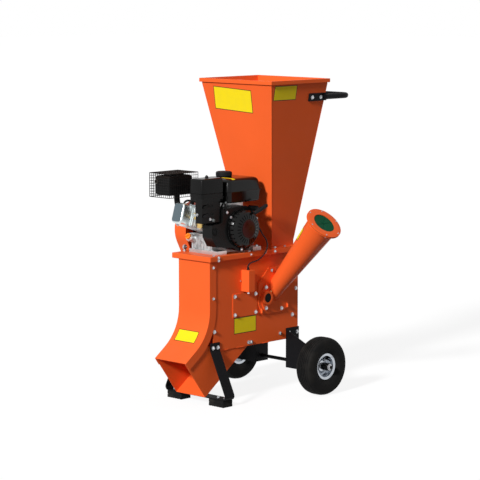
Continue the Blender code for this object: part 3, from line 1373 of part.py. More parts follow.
def oil_cap():
    """The oil filler cap with its threaded plug and a finger grip."""
    direction = filler_point(1) - filler_point(0)
    radius, height, edge = OIL_CAP_RADIUS, OIL_CAP_HEIGHT, OIL_CAP_EDGE
    profile = [(0, height), (radius - edge, height), (radius, height - edge), (radius, GAP),
               (OIL_PLUG_RADIUS, GAP), (OIL_PLUG_RADIUS, -OIL_PLUG_LENGTH), (0, -OIL_PLUG_LENGTH)]
    cap = add_turned("oil_cap", profile, filler_point(0), direction, CAP_ORANGE, sides=20)
    grip = add_boxes("oil_cap_grip", [((-OIL_GRIP_HALF_LENGTH, -OIL_GRIP_HALF_WIDTH, OIL_GRIP_START),
                                       (OIL_GRIP_HALF_LENGTH, OIL_GRIP_HALF_WIDTH, OIL_GRIP_TOP))])
    grip.data.transform(cap.matrix_basis)
    return join(cap, grip)


def crankshaft():
    """The crankshaft end to end."""
    return add_rods("crankshaft", [(CRANK_AXIS + X_AXIS * CRANK_LEFT_X,
                                    CRANK_AXIS + X_AXIS * CRANK_RIGHT_X)], CRANK_RADIUS, STEEL,
                    sides=20)


def flywheel():
    """The flywheel with a stepped rim, behind the recoil starter."""
    bore, hub, rim_radius = CRANK_RADIUS + GAP, FLYWHEEL_HUB_RADIUS, FLYWHEEL_RADIUS
    groove = rim_radius - FLYWHEEL_RIM_WALL
    profile = [(rim_radius - FLYWHEEL_EDGE, FLYWHEEL_FACE_X), (rim_radius, FLYWHEEL_RIM_X),
               (rim_radius, FLYWHEEL_BACK_X), (hub, FLYWHEEL_BACK_X), (hub, FLYWHEEL_HUB_BACK_X),
               (bore, FLYWHEEL_HUB_BACK_X), (bore, FLYWHEEL_HUB_X),
               (hub - FLYWHEEL_HUB_EDGE, FLYWHEEL_HUB_X), (hub, FLYWHEEL_WEB_X),
               (groove - FLYWHEEL_HUB_EDGE, FLYWHEEL_WEB_X), (groove, FLYWHEEL_FACE_X)]
    return add_turned("flywheel", profile, CRANK_AXIS, X_AXIS, ALUMINIUM)


def cylinder_block():
    """The cylinder and head as one block, with cooling fins all round."""
    half = CYLINDER_HALF_WIDTH - FIN_HEIGHT
    block = engine_box("cylinder_block", (CYLINDER_X - half, -CYLINDER_END, -CYLINDER_CORE_HALF_Z),
                       (CYLINDER_X + half, -CYLINDER_START, CYLINDER_CORE_HALF_Z), ALUMINIUM)
    head_start = CYLINDER_END - HEAD_LENGTH
    pitch = (head_start - CYLINDER_START - FIN_END_GAP) / FIN_COUNT
    fins = []
    for index in range(FIN_COUNT):
        near = CYLINDER_START + FIN_START + index * pitch
        fins.append(((CYLINDER_X - CYLINDER_HALF_WIDTH, -near - FIN_THICKNESS, -FIN_HALF_Z),
                     (CYLINDER_X + CYLINDER_HALF_WIDTH, -near, FIN_HALF_Z)))
    fin_stack = add_boxes("cylinder_fins", fins)
    fin_stack.data.transform(tilt())
    head = engine_box("cylinder_head", (CYLINDER_X - CYLINDER_HALF_WIDTH, -CYLINDER_END + GAP,
                                        -HEAD_HALF_Z),
                      (CYLINDER_X + CYLINDER_HALF_WIDTH, -head_start, HEAD_HALF_Z))
    return join(block, fin_stack, head)


def valve_cover():
    """The rocker cover on the head, with rounded corners."""
    front = CYLINDER_END + VALVE_COVER_DEPTH
    half_x, half_z = VALVE_COVER_HALF_X, VALVE_COVER_HALF_Z
    return engine_box("valve_cover", (CYLINDER_X - half_x, -front, -half_z),
                      (CYLINDER_X + half_x, -CYLINDER_END - GAP, half_z), ALUMINIUM,
                      bevel=VALVE_COVER_BEND)


def spark_plug():
    """The spark plug with its cap, on top of the head."""
    seat = tilt() @ Vector((CYLINDER_X, -CYLINDER_END + SPARK_PLUG_BACK, HEAD_HALF_Z + GAP))
    up = tilt().to_3x3() @ Vector((0, 0, 1))
    return add_turned("spark_plug", SPARK_PLUG_PROFILE, seat, up, PLASTIC, sides=16)


def muffler():
    """The silencer box with its exhaust pipe and the studs of its guard."""
    low, high = MUFFLER_LOW, MUFFLER_HIGH
    box = add_boxes("muffler", [(low, high)], BLACK, bevel=MUFFLER_BEND)
    port = tilt() @ Vector((CYLINDER_X - CYLINDER_HALF_WIDTH - GAP,
                            -CYLINDER_END + EXHAUST_PORT_BACK, EXHAUST_PORT_RISE))
    inlet = Vector((high.x - EXHAUST_INSET, port.y, low.z + EXHAUST_SEAT))
    corner = Vector((inlet.x, port.y, port.z))
    path = rounded([port, corner, inlet], EXHAUST_BEND, 5)
    pipe = as_mesh(add_tube("exhaust_pipe", path, EXHAUST_RADIUS, BLACK, 3), BLACK)
    cage_low, cage_high = cage_corners()
    seat = cage_high.z - CAGE_SHEET - GAP
    across, along = (wires(cage_low[axis], cage_high[axis])[1:-1] for axis in (0, 1))
    middle = CAGE_WIRE / 2
    studs = add_rods("muffler_studs", [((x + middle, y + middle, high.z - CAGE_WIRE),
                                        (x + middle, y + middle, seat))
                                       for x in (across[0], across[-1])
                                       for y in (along[0], along[-1])], CAGE_STUD_RADIUS, sides=8)
    return join(box, pipe, studs)


def cage_corners():
    """The low and high corners of the silencer's guard."""
    margin = Vector((CAGE_MARGIN, CAGE_MARGIN, 0))
    low = MUFFLER_LOW - margin - Vector((0, 0, CAGE_DROP))
    return low, MUFFLER_HIGH + margin + Vector((0, 0, CAGE_RISE))


def wires(low, high):
    """Where the wires of the guard start between two edges."""
    count = round((high - low - CAGE_WIRE) / CAGE_PITCH)
    pitch = (high - low - CAGE_WIRE) / count
    return [low + index * pitch for index in range(count + 1)]


def cells(low, high):
    """The openings between the wires of the guard."""
    starts = wires(low, high)
    return [(start + CAGE_WIRE, end) for start, end in zip(starts, starts[1:])]


def muffler_guard():
    """The wire guard round the silencer: a grid on top, in front and on both sides."""
    low, high = cage_corners()
    guard = add_boxes("muffler_guard", [(low, high)], BLACK)
    beyond = CAGE_PITCH
    hollow = add_boxes("cage_hollow", [
        ((low.x + CAGE_SHEET, low.y + CAGE_SHEET, low.z - beyond),
         (high.x - CAGE_SHEET, high.y + beyond, high.z - CAGE_SHEET))])
    across, along, rise = (cells(low[axis], high[axis]) for axis in range(3))
    middle = (low + high) / 2
    top = [((left, near, middle.z), (right, far, high.z + beyond))
           for left, right in across for near, far in along]
    front = [((left, low.y - beyond, bottom), (right, middle.y, ceiling))
             for left, right in across for bottom, ceiling in rise]
    sides = [((low.x - beyond, near, bottom), (high.x + beyond, far, ceiling))
             for near, far in along for bottom, ceiling in rise]
    return cut(guard, hollow, add_boxes("cage_top_holes", top),
               add_boxes("cage_front_holes", front), add_boxes("cage_side_holes", sides))


def carburettor():
    """The carburettor: body, throat up to the air filter and float bowl."""
    side = CYLINDER_X + CYLINDER_HALF_WIDTH + GAP
    body = add_boxes("carburettor", [((side, CARB_Y - CARB_HALF_WIDTH, CARB_BOTTOM_Z),
                                      (CARB_X + CARB_HALF_WIDTH, CARB_Y + CARB_HALF_WIDTH,
                                       CARB_TOP_Z))], ALUMINIUM, bevel=CARB_BEND)
    throat = add_rods("carb_throat", [((CARB_X, CARB_Y, CARB_TOP_Z - CARB_THROAT_SEAT),
                                       (CARB_X, CARB_Y, FILTER_BOTTOM_Z - GAP))],
                      CARB_THROAT_RADIUS, sides=16)
    bowl = add_rods("carb_bowl", [((CARB_X, CARB_Y, CARB_BOTTOM_Z - BOWL_DEPTH),
                                   (CARB_X, CARB_Y, CARB_BOTTOM_Z + BOWL_SEAT))],
                    BOWL_FOOT_RADIUS, sides=16, tip_radius=BOWL_RADIUS)
    return join(body, throat, bowl)


def air_filter_base():
    """The tray under the air filter, with the panel that covers the carburettor's levers."""
    tray = add_boxes("air_filter_base", [((FILTER_LEFT_X, FILTER_FRONT_Y, FILTER_BOTTOM_Z),
                                          (FILTER_RIGHT_X, FILTER_REAR_Y, FILTER_SEAM_Z - GAP))],
                     PLASTIC)
    panel = add_boxes("control_panel", [
        ((FILTER_RIGHT_X - PANEL_THICKNESS, FILTER_FRONT_Y, FILTER_BOTTOM_Z - PANEL_DROP),
         (FILTER_RIGHT_X, FILTER_REAR_Y - PANEL_REAR_INSET, FILTER_BOTTOM_Z + PANEL_LAP))])
    return join(tray, panel)


def air_filter_cover():
    """The rounded cover of the air filter with the knob of its wing nut."""
    cover = add_boxes("air_filter_cover", [((FILTER_LEFT_X, FILTER_FRONT_Y, FILTER_SEAM_Z),
                                            (FILTER_RIGHT_X, FILTER_REAR_Y, FILTER_TOP_Z))],
                      PLASTIC, bevel=FILTER_BEND)
    middle = Vector(((FILTER_LEFT_X + FILTER_RIGHT_X) / 2, (FILTER_FRONT_Y + FILTER_REAR_Y) / 2, 0))
    knob = add_rods("filter_knob", [(middle + Vector((0, 0, FILTER_TOP_Z - FILTER_KNOB_SEAT)),
                                     middle + Vector((0, 0, FILTER_TOP_Z + FILTER_KNOB_HEIGHT)))],
                    FILTER_KNOB_RADIUS, sides=12)
    return join(cover, knob)


def tank_levels(inset):
    """The level rectangles of the tank: foot, seam and top, drawn in by the draft of its halves."""
    levels = []
    for draft, height in ((TANK_DRAFT_LOWER, TANK_BOTTOM_Z + inset), (0, TANK_SEAM_Z),
                          (TANK_DRAFT_UPPER, TANK_TOP_Z - inset)):
        edge = draft + inset
        levels.append(((TANK_LEFT_X + edge, TANK_FRONT_Y + edge, height),
                       (TANK_RIGHT_X - edge, TANK_REAR_Y - edge, height)))
    return levels


def fuel_tank():
    """The hollow fuel tank: two pressed halves, their seam flange and the filler neck."""
    tank = add_stack("fuel_tank", tank_levels(0), BLACK, bevel=TANK_BEND)
    hollow = add_stack("tank_hollow", tank_levels(TANK_WALL), bevel=TANK_BEND - TANK_WALL)
    seam = add_boxes("tank_seam", [
        ((TANK_LEFT_X - TANK_LIP, TANK_FRONT_Y - TANK_LIP, TANK_SEAM_Z - TANK_WALL / 2),
         (TANK_RIGHT_X + TANK_LIP, TANK_REAR_Y + TANK_LIP, TANK_SEAM_Z + TANK_WALL / 2))])
    neck_top = TANK_TOP_Z + TANK_CAP_HEIGHT / 2
    neck = add_rods("tank_neck", [((TANK_CAP_X, TANK_CAP_Y, TANK_TOP_Z - TANK_WALL / 2),
                                   (TANK_CAP_X, TANK_CAP_Y, neck_top))], TANK_NECK_RADIUS,
                    sides=24)
    bore = add_rods("tank_neck_bore", [((TANK_CAP_X, TANK_CAP_Y, TANK_TOP_Z - TANK_WALL * 2),
                                        (TANK_CAP_X, TANK_CAP_Y, neck_top + TANK_WALL))],
                    TANK_NECK_RADIUS - TANK_WALL, sides=24)
    return cut(join(tank, seam, neck), hollow, bore)


def tank_cap():
    """The fuel cap, which turns over the filler neck."""
    outer, inner = TANK_CAP_RADIUS, TANK_NECK_RADIUS + GAP
    bottom = TANK_TOP_Z + GAP
    ceiling = TANK_TOP_Z + TANK_CAP_HEIGHT / 2 + GAP
    top = TANK_TOP_Z + TANK_CAP_HEIGHT
    profile = [(0, top), (outer - TANK_CAP_EDGE, top), (outer, top - TANK_CAP_EDGE), (outer, bottom),
               (inner, bottom), (inner, ceiling), (0, ceiling)]
    return add_turned("tank_cap", profile, (TANK_CAP_X, TANK_CAP_Y, 0), (0, 0, 1), PLASTIC,
                      sides=24)


def fan_shroud():
    """The sheet shroud that leads the fan's air to the cylinder, with the starter rope's guide."""
    back_x = CASE_RIGHT_X + GAP
    rim = arc((CRANK_Y, CRANK_Z), SHROUD_RADIUS, -125, 100, 22)
    outline = [*rim, *(Vector((CRANK_Y + along, CRANK_Z + up)) for along, up in SCOOP_CORNERS)]
    shroud = add_outline("fan_shroud", [outline], "YZ", back_x, SHROUD_RIGHT_X, BLACK)
    guide = add_rods("rope_guide", [(rope_point(ROPE_GUIDE_START_X), rope_point(rope_exit_x()))],
                     ROPE_GUIDE_RADIUS, sides=16)
    cavity = add_rods("fan_cavity", [(CRANK_AXIS + X_AXIS * (back_x + FAN_CAVITY_BACK),
                                      CRANK_AXIS + X_AXIS * (SHROUD_RIGHT_X + CASE_SHEET))],
                      FAN_CAVITY_RADIUS, sides=32)
    bore = add_rods("shroud_bore", [(CRANK_AXIS, CRANK_AXIS + X_AXIS * SHROUD_RIGHT_X)],
                    CRANK_RADIUS + GAP, sides=20)
    join(shroud, guide)
    return cut(shroud, cavity, bore)


def rope_point(x):
    """A point on the line on which the starter rope is pulled."""
    return Vector((x, CRANK_Y + ROPE_BACK, CRANK_Z + ROPE_RISE))


def rope_exit_x():
    """Where the starter rope leaves its guide."""
    return SHROUD_RIGHT_X + ROPE_GUIDE_LENGTH


def recoil_cover():
    """The recoil starter's cover: a dished shell with a ring of air slots and a plain disc."""
    seat, front = SHROUD_RIGHT_X + GAP, SHROUD_RIGHT_X + RECOIL_DEPTH
    wall, disc, outer = RECOIL_WALL, RECOIL_DISC_RADIUS, RECOIL_RADIUS
    dish = front - RECOIL_DISC_EDGE
    face, turn = front - RECOIL_FACE_DROP, front - RECOIL_ROUND_DROP
    side, inner = front - RECOIL_SIDE_DROP, outer - wall
    profile = [(0, front), (disc, front), (disc + RECOIL_DISC_EDGE, dish),
               (outer - RECOIL_FACE_EDGE, face), (outer - RECOIL_ROUND_EDGE, turn), (outer, side),
               (outer, seat), (inner, seat), (inner, side),
               (inner - RECOIL_ROUND_EDGE, turn - wall), (inner - RECOIL_FACE_EDGE, face - wall),
               (disc + RECOIL_DISC_EDGE - wall, dish - wall), (0, front - RECOIL_DISC_DROP - wall)]
    cover = add_turned("recoil_cover", profile, CRANK_AXIS, X_AXIS, BLACK, sides=28)
    shape = bmesh.new()
    for index in range(RECOIL_SLOTS):
        spin = Matrix.Rotation(math.tau * (index + 0.5) / RECOIL_SLOTS, 4, "X")
        fit = Matrix.Diagonal((RECOIL_SLOT_DEPTH, RECOIL_SLOT_LENGTH, RECOIL_SLOT_WIDTH, 1))
        reach = Matrix.Translation((front, RECOIL_SLOT_RADIUS, 0))
        place = Matrix.Translation(CRANK_AXIS) @ spin @ reach
        bmesh.ops.create_cube(shape, size=1, matrix=place @ fit)
    return cut(cover, finish_mesh("recoil_slots", shape, None))


def recoil_handle():
    """The T handle of the starter rope, seated on its guide."""
    seat = rope_point(rope_exit_x() + GAP)
    stem_end = seat + X_AXIS * GRIP_STEM_LENGTH
    stem = add_rods("recoil_handle", [(seat, stem_end)], GRIP_STEM_RADIUS, PLASTIC, sides=12)
    lean = Vector((0, math.cos(GRIP_LEAN), math.sin(GRIP_LEAN))) * GRIP_HALF_LENGTH
    bar = add_rods("recoil_bar", [(stem_end - lean, stem_end + lean)], GRIP_RADIUS, sides=16)
    join(stem, bar)
    set_origin(stem, seat)
    return stem


def lever(name, pivot, length, degrees):
    """A flat lever that lies in a YZ plane, with a round eye and a knob at its rounded tip."""
    heading = math.radians(degrees)
    tip = Vector((pivot.y + length * math.cos(heading), pivot.z + length * math.sin(heading)))
    eye = arc((pivot.y, pivot.z), LEVER_HALF_WIDTH * 1.5, degrees + 60, degrees + 300, 8)
    end = arc(tip, LEVER_HALF_WIDTH, degrees - 90, degrees + 90, 6)
    piece = add_outline(name, [[*eye, *end]], "YZ", pivot.x, pivot.x + LEVER_THICKNESS, PLASTIC)
    knob = add_rods(f"{name}_knob", [((pivot.x + LEVER_THICKNESS / 2, tip.x, tip.y),
                                      (pivot.x + LEVER_THICKNESS + LEVER_KNOB_HEIGHT, tip.x, tip.y))],
                    LEVER_KNOB_RADIUS, sides=10)
    piece.data.transform(piece.matrix_basis)
    piece.matrix_basis = Matrix.Identity(4)
    join(piece, knob)
    return set_origin(piece, pivot)


def engine_levers():
    """The throttle, choke and fuel levers and the rotary engine switch."""
    face = SHROUD_RIGHT_X + GAP
    lever("throttle_lever", Vector((face, CRANK_Y - THROTTLE_FORWARD, CRANK_Z + THROTTLE_RISE)),
          THROTTLE_LENGTH, 105)
    for name, drop in (("choke_lever", CHOKE_DROP), ("fuel_lever", FUEL_DROP)):
        lever(name, Vector((FILTER_RIGHT_X + GAP, FILTER_FRONT_Y + PANEL_LEVER_BACK,
                            FILTER_BOTTOM_Z - drop)), PANEL_LEVER_LENGTH, 190)
    switch = Vector((face, CRANK_Y - SWITCH_KNOB_FORWARD, CRANK_Z - SWITCH_KNOB_DROP))
    knob = add_rods("engine_switch", [(switch, switch + X_AXIS * SWITCH_KNOB_HEIGHT)],
                    SWITCH_KNOB_RADIUS, PLASTIC, sides=20)
    half = Vector((0, SWITCH_GRIP_HALF_WIDTH, SWITCH_GRIP_HALF_LENGTH))
    grip = add_boxes("engine_switch_grip", [(switch + X_AXIS * SWITCH_GRIP_START - half,
                                             switch + X_AXIS * SWITCH_GRIP_TOP + half)])
    join(knob, grip)
    set_origin(knob, switch)


def casing_pieces():
    """The shredder's casing and what is bolted to it."""
    body_side_right()
    body_side_left()
    chamber_wrap()
    engine_plate()
    front_cover()
    discharge_duct()
    inspection_panel()
    hopper()
    handle()
    chipper_cone()
    rubber_flap()
    cone_ring()
    bearing_housing("bearing_housing_right", 1, PLATE_FACE_X + GAP)
    bearing_housing("bearing_housing_left", -1, -SKIN_X)
    switch_box()
    switch_plunger()
    kill_cable()
    belt_guard()


def rotor_pieces():
    """The rotor, its hammers and knives, and the belt drive."""
    rotor_shaft()
    rotor_drum()
    knife("knife_1", 1)
    knife("knife_2", -1)
    for index in range(HAMMER_COUNT):
        hammer(index)
    rotor_pulley()
    clutch_pulley()
    drive_belt()


def chassis_pieces():
    """The stand, the axle and the wheels."""
    stand()
    axle()
    for label, side in (("right", 1), ("left", -1)):
        foot_pad(f"foot_pad_{label}", side)
        wheel_bracket(f"wheel_bracket_{label}", side)
        rim(f"rim_{label}", side)
        tyre(f"tyre_{label}", side)


def engine_pieces():
    """The engine."""
    crankcase()
    crankshaft()
    flywheel()
    cylinder_block()
    valve_cover()
    spark_plug()
    muffler()
    muffler_guard()
    carburettor()
    air_filter_base()
    air_filter_cover()
    fuel_tank()
    tank_cap()
    fan_shroud()
    recoil_cover()
    recoil_handle()
    oil_cap()
    engine_levers()


def footprint_shift():
    """The move that puts the centre of the footprint at the origin and the lowest point at zero."""
    bpy.context.view_layer.update()
    depsgraph = bpy.context.evaluated_depsgraph_get()
    low, high = Vector((math.inf,) * 3), Vector((-math.inf,) * 3)
    for piece in PART.objects:
        if piece.type == "EMPTY":
            continue
        evaluated = piece.evaluated_get(depsgraph)
        mesh = evaluated.to_mesh()
        for vertex in mesh.vertices:
            place = evaluated.matrix_world @ vertex.co
            low = Vector(map(min, low, place))
            high = Vector(map(max, high, place))
        evaluated.to_mesh_clear()
    return Vector((-(low.x + high.x) / 2, -(low.y + high.y) / 2, -low.z))


def main():
    """Build every piece and set the assembly on its origin."""
    casing_pieces()
    rotor_pieces()
    chassis_pieces()
    engine_pieces()
    ROOT.location = footprint_shift()
    print("assembly shift", [round(value, 5) for value in ROOT.location])


main()
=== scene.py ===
"""The looks of a petrol garden shredder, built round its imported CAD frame.

Every shape is drawn in the machine's own frame: the axle stands over y = 0, midway between the
wheels, +X points to the branch cone, -Y to the chute and +Z up, in metres. A finished mesh is
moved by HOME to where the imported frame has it.
"""

import logging
import math
from collections.abc import Iterable, Sequence
from dataclasses import dataclass
from enum import Enum

import bmesh
import bpy
from mathutils import Matrix, Vector


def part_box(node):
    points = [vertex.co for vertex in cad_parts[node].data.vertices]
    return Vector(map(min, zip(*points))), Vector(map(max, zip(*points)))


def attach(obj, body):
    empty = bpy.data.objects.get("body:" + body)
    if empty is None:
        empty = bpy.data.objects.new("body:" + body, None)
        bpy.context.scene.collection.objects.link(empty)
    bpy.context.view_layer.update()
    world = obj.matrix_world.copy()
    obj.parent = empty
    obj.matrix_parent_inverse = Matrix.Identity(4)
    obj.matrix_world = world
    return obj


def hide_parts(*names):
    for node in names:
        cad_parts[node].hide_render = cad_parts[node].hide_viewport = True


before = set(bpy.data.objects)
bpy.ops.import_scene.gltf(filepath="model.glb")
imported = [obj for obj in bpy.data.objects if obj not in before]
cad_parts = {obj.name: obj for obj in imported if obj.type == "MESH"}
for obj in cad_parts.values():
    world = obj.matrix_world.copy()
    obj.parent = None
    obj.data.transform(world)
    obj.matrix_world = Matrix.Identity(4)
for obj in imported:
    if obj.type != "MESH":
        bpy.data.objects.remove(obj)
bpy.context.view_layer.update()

LOG = logging.getLogger("shredder")
AXLE_LOW, AXLE_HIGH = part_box("axle")
HOME = Vector(((AXLE_LOW.x + AXLE_HIGH.x) / 2, (AXLE_LOW.y + AXLE_HIGH.y) / 2, 0.0))
MERGE_REACH = 0.00001
FLAT_ANGLE = math.radians(1.0)
BOLT_CREASE = math.radians(35)
WIRE_CREASE = math.radians(60)
BOLT_SEED, BEAD_SEED = 5, 11
BEAD_OVERLAP = 1.25
SKIN_X = 0.0948
CRANK_AXIS = (-0.335, 0.765)
X_AXIS, Y_AXIS, Z_AXIS = Vector((1, 0, 0)), Vector((0, 1, 0)), Vector((0, 0, 1))
Point = Sequence[float]
Pair = tuple[float, float]
Triple = tuple[float, float, float]
Socket = bpy.types.NodeSocket


class Body(str, Enum):
    """The CAD bodies that pieces ride on."""

    FRAME = "frame"
    ROTOR = "rotor"
    CRANK = "crank"
    WHEEL_RIGHT = "wheel_right"
    WHEEL_LEFT = "wheel_left"
    FUEL_CAP = "fuel_cap"
    FILLER_CAP = "filler_cap"
    THROTTLE = "throttle"
    CHOKE = "choke"
    FUEL_TAP = "fuel_tap"
    IGNITION = "ignition"
    STARTER = "starter"
    PLUNGER = "plunger"


class Plane(Enum):
    """Planes that flat outlines are drawn in, as first axis, second axis and normal."""

    YZ = ((0, 1, 0), (0, 0, 1), (1, 0, 0))
    XZ = ((1, 0, 0), (0, 0, 1), (0, 1, 0))
    XY = ((1, 0, 0), (0, 1, 0), (0, 0, 1))


def span(node: str) -> tuple[Vector, Vector]:
    """A CAD node's low and high corners in the machine's own frame.

    Args:
        node: The node's name.

    Returns:
        The low and the high corner.
    """
    low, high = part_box(node)
    return low - HOME, high - HOME


def evaluated_mesh(guide: bpy.types.Object) -> bpy.types.Mesh:
    """The mesh that an object's modifiers leave, with the object removed.

    Args:
        guide: A mesh object with modifiers.

    Returns:
        A plain mesh.
    """
    bpy.context.view_layer.update()
    depsgraph = bpy.context.evaluated_depsgraph_get()
    mesh = bpy.data.meshes.new_from_object(guide.evaluated_get(depsgraph),
                                           preserve_all_data_layers=True, depsgraph=depsgraph)
    old = guide.data
    bpy.data.objects.remove(guide)
    bpy.data.meshes.remove(old)
    return mesh


def place_piece(mesh: bpy.types.Mesh, name: str, body: Body,
                replaces: Iterable[str]) -> bpy.types.Object:
    """Move a finished mesh home and hang it on its CAD body.

    Args:
        mesh: The mesh, in the machine's own frame.
        name: The piece's name.
        body: The body that it rides on.
        replaces: The CAD nodes that it stands for.

    Returns:
        The piece.
    """
    mesh.transform(Matrix.Translation(HOME))
    mesh.name = name
    piece = bpy.data.objects.new(name, mesh)
    bpy.context.scene.collection.objects.link(piece)
    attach(piece, body.value)
    names = list(replaces)
    if names:
        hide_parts(*names)
    LOG.info("%s: %d faces on %s", name, len(mesh.polygons), body.value)
    return piece


class Graph:
    """Short calls for building a node tree."""

    def __init__(self, tree: bpy.types.NodeTree) -> None:
        """Take the tree to build in."""
        self.tree = tree

    def node(self, kind: str, sockets: dict[str | int, object] | None = None,
             **settings: object) -> bpy.types.Node:
        """Add a node.

        Args:
            kind: The node's type.
            sockets: Input names or places, each with a value or a socket to link.
            settings: Properties of the node.

        Returns:
            The node.
        """
        made = self.tree.nodes.new(kind)
        for key, value in settings.items():
            setattr(made, key, value)
        for key, value in (sockets or {}).items():
            if isinstance(value, Socket):
                self.tree.links.new(value, made.inputs[key])
            else:
                made.inputs[key].default_value = value
        return made

    def math(self, operation: str, first: object, second: object) -> Socket:
        """The result of a Math node."""
        return self.node("ShaderNodeMath", {0: first, 1: second}, operation=operation).outputs[0]


class SurfaceGraph(Graph):
    """A material's node tree, with the recipes that the finishes share."""

    def __init__(self, name: str) -> None:
        """Start a material with a Principled shader.

        Args:
            name: The material's name.
        """
        self.material = bpy.data.materials.new(name)
        self.material.use_nodes = True
        super().__init__(self.material.node_tree)
        self.shader = self.tree.nodes["Principled BSDF"]
        self.place = self.node("ShaderNodeTexCoord").outputs["Object"]

    def set(self, **sockets: object) -> None:
        """Set or link the shader's inputs; underscores stand for spaces.

        Args:
            sockets: Input names, each with a value or a socket to link.
        """
        for key, value in sockets.items():
            target = self.shader.inputs[key.replace("_", " ")]
            if isinstance(value, Socket):
                self.tree.links.new(value, target)
            elif isinstance(value, tuple):
                target.default_value = (*value, 1.0)
            else:
                target.default_value = value

    def noise(self, scale: float, detail: float, stretch: Point = (1, 1, 1)) -> Socket:
        """A noise value round one half.

        Args:
            scale: Features per metre.
            detail: Octaves.
            stretch: How much finer the pattern is along each axis.

        Returns:
            The noise socket.
        """
        mapping = self.node("ShaderNodeMapping", {"Vector": self.place, "Scale": stretch})
        return self.node("ShaderNodeTexNoise", {"Vector": mapping.outputs[0], "Scale": scale,
                                                "Detail": detail}).outputs[0]

    def remap(self, value: Socket, low: float, high: float, to_low: float = 0.0,
              to_high: float = 1.0) -> Socket:
        """A value spread from one span to another and held there."""
        return self.node("ShaderNodeMapRange", {0: value, 1: low, 2: high, 3: to_low,
                                                4: to_high}).outputs[0]

    def mix(self, share: object, first: object, second: object) -> Socket:
        """Two colours mixed by a share."""
        sides = [(*side, 1.0) if isinstance(side, tuple) else side for side in (first, second)]
        return self.node("ShaderNodeMix", {0: share, 6: sides[0], 7: sides[1]},
                         data_type="RGBA").outputs[2]

    def edges(self, radius: float, sharpest: float = 0.82) -> Socket:
        """One on the corners of a shape and zero on its flats.

        Args:
            radius: How wide a corner is.
            sharpest: The turn at which it reaches one.

        Returns:
            The share's socket.
        """
        rounded = self.node("ShaderNodeBevel", {"Radius": radius}, samples=4)
        flat = self.node("ShaderNodeNewGeometry").outputs["Normal"]
        turn = self.node("ShaderNodeVectorMath", {0: rounded.outputs[0], 1: flat},
                         operation="DOT_PRODUCT").outputs["Value"]
        return self.remap(turn, 0.985, sharpest)

    def bump(self, *layers: tuple[Socket, float]) -> None:
        """Give the shader a bump from layers of height in metres.

        Args:
            layers: Pairs of a height's socket and its depth.
        """
        total = None
        for value, depth in layers:
            part = self.math("MULTIPLY", value, depth)
            total = part if total is None else self.math("ADD", total, part)
        made = self.node("ShaderNodeBump", {"Height": total, "Distance": 1.0, "Strength": 1.0})
        self.set(Normal=made.outputs[0])


@dataclass(frozen=True)
class Finish:
    """A surface finish, made into a material once."""

    name: str
    slot: str

    def material(self) -> bpy.types.Material:
        """The material, from the file or newly made."""
        return bpy.data.materials.get(self.name) or self.make(SurfaceGraph(self.name))

    def make(self, graph: SurfaceGraph) -> bpy.types.Material:
        """Build the material's nodes."""
        raise NotImplementedError


@dataclass(frozen=True)
class SprayedPaint(Finish):
    """Sprayed paint on sheet metal, with orange peel, dust and chipped corners."""

    colour: Triple = (0.96, 0.136, 0.027)
    chip: Triple = (0.16, 0.05, 0.03)
    roughness: float = 0.40
    gloss: float = 0.10
    wear: float = 0.62
    peel: float = 0.00004

    def make(self, graph: SurfaceGraph) -> bpy.types.Material:
        """Paint with a slow drift of shade, peel in the light and wear on the corners.

        Args:
            graph: The material's node tree, with its shader.

        Returns:
            The material.
        """
        drift = graph.remap(graph.noise(3.0, 3.0), 0.3, 0.7)
        darker = tuple(channel * 0.92 for channel in self.colour)
        base = graph.mix(drift, darker, self.colour)
        speck = graph.remap(graph.noise(260.0, 3.0), self.wear, self.wear + 0.06)
        chipped = graph.math("MULTIPLY", speck, graph.edges(0.0012))
        scuff = graph.remap(graph.noise(34.0, 4.0, (1, 1, 3)), 0.66, 0.78, 0.0, 0.16)
        base = graph.mix(scuff, base, tuple(channel * 0.8 + 0.01 for channel in self.colour))
        graph.set(Base_Color=graph.mix(chipped, base, self.chip), Specular_IOR_Level=self.gloss)
        rough = graph.remap(graph.noise(9.0, 4.0), 0.3, 0.75, self.roughness - 0.05,
                            self.roughness + 0.09)
        graph.set(Roughness=graph.math("ADD", rough, graph.math("MULTIPLY", chipped, 0.3)))
        graph.bump((graph.noise(620.0, 1.0), self.peel), (graph.noise(60.0, 1.0), self.peel * 2),
                   (chipped, -0.00012))
        return graph.material


@dataclass(frozen=True)
class MouldedPlastic(Finish):
    """Grained moulded plastic, a little paler on worn corners."""

    colour: Triple = (0.014, 0.014, 0.015)
    roughness: float = 0.48
    gloss: float = 0.09
    grain: float = 0.00003

    def make(self, graph: SurfaceGraph) -> bpy.types.Material:
        """Fine grain, soft dust and rubbed corners.

        Args:
            graph: The material's node tree, with its shader.

        Returns:
            The material.
        """
        pale = tuple(min(1.0, channel * 1.7 + 0.004) for channel in self.colour)
        rubbed = graph.math("MULTIPLY", graph.edges(0.0009, 0.8),
                            graph.remap(graph.noise(90.0, 3.0), 0.4, 0.7, 0.1, 0.7))
        dusty = graph.remap(graph.noise(14.0, 4.0), 0.45, 0.8, 0.0, 0.35)
        base = graph.mix(dusty, self.colour, pale)
        graph.set(Base_Color=graph.mix(rubbed, base, pale), Specular_IOR_Level=self.gloss,
                  Roughness=graph.remap(graph.noise(30.0, 3.0), 0.3, 0.7, self.roughness - 0.06,
                                        self.roughness + 0.08))
        graph.bump((graph.noise(1500.0, 2.0), self.grain))
        return graph.material


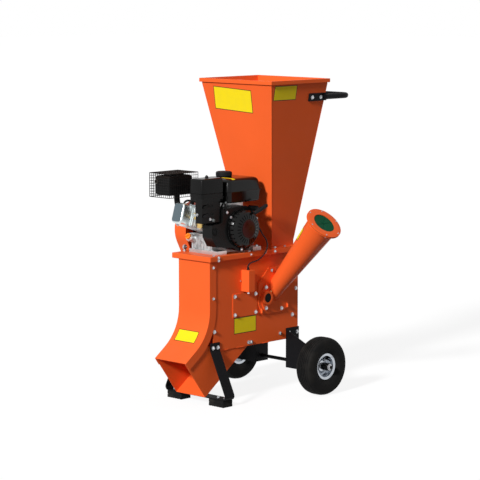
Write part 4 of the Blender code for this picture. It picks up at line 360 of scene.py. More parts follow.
@dataclass(frozen=True)
class CastMetal(Finish):
    """Sand-cast or die-cast metal with a fine rough skin."""

    colour: Triple = (0.63, 0.64, 0.64)
    roughness: float = 0.42
    skin: float = 0.00012

    def make(self, graph: SurfaceGraph) -> bpy.types.Material:
        """Mottled metal, darker where oil and dust settle, with a painted highlight on every
        corner.

        Args:
            graph: The material's node tree, with its shader.

        Returns:
            The material.
        """
        stain = graph.remap(graph.noise(26.0, 5.0), 0.46, 0.76)
        dull = tuple(channel * 0.55 for channel in self.colour)
        base = graph.mix(stain, self.colour, dull)
        # Painted highlight: every corner is given a brighter colour.
        bright = tuple(min(1.0, channel * 1.25) for channel in self.colour)
        graph.set(Base_Color=graph.mix(graph.edges(0.001), base, bright), Metallic=1.0,
                  Roughness=graph.remap(stain, 0.0, 1.0, self.roughness, self.roughness + 0.2))
        graph.bump((graph.noise(700.0, 3.0), self.skin), (graph.noise(120.0, 2.0), self.skin))
        return graph.material


@dataclass(frozen=True)
class BrightMetal(Finish):
    """Plated or machined metal with fine tool marks."""

    colour: Triple = (0.50, 0.51, 0.53)
    roughness: float = 0.24
    tarnish: Triple = (0.27, 0.25, 0.22)
    marks: Triple = (1, 8, 8)

    def make(self, graph: SurfaceGraph) -> bpy.types.Material:
        """Streaks along the tool's path and faint tarnish.

        Args:
            graph: The material's node tree, with its shader.

        Returns:
            The material.
        """
        streak = graph.noise(240.0, 3.0, self.marks)
        tarnished = graph.remap(graph.noise(38.0, 5.0), 0.55, 0.8, 0.0, 0.7)
        graph.set(Base_Color=graph.mix(tarnished, self.colour, self.tarnish), Metallic=1.0,
                  Roughness=graph.math("ADD", graph.remap(streak, 0.3, 0.7, self.roughness - 0.06,
                                                          self.roughness + 0.1),
                                       graph.math("MULTIPLY", tarnished, 0.2)))
        graph.bump((streak, 0.00002), (graph.noise(90.0, 3.0), 0.00003))
        return graph.material


@dataclass(frozen=True)
class Rubber(Finish):
    """Moulded rubber with soft dust on it."""

    colour: Triple = (0.008, 0.008, 0.008)
    dust: Triple = (0.060, 0.055, 0.048)
    dustiness: float = 0.25
    roughness: float = 0.72

    def make(self, graph: SurfaceGraph) -> bpy.types.Material:
        """Dust in patches over a fine matt skin.

        Args:
            graph: The material's node tree, with its shader.

        Returns:
            The material.
        """
        patch = graph.remap(graph.noise(22.0, 6.0), 0.45, 0.75, 0.0, self.dustiness)
        speck = graph.remap(graph.noise(420.0, 2.0), 0.6, 0.7, 0.0, self.dustiness)
        share = graph.math("MAXIMUM", patch, speck)
        graph.set(Base_Color=graph.mix(share, self.colour, self.dust), Specular_IOR_Level=0.07,
                  Roughness=graph.remap(patch, 0.0, 0.4, self.roughness, 0.92))
        graph.bump((graph.noise(1100.0, 2.0), 0.00005), (graph.noise(160.0, 2.0), 0.00006))
        return graph.material


@dataclass(frozen=True)
class HeatPaint(Finish):
    """Matt heat-proof paint, paler and browner in patches on its upward faces."""

    colour: Triple = (0.009, 0.009, 0.009)
    upward_tint: Triple = (0.034, 0.020, 0.015)

    def make(self, graph: SurfaceGraph) -> bpy.types.Material:
        """A paler brown in patches on upward faces and a powdery skin.

        Args:
            graph: The material's node tree, with its shader.

        Returns:
            The material.
        """
        # Upward faces, found from the normal alone, are mixed towards a paler brown in patches.
        up = graph.node("ShaderNodeSeparateXYZ",
                        {0: graph.node("ShaderNodeNewGeometry").outputs["Normal"]}).outputs[2]
        upward_share = graph.math("MULTIPLY", graph.remap(up, 0.2, 0.9),
                           graph.remap(graph.noise(18.0, 4.0), 0.3, 0.7, 0.3, 0.9))
        graph.set(Base_Color=graph.mix(upward_share, self.colour, self.upward_tint), Roughness=0.62,
                  Specular_IOR_Level=0.09)
        graph.bump((graph.noise(900.0, 3.0), 0.00008), (graph.noise(80.0, 3.0), 0.0001))
        return graph.material


@dataclass(frozen=True)
class Film(Finish):
    """A plain film stuck on the paint."""

    colour: Triple = (0.96, 0.74, 0.012)

    def make(self, graph: SurfaceGraph) -> bpy.types.Material:
        """A flat film, a little faded and rubbed.

        Args:
            graph: The material's node tree, with its shader.

        Returns:
            The material.
        """
        faded = tuple(min(1.0, channel * 0.9 + 0.01) for channel in self.colour)
        patch = graph.remap(graph.noise(30.0, 4.0), 0.45, 0.8, 0.0, 0.6)
        graph.set(Base_Color=graph.mix(patch, self.colour, faded), Specular_IOR_Level=0.12,
                  Roughness=graph.remap(graph.noise(55.0, 3.0), 0.3, 0.7, 0.32, 0.46))
        graph.bump((graph.noise(300.0, 1.0), 0.00002))
        return graph.material


ORANGE = SprayedPaint("orange_spray", "orange_paint")
POWDER = SprayedPaint("black_powder_coat", "black_paint", (0.005, 0.005, 0.006),
                      (0.08, 0.08, 0.08), 0.48, 0.07, 0.62, 0.00008)
GLOSS = SprayedPaint("black_enamel", "black_paint", (0.003, 0.003, 0.003), (0.04, 0.04, 0.04),
                     0.13, 0.20, 0.72, 0.00002)
SATIN = SprayedPaint("black_satin", "black_plastic", (0.005, 0.005, 0.005), (0.04, 0.04, 0.04),
                     0.24, 0.12, 0.74, 0.00003)
SILVER = BrightMetal("rim_plate", "steel", (0.48, 0.51, 0.55), 0.16, (0.22, 0.23, 0.25),
                     (1, 1, 1))
HEAT = HeatPaint("heat_paint", "black_paint")
GREY = SprayedPaint("grey_enamel", "cast_aluminium", (0.100, 0.135, 0.155), (0.2, 0.2, 0.2), 0.34,
                    0.25, 0.68, 0.00003)
PLASTIC = MouldedPlastic("black_moulding", "black_plastic", (0.007, 0.007, 0.007))
GRIP = MouldedPlastic("soft_grip", "black_plastic", (0.010, 0.010, 0.011), 0.60, 0.12, 0.00008)
CABLE = MouldedPlastic("cable_sheath", "black_plastic", (0.010, 0.010, 0.011), 0.42, 0.2, 0.00002)
AMBER = MouldedPlastic("orange_moulding", "orange_plastic", (0.98, 0.22, 0.008), 0.4, 0.3)
DIAL = MouldedPlastic("grey_moulding", "black_plastic", (0.14, 0.15, 0.15), 0.45, 0.2)
MAROON = MouldedPlastic("maroon_disc", "black_paint", (0.040, 0.004, 0.004), 0.30, 0.15, 0.00001)
CAST = CastMetal("cast_alloy", "cast_aluminium")
DARK_CAST = CastMetal("oiled_casting", "cast_aluminium", (0.30, 0.30, 0.30), 0.5)
STEEL = BrightMetal("machined_steel", "steel", (0.50, 0.50, 0.51), 0.34)
ZINC = BrightMetal("bright_zinc", "zinc_plate")
POLISHED = CastMetal("bright_casting", "cast_aluminium", (0.70, 0.78, 0.78), 0.26, 0.00004)
SCORCHED = BrightMetal("scorched_steel", "black_paint", (0.16, 0.14, 0.12), 0.5,
                       (0.20, 0.10, 0.05))
CHROME = BrightMetal("polished_plate", "zinc_plate", (0.80, 0.81, 0.83), 0.14,
                     (0.6, 0.6, 0.6), (1, 1, 1))
BRASS = BrightMetal("yellow_zinc", "cast_aluminium", (0.66, 0.46, 0.17), 0.3, (0.4, 0.25, 0.1))
TYRE = Rubber("tyre_rubber", "tyre")
PAD = Rubber("foot_rubber", "rubber", dustiness=0.4)
BELT = Rubber("belt_rubber", "rubber", (0.02, 0.02, 0.022), dustiness=0.2)
GREEN = Rubber("green_rubber_sheet", "green_rubber", (0.003, 0.070, 0.030), (0.03, 0.09, 0.05),
               0.25, 0.6)
YELLOW = Film("yellow_film", "orange_paint")
BORDER = Film("black_film", "black_paint", (0.008, 0.008, 0.009))


def soften(profile: Sequence[Point], radius: float, steps: int) -> list[Vector]:
    """A path whose inner corners are rounded.

    Args:
        profile: The path's points.
        radius: How far from a corner the rounding starts.
        steps: Pieces in each rounding.

    Returns:
        The rounded path.
    """
    path = [Vector(point) for point in profile]
    done = [path[0]]
    for before, corner, after in zip(path, path[1:], path[2:]):
        into, out = before - corner, after - corner
        reach = min(radius, into.length / 2.1, out.length / 2.1)
        first = corner + into.normalized() * reach
        last = corner + out.normalized() * reach
        for step in range(steps + 1):
            share = step / steps
            done.append(first.lerp(corner, share).lerp(corner.lerp(last, share), share))
    done.append(path[-1])
    return done


def smooth_path(route: Sequence[Point], steps: int) -> list[Vector]:
    """A smooth path through the points of a route.

    Args:
        route: The points.
        steps: Pieces between two points.

    Returns:
        The path.
    """
    points = [Vector(point) for point in route]
    ends = [points[0], *points, points[-1]]
    path = []
    for before, start, end, after in zip(ends, ends[1:], ends[2:], ends[3:]):
        for step in range(steps):
            share = step / steps
            path.append(0.5 * (2 * start + (end - before) * share
                               + (2 * before - 5 * start + 4 * end - after) * share ** 2
                               + (3 * start - before - 3 * end + after) * share ** 3))
    return [*path, points[-1]]


def arc(centre: Point, radius: float, start: float, end: float, steps: int) -> list[Vector]:
    """Flat points on an arc between two angles in degrees."""
    turns = [math.radians(start + (end - start) * step / steps) for step in range(steps + 1)]
    return [Vector((centre[0] + radius * math.cos(turn), centre[1] + radius * math.sin(turn)))
            for turn in turns]


def rounded_rectangle(low: Point, high: Point, radius: float, height: float,
                      steps: int = 6) -> list[Vector]:
    """A level ring with rounded corners.

    Args:
        low: The low corner in X and Y.
        high: The high corner in X and Y.
        radius: The corners' radius.
        height: The ring's Z.
        steps: Pieces in each corner.

    Returns:
        The ring's points.
    """
    ring = []
    corners = ((high[0] - radius, high[1] - radius, 0), (low[0] + radius, high[1] - radius, 90),
               (low[0] + radius, low[1] + radius, 180), (high[0] - radius, low[1] + radius, 270))
    for across, along, start in corners:
        ring += [Vector((*point, height))
                 for point in arc((across, along), radius, start, start + 90, steps)]
    return ring


def axis_frame(centre: Point, direction: Point) -> Matrix:
    """A frame whose Z runs along a direction from a centre."""
    turn = Vector(direction).to_track_quat("Z", "Y").to_matrix().to_4x4()
    return Matrix.Translation(Vector(centre)) @ turn


class Shape:
    """A solid in the making, in the machine's own frame."""

    def __init__(self) -> None:
        """Start with nothing."""
        self.mesh = bmesh.new()

    @classmethod
    def of_node(cls, *nodes: str) -> "Shape":
        """A merged copy of CAD nodes, with their flat faces joined up.

        Args:
            nodes: The nodes' names.

        Returns:
            The copy.
        """
        shape = cls()
        for node in nodes:
            shape.mesh.from_mesh(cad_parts[node].data)
        bmesh.ops.translate(shape.mesh, verts=shape.mesh.verts, vec=-HOME)
        bmesh.ops.remove_doubles(shape.mesh, verts=shape.mesh.verts, dist=MERGE_REACH)
        bmesh.ops.dissolve_limit(shape.mesh, angle_limit=FLAT_ANGLE,
                                 verts=shape.mesh.verts, edges=shape.mesh.edges)
        for face in shape.mesh.faces:
            face.material_index = 0
        return shape

    def box(self, low: Point, high: Point, turn: Matrix | None = None) -> "Shape":
        """Add a box between two corners, turned by a matrix after it is placed.

        Args:
            low: The low corner.
            high: The high corner.
            turn: The matrix, if any.

        Returns:
            This shape.
        """
        low, high = Vector(low), Vector(high)
        fit = Matrix.Translation((low + high) / 2) @ Matrix.Diagonal((*(high - low), 1))
        bmesh.ops.create_cube(self.mesh, size=1, matrix=(turn or Matrix.Identity(4)) @ fit)
        return self

    def loft(self, rings: Sequence[Sequence[Vector]]) -> "Shape":
        """Add a skin through rings with the same number of points, capped at both ends.

        Args:
            rings: The rings.

        Returns:
            This shape.
        """
        rows = [[self.mesh.verts.new(point) for point in ring] for ring in rings]
        for lower, upper in zip(rows, rows[1:]):
            for index in range(len(lower)):
                after = (index + 1) % len(lower)
                self.mesh.faces.new((lower[index], lower[after], upper[after], upper[index]))
        self.mesh.faces.new(list(reversed(rows[0])))
        self.mesh.faces.new(rows[-1])
        return self

    def rod(self, start: Point, end: Point, radius: float, sides: int,
            edge: float = 0.0) -> "Shape":
        """Add a round bar, with softened ends when an edge is given.

        Args:
            start: The middle of its first end.
            end: The middle of its other end.
            radius: Its radius.
            sides: Faces round it.
            edge: How far the rounding of its ends reaches.

        Returns:
            This shape.
        """
        length = (Vector(end) - Vector(start)).length
        profile = [(0, length), (radius, length), (radius, 0), (0, 0)]
        if edge:
            profile = soften(profile, edge, 2)
        return self.lathe(profile, start, Vector(end) - Vector(start), sides)

    def lathe(self, profile: Sequence[Point], centre: Point, direction: Point,
              steps: int) -> "Shape":
        """Add a turned solid.

        Args:
            profile: Points of radius and height. It starts and ends on the axis, or closes on
                itself as a ring.
            centre: Where height 0 is.
            direction: The axis.
            steps: Faces round the axis.

        Returns:
            This shape.
        """
        place = axis_frame(centre, direction)
        rows: list[list[bmesh.types.BMVert]] = []
        for radius, height in profile:
            count = steps if radius > MERGE_REACH else 1
            rows.append([self.mesh.verts.new(place @ Vector((
                radius * math.cos(math.tau * step / steps),
                radius * math.sin(math.tau * step / steps), height))) for step in range(count)])
        ring = len(rows[0]) > 1 and len(rows[-1]) > 1
        for upper, lower in list(zip(rows, rows[1:])) + ([(rows[-1], rows[0])] if ring else []):
            for step in range(steps):
                after = (step + 1) % steps
                corners = [lower[step % len(lower)], lower[after % len(lower)],
                           upper[after % len(upper)], upper[step % len(upper)]]
                unique = list(dict.fromkeys(corners))
                if len(unique) > 2:
                    self.mesh.faces.new(unique)
        return self

    def tube(self, path: Sequence[Point], radius: float, sides: int) -> "Shape":
        """Add a round tube along a path, with capped ends.

        Args:
            path: Its middle line.
            radius: Its radius.
            sides: Faces round it.

        Returns:
            This shape.
        """
        points = [Vector(point) for point in path]
        normal = (points[1] - points[0]).orthogonal().normalized()
        rings = []
        for index, point in enumerate(points):
            ahead = points[min(index + 1, len(points) - 1)] - points[max(index - 1, 0)]
            ahead.normalize()
            normal = (normal - ahead * normal.dot(ahead)).normalized()
            other = ahead.cross(normal)
            rings.append([point + normal * (radius * math.cos(math.tau * step / sides))
                          + other * (radius * math.sin(math.tau * step / sides))
                          for step in range(sides)])
        return self.loft(rings)

    def prism(self, outline: Sequence[Point], plane: Plane, start: float, end: float) -> "Shape":
        """Add a flat outline, extruded along its plane's normal from start to end.

        Args:
            outline: The outline, in its plane.
            plane: The plane.
            start: The first face's place along the normal.
            end: The second face's place along the normal.

        Returns:
            This shape.
        """
        first, second, normal = (Vector(axis) for axis in plane.value)
        rings = [[first * point[0] + second * point[1] + normal * depth for point in outline]
                 for depth in (start, end)]
        return self.loft(rings)

    def take(self, mesh: bpy.types.Mesh) -> "Shape":
        """Add a mesh, which is then removed from the file."""
        self.mesh.from_mesh(mesh)
        bpy.data.meshes.remove(mesh)
        return self

    def turned(self, matrix: Matrix) -> "Shape":
        """Turn or move everything made so far."""
        bmesh.ops.transform(self.mesh, matrix=matrix, verts=self.mesh.verts)
        return self

    def plain_mesh(self) -> bpy.types.Mesh:
        """The finished solid as a mesh with its faces pointing outwards.

        Returns:
            The mesh.
        """
        bmesh.ops.recalc_face_normals(self.mesh, faces=self.mesh.faces)
        mesh = bpy.data.meshes.new("draft")
        self.mesh.to_mesh(mesh)
        self.mesh.free()
        return mesh

    def guide(self) -> bpy.types.Object:
        """A passing object that holds the solid."""
        guide = bpy.data.objects.new("draft", self.plain_mesh())
        bpy.context.scene.collection.objects.link(guide)
        return guide

    def minus(self, tool: "Shape") -> "Shape":
        """Cut a tool out of this solid.

        Args:
            tool: The solid to take away.

        Returns:
            The solid that is left.
        """
        guide, cutter = self.guide(), tool.guide()
        cut = guide.modifiers.new("Cut", "BOOLEAN")
        cut.operation = "DIFFERENCE"
        cut.solver = "EXACT"
        cut.object = cutter
        mesh = evaluated_mesh(guide)
        bpy.data.objects.remove(cutter)
        return Shape().take(mesh)

    def dress(self, name: str, finish: Finish, body: Body = Body.FRAME,
              replaces: Iterable[str] = (), bevel: float = 0.0, segments: int = 2,
              angle: float = 28.0) -> bpy.types.Object:
        """Finish the solid as a piece.

        Args:
            name: The piece's name.
            finish: Its surface finish.
            body: The body that it rides on.
            replaces: The CAD nodes that it stands for.
            bevel: The width of its rounded edges, or 0.
            segments: Faces across a rounded edge.
            angle: Edges sharper than this many degrees are rounded, or stay sharp.

        Returns:
            The piece.
        """
        guide = self.guide()
        if bevel:
            rounding = guide.modifiers.new("Rounding", "BEVEL")
            rounding.width = bevel
            rounding.segments = segments
            rounding.limit_method = "ANGLE"
            rounding.angle_limit = math.radians(angle)
            rounding.miter_outer = "MITER_ARC"
        guide.data.shade_smooth()
        guide.data.set_sharp_from_angle(angle=math.radians(180 if bevel else angle))
        if bevel:
            guide.modifiers.new("Level", "WEIGHTED_NORMAL")
        mesh = evaluated_mesh(guide)
        mesh.materials.clear()
        mesh.materials.append(finish.material())
        return place_piece(mesh, name, body, replaces)


class Repeater(Graph):
    """A Geometry Nodes tree with named inputs, baked to a plain mesh."""

    KINDS = {float: "NodeSocketFloat", int: "NodeSocketInt"}

    def __init__(self, name: str, sizes: dict[str, float | int]) -> None:
        """Start a tree.

        Args:
            name: The tree's name.
            sizes: Its inputs, each with a first value.
        """
        super().__init__(bpy.data.node_groups.new(name, "GeometryNodeTree"))
        sockets = self.tree.interface
        sockets.new_socket("Places", in_out="INPUT", socket_type="NodeSocketGeometry")
        self.keys = {}
        for label, value in sizes.items():
            made = sockets.new_socket(label, in_out="INPUT", socket_type=self.KINDS[type(value)])
            made.default_value = value
            self.keys[label] = made.identifier
        made = sockets.new_socket("Finish", in_out="INPUT", socket_type="NodeSocketMaterial")
        self.keys["Finish"] = made.identifier
        sockets.new_socket("Geometry", in_out="OUTPUT", socket_type="NodeSocketGeometry")
        self.source = self.node("NodeGroupInput")
        self.places = self.source.outputs["Places"]

    def size(self, label: str) -> Socket:
        """A named input."""
        return self.source.outputs[label]

    def vector(self, x: object = 0.0, y: object = 0.0, z: object = 0.0) -> Socket:
        """A vector from three numbers or sockets."""
        return self.node("ShaderNodeCombineXYZ", {0: x, 1: y, 2: z}).outputs[0]

    def raised(self, solid: Socket, height: object) -> Socket:
        """A solid moved up."""
        return self.node("GeometryNodeTransform", {
            "Geometry": solid, "Translation": self.vector(z=height)}).outputs[0]

    def joined(self, *solids: Socket) -> Socket:
        """Solids as one.

        Args:
            solids: The solids' sockets.

        Returns:
            Their joined geometry.
        """
        join = self.node("GeometryNodeJoinGeometry")
        for solid in solids:
            self.tree.links.new(solid, join.inputs[0])
        return join.outputs[0]

    def facing(self) -> Socket:
        """The rotation that turns Z to each place's facing attribute.

        Returns:
            Its socket.
        """
        named = self.node("GeometryNodeInputNamedAttribute", {"Name": "facing"},
                          data_type="FLOAT_VECTOR").outputs[0]
        return self.node("FunctionNodeAlignRotationToVector", {"Vector": named},
                         axis="Z").outputs[0]

    def chance(self, low: float, high: float, seed: Socket) -> Socket:
        """A seeded random number for each place."""
        return self.node("FunctionNodeRandomValue", {2: low, 3: high, "Seed": seed},
                         data_type="FLOAT").outputs[1]

    def spun(self, rotation: Socket, angle: Socket) -> Socket:
        """A rotation turned further about its own Z."""
        turn = self.node("FunctionNodeAxisAngleToRotation", {"Axis": (0, 0, 1), "Angle": angle})
        return self.node("FunctionNodeRotateRotation", {0: rotation, 1: turn.outputs[0]},
                         rotation_space="LOCAL").outputs[0]

    def scattered(self, points: Socket, solid: Socket, rotation: Socket,
                  scale: Socket | None = None) -> Socket:
        """A solid on every point.

        Args:
            points: The points.
            solid: The solid.
            rotation: Each one's rotation.
            scale: Each one's scale, if it varies.

        Returns:
            The instances.
        """
        sockets = {"Points": points, "Instance": solid, "Rotation": rotation}
        if scale is not None:
            sockets["Scale"] = scale
        return self.node("GeometryNodeInstanceOnPoints", sockets).outputs[0]

    def close(self, geometry: Socket) -> None:
        """End the tree in plain geometry with the finish on it.

        Args:
            geometry: The geometry to end with.
        """
        real = self.node("GeometryNodeRealizeInstances", {"Geometry": geometry}).outputs[0]
        done = self.node("GeometryNodeSetMaterial", {"Geometry": real,
                                                     "Material": self.size("Finish")})
        sink = self.node("NodeGroupOutput")
        self.tree.links.new(done.outputs[0], sink.inputs[0])

    def bake(self, guide: bpy.types.Mesh, finish: Finish,
             sizes: dict[str, float | int]) -> bpy.types.Mesh:
        """Run the tree on a guide mesh.

        Args:
            guide: Points or edges in the machine's own frame.
            finish: The surface finish.
            sizes: Values for the tree's inputs.

        Returns:
            A plain mesh.
        """
        holder = bpy.data.objects.new("guide", guide)
        bpy.context.scene.collection.objects.link(holder)
        modifier = holder.modifiers.new("Repeat", "NODES")
        modifier.node_group = self.tree
        for label, value in sizes.items():
            modifier[self.keys[label]] = value
        modifier[self.keys["Finish"]] = finish.material()
        return evaluated_mesh(holder)


def guide_points(places: Sequence[tuple[Point, Point]]) -> bpy.types.Mesh:
    """A mesh of points that each face a way.

    Args:
        places: Pairs of a place and a direction.

    Returns:
        The mesh, with a facing attribute.
    """
    mesh = bpy.data.meshes.new("places")
    mesh.from_pydata([Vector(place) for place, _ in places], [], [])
    facing = mesh.attributes.new("facing", "FLOAT_VECTOR", "POINT")
    for index, (_, direction) in enumerate(places):
        facing.data[index].vector = Vector(direction).normalized()
    return mesh


def guide_paths(paths: Sequence[Sequence[Point]]) -> bpy.types.Mesh:
    """A mesh of edges along paths.

    Args:
        paths: The paths.

    Returns:
        The mesh.
    """
    points, edges = [], []
    for path in paths:
        start = len(points)
        points += [Vector(point) for point in path]
        edges += [(start + step, start + step + 1) for step in range(len(path) - 1)]
    mesh = bpy.data.meshes.new("paths")
    mesh.from_pydata(points, edges, [])
    return mesh


class Fastener(Enum):
    """Head radius, head height, washer radius, washer thickness and sides of each fastener."""

    M8 = (0.0068, 0.0052, 0.0088, 0.0016, 6)
    M6 = (0.0054, 0.0042, 0.0066, 0.0013, 6)
    M5 = (0.0043, 0.0034, 0.0054, 0.0010, 6)
    AXLE = (0.0118, 0.0070, 0.0145, 0.0020, 6)
    PAN = (0.0044, 0.0026, 0.0046, 0.0004, 14)
    SMALL_PAN = (0.0032, 0.0020, 0.0034, 0.0003, 12)


class BoltTree(Repeater):
    """Hex or round heads on washers, each turned by chance about its own axis."""

    WASHER_SIDES = 20
    SHANK_SHARE = 0.72
    CROWN_SHARE = 0.82

    def __init__(self) -> None:
        """Build the tree."""
        super().__init__("bolt_heads", {
            "Head Radius": 0.0054, "Head Height": 0.0042, "Washer Radius": 0.0066,
            "Washer Thickness": 0.0013, "Sides": 6, "Seed": BOLT_SEED})
        thick, height = self.size("Washer Thickness"), self.size("Head Height")
        washer = self.raised(self.disc(self.WASHER_SIDES, self.size("Washer Radius"), thick),
                             self.math("MULTIPLY", thick, 0.5))
        shank = self.math("MULTIPLY", height, self.SHANK_SHARE)
        head = self.raised(self.disc(self.size("Sides"), self.size("Head Radius"), shank),
                           self.math("ADD", thick, self.math("MULTIPLY", shank, 0.5)))
        crown = self.node("GeometryNodeMeshCone", {
            "Vertices": self.size("Sides"), "Radius Bottom": self.size("Head Radius"),
            "Radius Top": self.math("MULTIPLY", self.size("Head Radius"), self.CROWN_SHARE),
            "Depth": self.math("SUBTRACT", height, shank)}).outputs[0]
        crown = self.raised(crown, self.math("ADD", thick, shank))
        one = self.joined(washer, head, crown)
        turn = self.spun(self.facing(), self.chance(0.0, math.pi, self.size("Seed")))
        self.close(self.scattered(self.places, one, turn))

    def disc(self, sides: object, radius: Socket, depth: Socket) -> Socket:
        """A short cylinder."""
        return self.node("GeometryNodeMeshCylinder", {"Vertices": sides, "Radius": radius,
                                                      "Depth": depth}).outputs[0]


class BeadTree(Repeater):
    """Overlapping drops of weld along a path."""

    FLATNESS = 0.8
    SPREAD = (0.84, 1.18)

    def __init__(self) -> None:
        """Build the tree."""
        super().__init__("weld_beads", {"Bead Radius": 0.0022, "Pitch": 0.0026,
                                        "Seed": BEAD_SEED})
        curve = self.node("GeometryNodeMeshToCurve", {"Mesh": self.places}).outputs[0]
        points = self.node("GeometryNodeCurveToPoints", {
            "Curve": curve, "Length": self.size("Pitch")}, mode="LENGTH")
        drop = self.node("GeometryNodeMeshUVSphere", {
            "Segments": 8, "Rings": 5, "Radius": self.size("Bead Radius")}).outputs[0]
        drop = self.node("GeometryNodeSetShadeSmooth", {"Geometry": drop}).outputs[0]
        flat = self.vector(1.0, 1.0, self.FLATNESS)
        scale = self.node("ShaderNodeVectorMath", {
            0: flat, "Scale": self.chance(*self.SPREAD, self.size("Seed"))},
            operation="SCALE").outputs[0]
        self.close(self.scattered(points.outputs["Points"], drop, points.outputs["Rotation"],
                                  scale))


class FinTree(Repeater):
    """Flat fins stacked along a row of places."""

    def __init__(self) -> None:
        """Build the tree."""
        super().__init__("cooling_fins", {"Width": 0.093, "Height": 0.096, "Thickness": 0.0026})
        fin = self.node("GeometryNodeMeshCube", {"Size": self.vector(
            self.size("Width"), self.size("Height"), self.size("Thickness"))}).outputs[0]
        self.close(self.scattered(self.places, fin, self.facing()))


class RingTree(Repeater):
    """Blocks set round a circle, long side along the radius."""

    def __init__(self) -> None:
        """Build the tree."""
        super().__init__("ring_of_blocks", {"Count": 24, "Ring Radius": 0.03, "Long": 0.01,
                                            "Wide": 0.002, "Deep": 0.01})
        circle = self.node("GeometryNodeMeshCircle", {
            "Vertices": self.size("Count"), "Radius": self.size("Ring Radius")}).outputs[0]
        block = self.node("GeometryNodeMeshCube", {"Size": self.vector(
            self.size("Long"), self.size("Wide"), self.size("Deep"))}).outputs[0]
        outwards = self.node("GeometryNodeInputPosition").outputs[0]
        turn = self.node("FunctionNodeAlignRotationToVector", {"Vector": outwards},
                         axis="X").outputs[0]
        self.close(self.scattered(circle, block, turn))

    def blocks(self, count: int, radius: float, long: float, wide: float, deep: float,
               place: Matrix) -> Shape:
        """A ring of blocks as a shape, in a frame whose Z is the ring's axis.

        Args:
            count: How many blocks.
            radius: The ring's radius.
            long: A block's size along the radius.
            wide: Its size round the ring.
            deep: Its size along the axis.
            place: The ring's frame.

        Returns:
            The shape.
        """
        mesh = self.bake(bpy.data.meshes.new("none"), STEEL, {
            "Count": count, "Ring Radius": radius, "Long": long, "Wide": wide, "Deep": deep})
        return Shape().take(mesh).turned(place)


class WireTree(Repeater):
    """Round wires along paths."""

    def __init__(self) -> None:
        """Build the tree."""
        super().__init__("guard_wires", {"Wire Radius": 0.001, "Sides": 6})
        curve = self.node("GeometryNodeMeshToCurve", {"Mesh": self.places}).outputs[0]
        ring = self.node("GeometryNodeCurvePrimitiveCircle", {
            "Resolution": self.size("Sides"), "Radius": self.size("Wire Radius")}).outputs[0]
        wire = self.node("GeometryNodeCurveToMesh", {"Curve": curve, "Profile Curve": ring,
                                                     "Fill Caps": True}).outputs[0]
        self.close(wire)


BOLTS, BEADS, FINS, RINGS, WIRES = BoltTree(), BeadTree(), FinTree(), RingTree(), WireTree()


def bolt_down(name: str, kind: Fastener, places: Sequence[tuple[Point, Point]],
              finish: Finish = ZINC, body: Body = Body.FRAME) -> bpy.types.Object:
    """Put fasteners of one kind on their places.

    Args:
        name: The piece's name.
        kind: The fastener.
        places: Pairs of a seat and the way that the head faces.
        finish: Its surface finish.
        body: The body that they ride on.

    Returns:
        The piece.
    """
    head, height, washer, thick, sides = kind.value
    mesh = BOLTS.bake(guide_points(places), finish, {
        "Head Radius": head, "Head Height": height, "Washer Radius": washer,
        "Washer Thickness": thick, "Sides": sides})
    mesh.shade_smooth()
    mesh.set_sharp_from_angle(angle=BOLT_CREASE)
    return place_piece(mesh, name, body, ())


def weld_along(name: str, paths: Sequence[Sequence[Point]], radius: float) -> bpy.types.Object:
    """Lay painted weld beads along paths."""
    mesh = BEADS.bake(guide_paths(paths), ORANGE, {"Bead Radius": radius,
                                                   "Pitch": radius * BEAD_OVERLAP})
    return place_piece(mesh, name, Body.FRAME, ())


def bend_wires(name: str, paths: Sequence[Sequence[Point]], radius: float, finish: Finish,
               sides: int = 8) -> bpy.types.Object:
    """Bend round wires along paths.

    Args:
        name: The piece's name.
        paths: The wires' middle lines.
        radius: The wires' radius.
        finish: Their surface finish.
        sides: Faces round a wire.

    Returns:
        The piece.
    """
    mesh = WIRES.bake(guide_paths(paths), finish, {"Wire Radius": radius, "Sides": sides})
    mesh.shade_smooth()
    mesh.set_sharp_from_angle(angle=WIRE_CREASE)
    return place_piece(mesh, name, Body.FRAME, ())


def dress_node(node: str, name: str, finish: Finish, body: Body = Body.FRAME,
               **edge: float) -> bpy.types.Object:
    """Dress a copy of a CAD node as the piece that stands for it."""
    return Shape.of_node(node).dress(name, finish, body, [node], **edge)


@dataclass(frozen=True)
class FlatPlace:
    """A flat place on a sheet, for a film."""

    centre: Vector
    across: Vector
    up: Vector

    def point(self, x: float, y: float, z: float) -> Vector:
        """A point of the film, z proud of the sheet."""
        normal = self.across.cross(self.up)
        return self.centre + self.across * x + self.up * y + normal * z


@dataclass(frozen=True)
class BendPlace:
    """A place on the inside of a bend about X; sag keeps a film off the bend's flat facets."""

    x: float
    centre: Pair
    radius: float
    angle: float
    sag: float = 0.0005

    def point(self, x: float, y: float, z: float) -> Vector:
        """A point of the film.

        Args:
            x: How far along the bend's axis.
            y: How far up the sheet.
            z: How far proud of the sheet.

        Returns:
            The point.
        """
        turn = self.angle - y / self.radius
        reach = self.radius - self.sag - z
        return Vector((self.x + x, self.centre[0] + reach * math.cos(turn),
                       self.centre[1] - reach * math.sin(turn)))


@dataclass(frozen=True)
class ConePlace:
    """A place on the branch cone, for a film that follows its curve."""

    cone: "BranchCone"
    distance: float
    angle: float

    def point(self, x: float, y: float, z: float) -> Vector:
        """A point of the film, z proud of the cone."""
        distance = self.distance + y
        radius = self.cone.radius_at(distance)
        return self.cone.round_point(distance, self.angle + x / radius, radius + z)


@dataclass(frozen=True)
class TankPlace:
    """A place on the tank's top, for a film that drapes over its rounded edge."""

    tank: "FuelTank"
    centre: Pair
    lift: float = 0.0003

    def point(self, x: float, y: float, z: float) -> Vector:
        """A point of the film, z proud of the tank."""
        across, along = self.centre[0] + x, self.centre[1] + y
        inset = min(self.tank.high[0] - across, along - self.tank.low[1])
        return Vector((across, along, self.tank.top_at(inset) + self.lift + z))


FilmPlace = FlatPlace | BendPlace | ConePlace | TankPlace


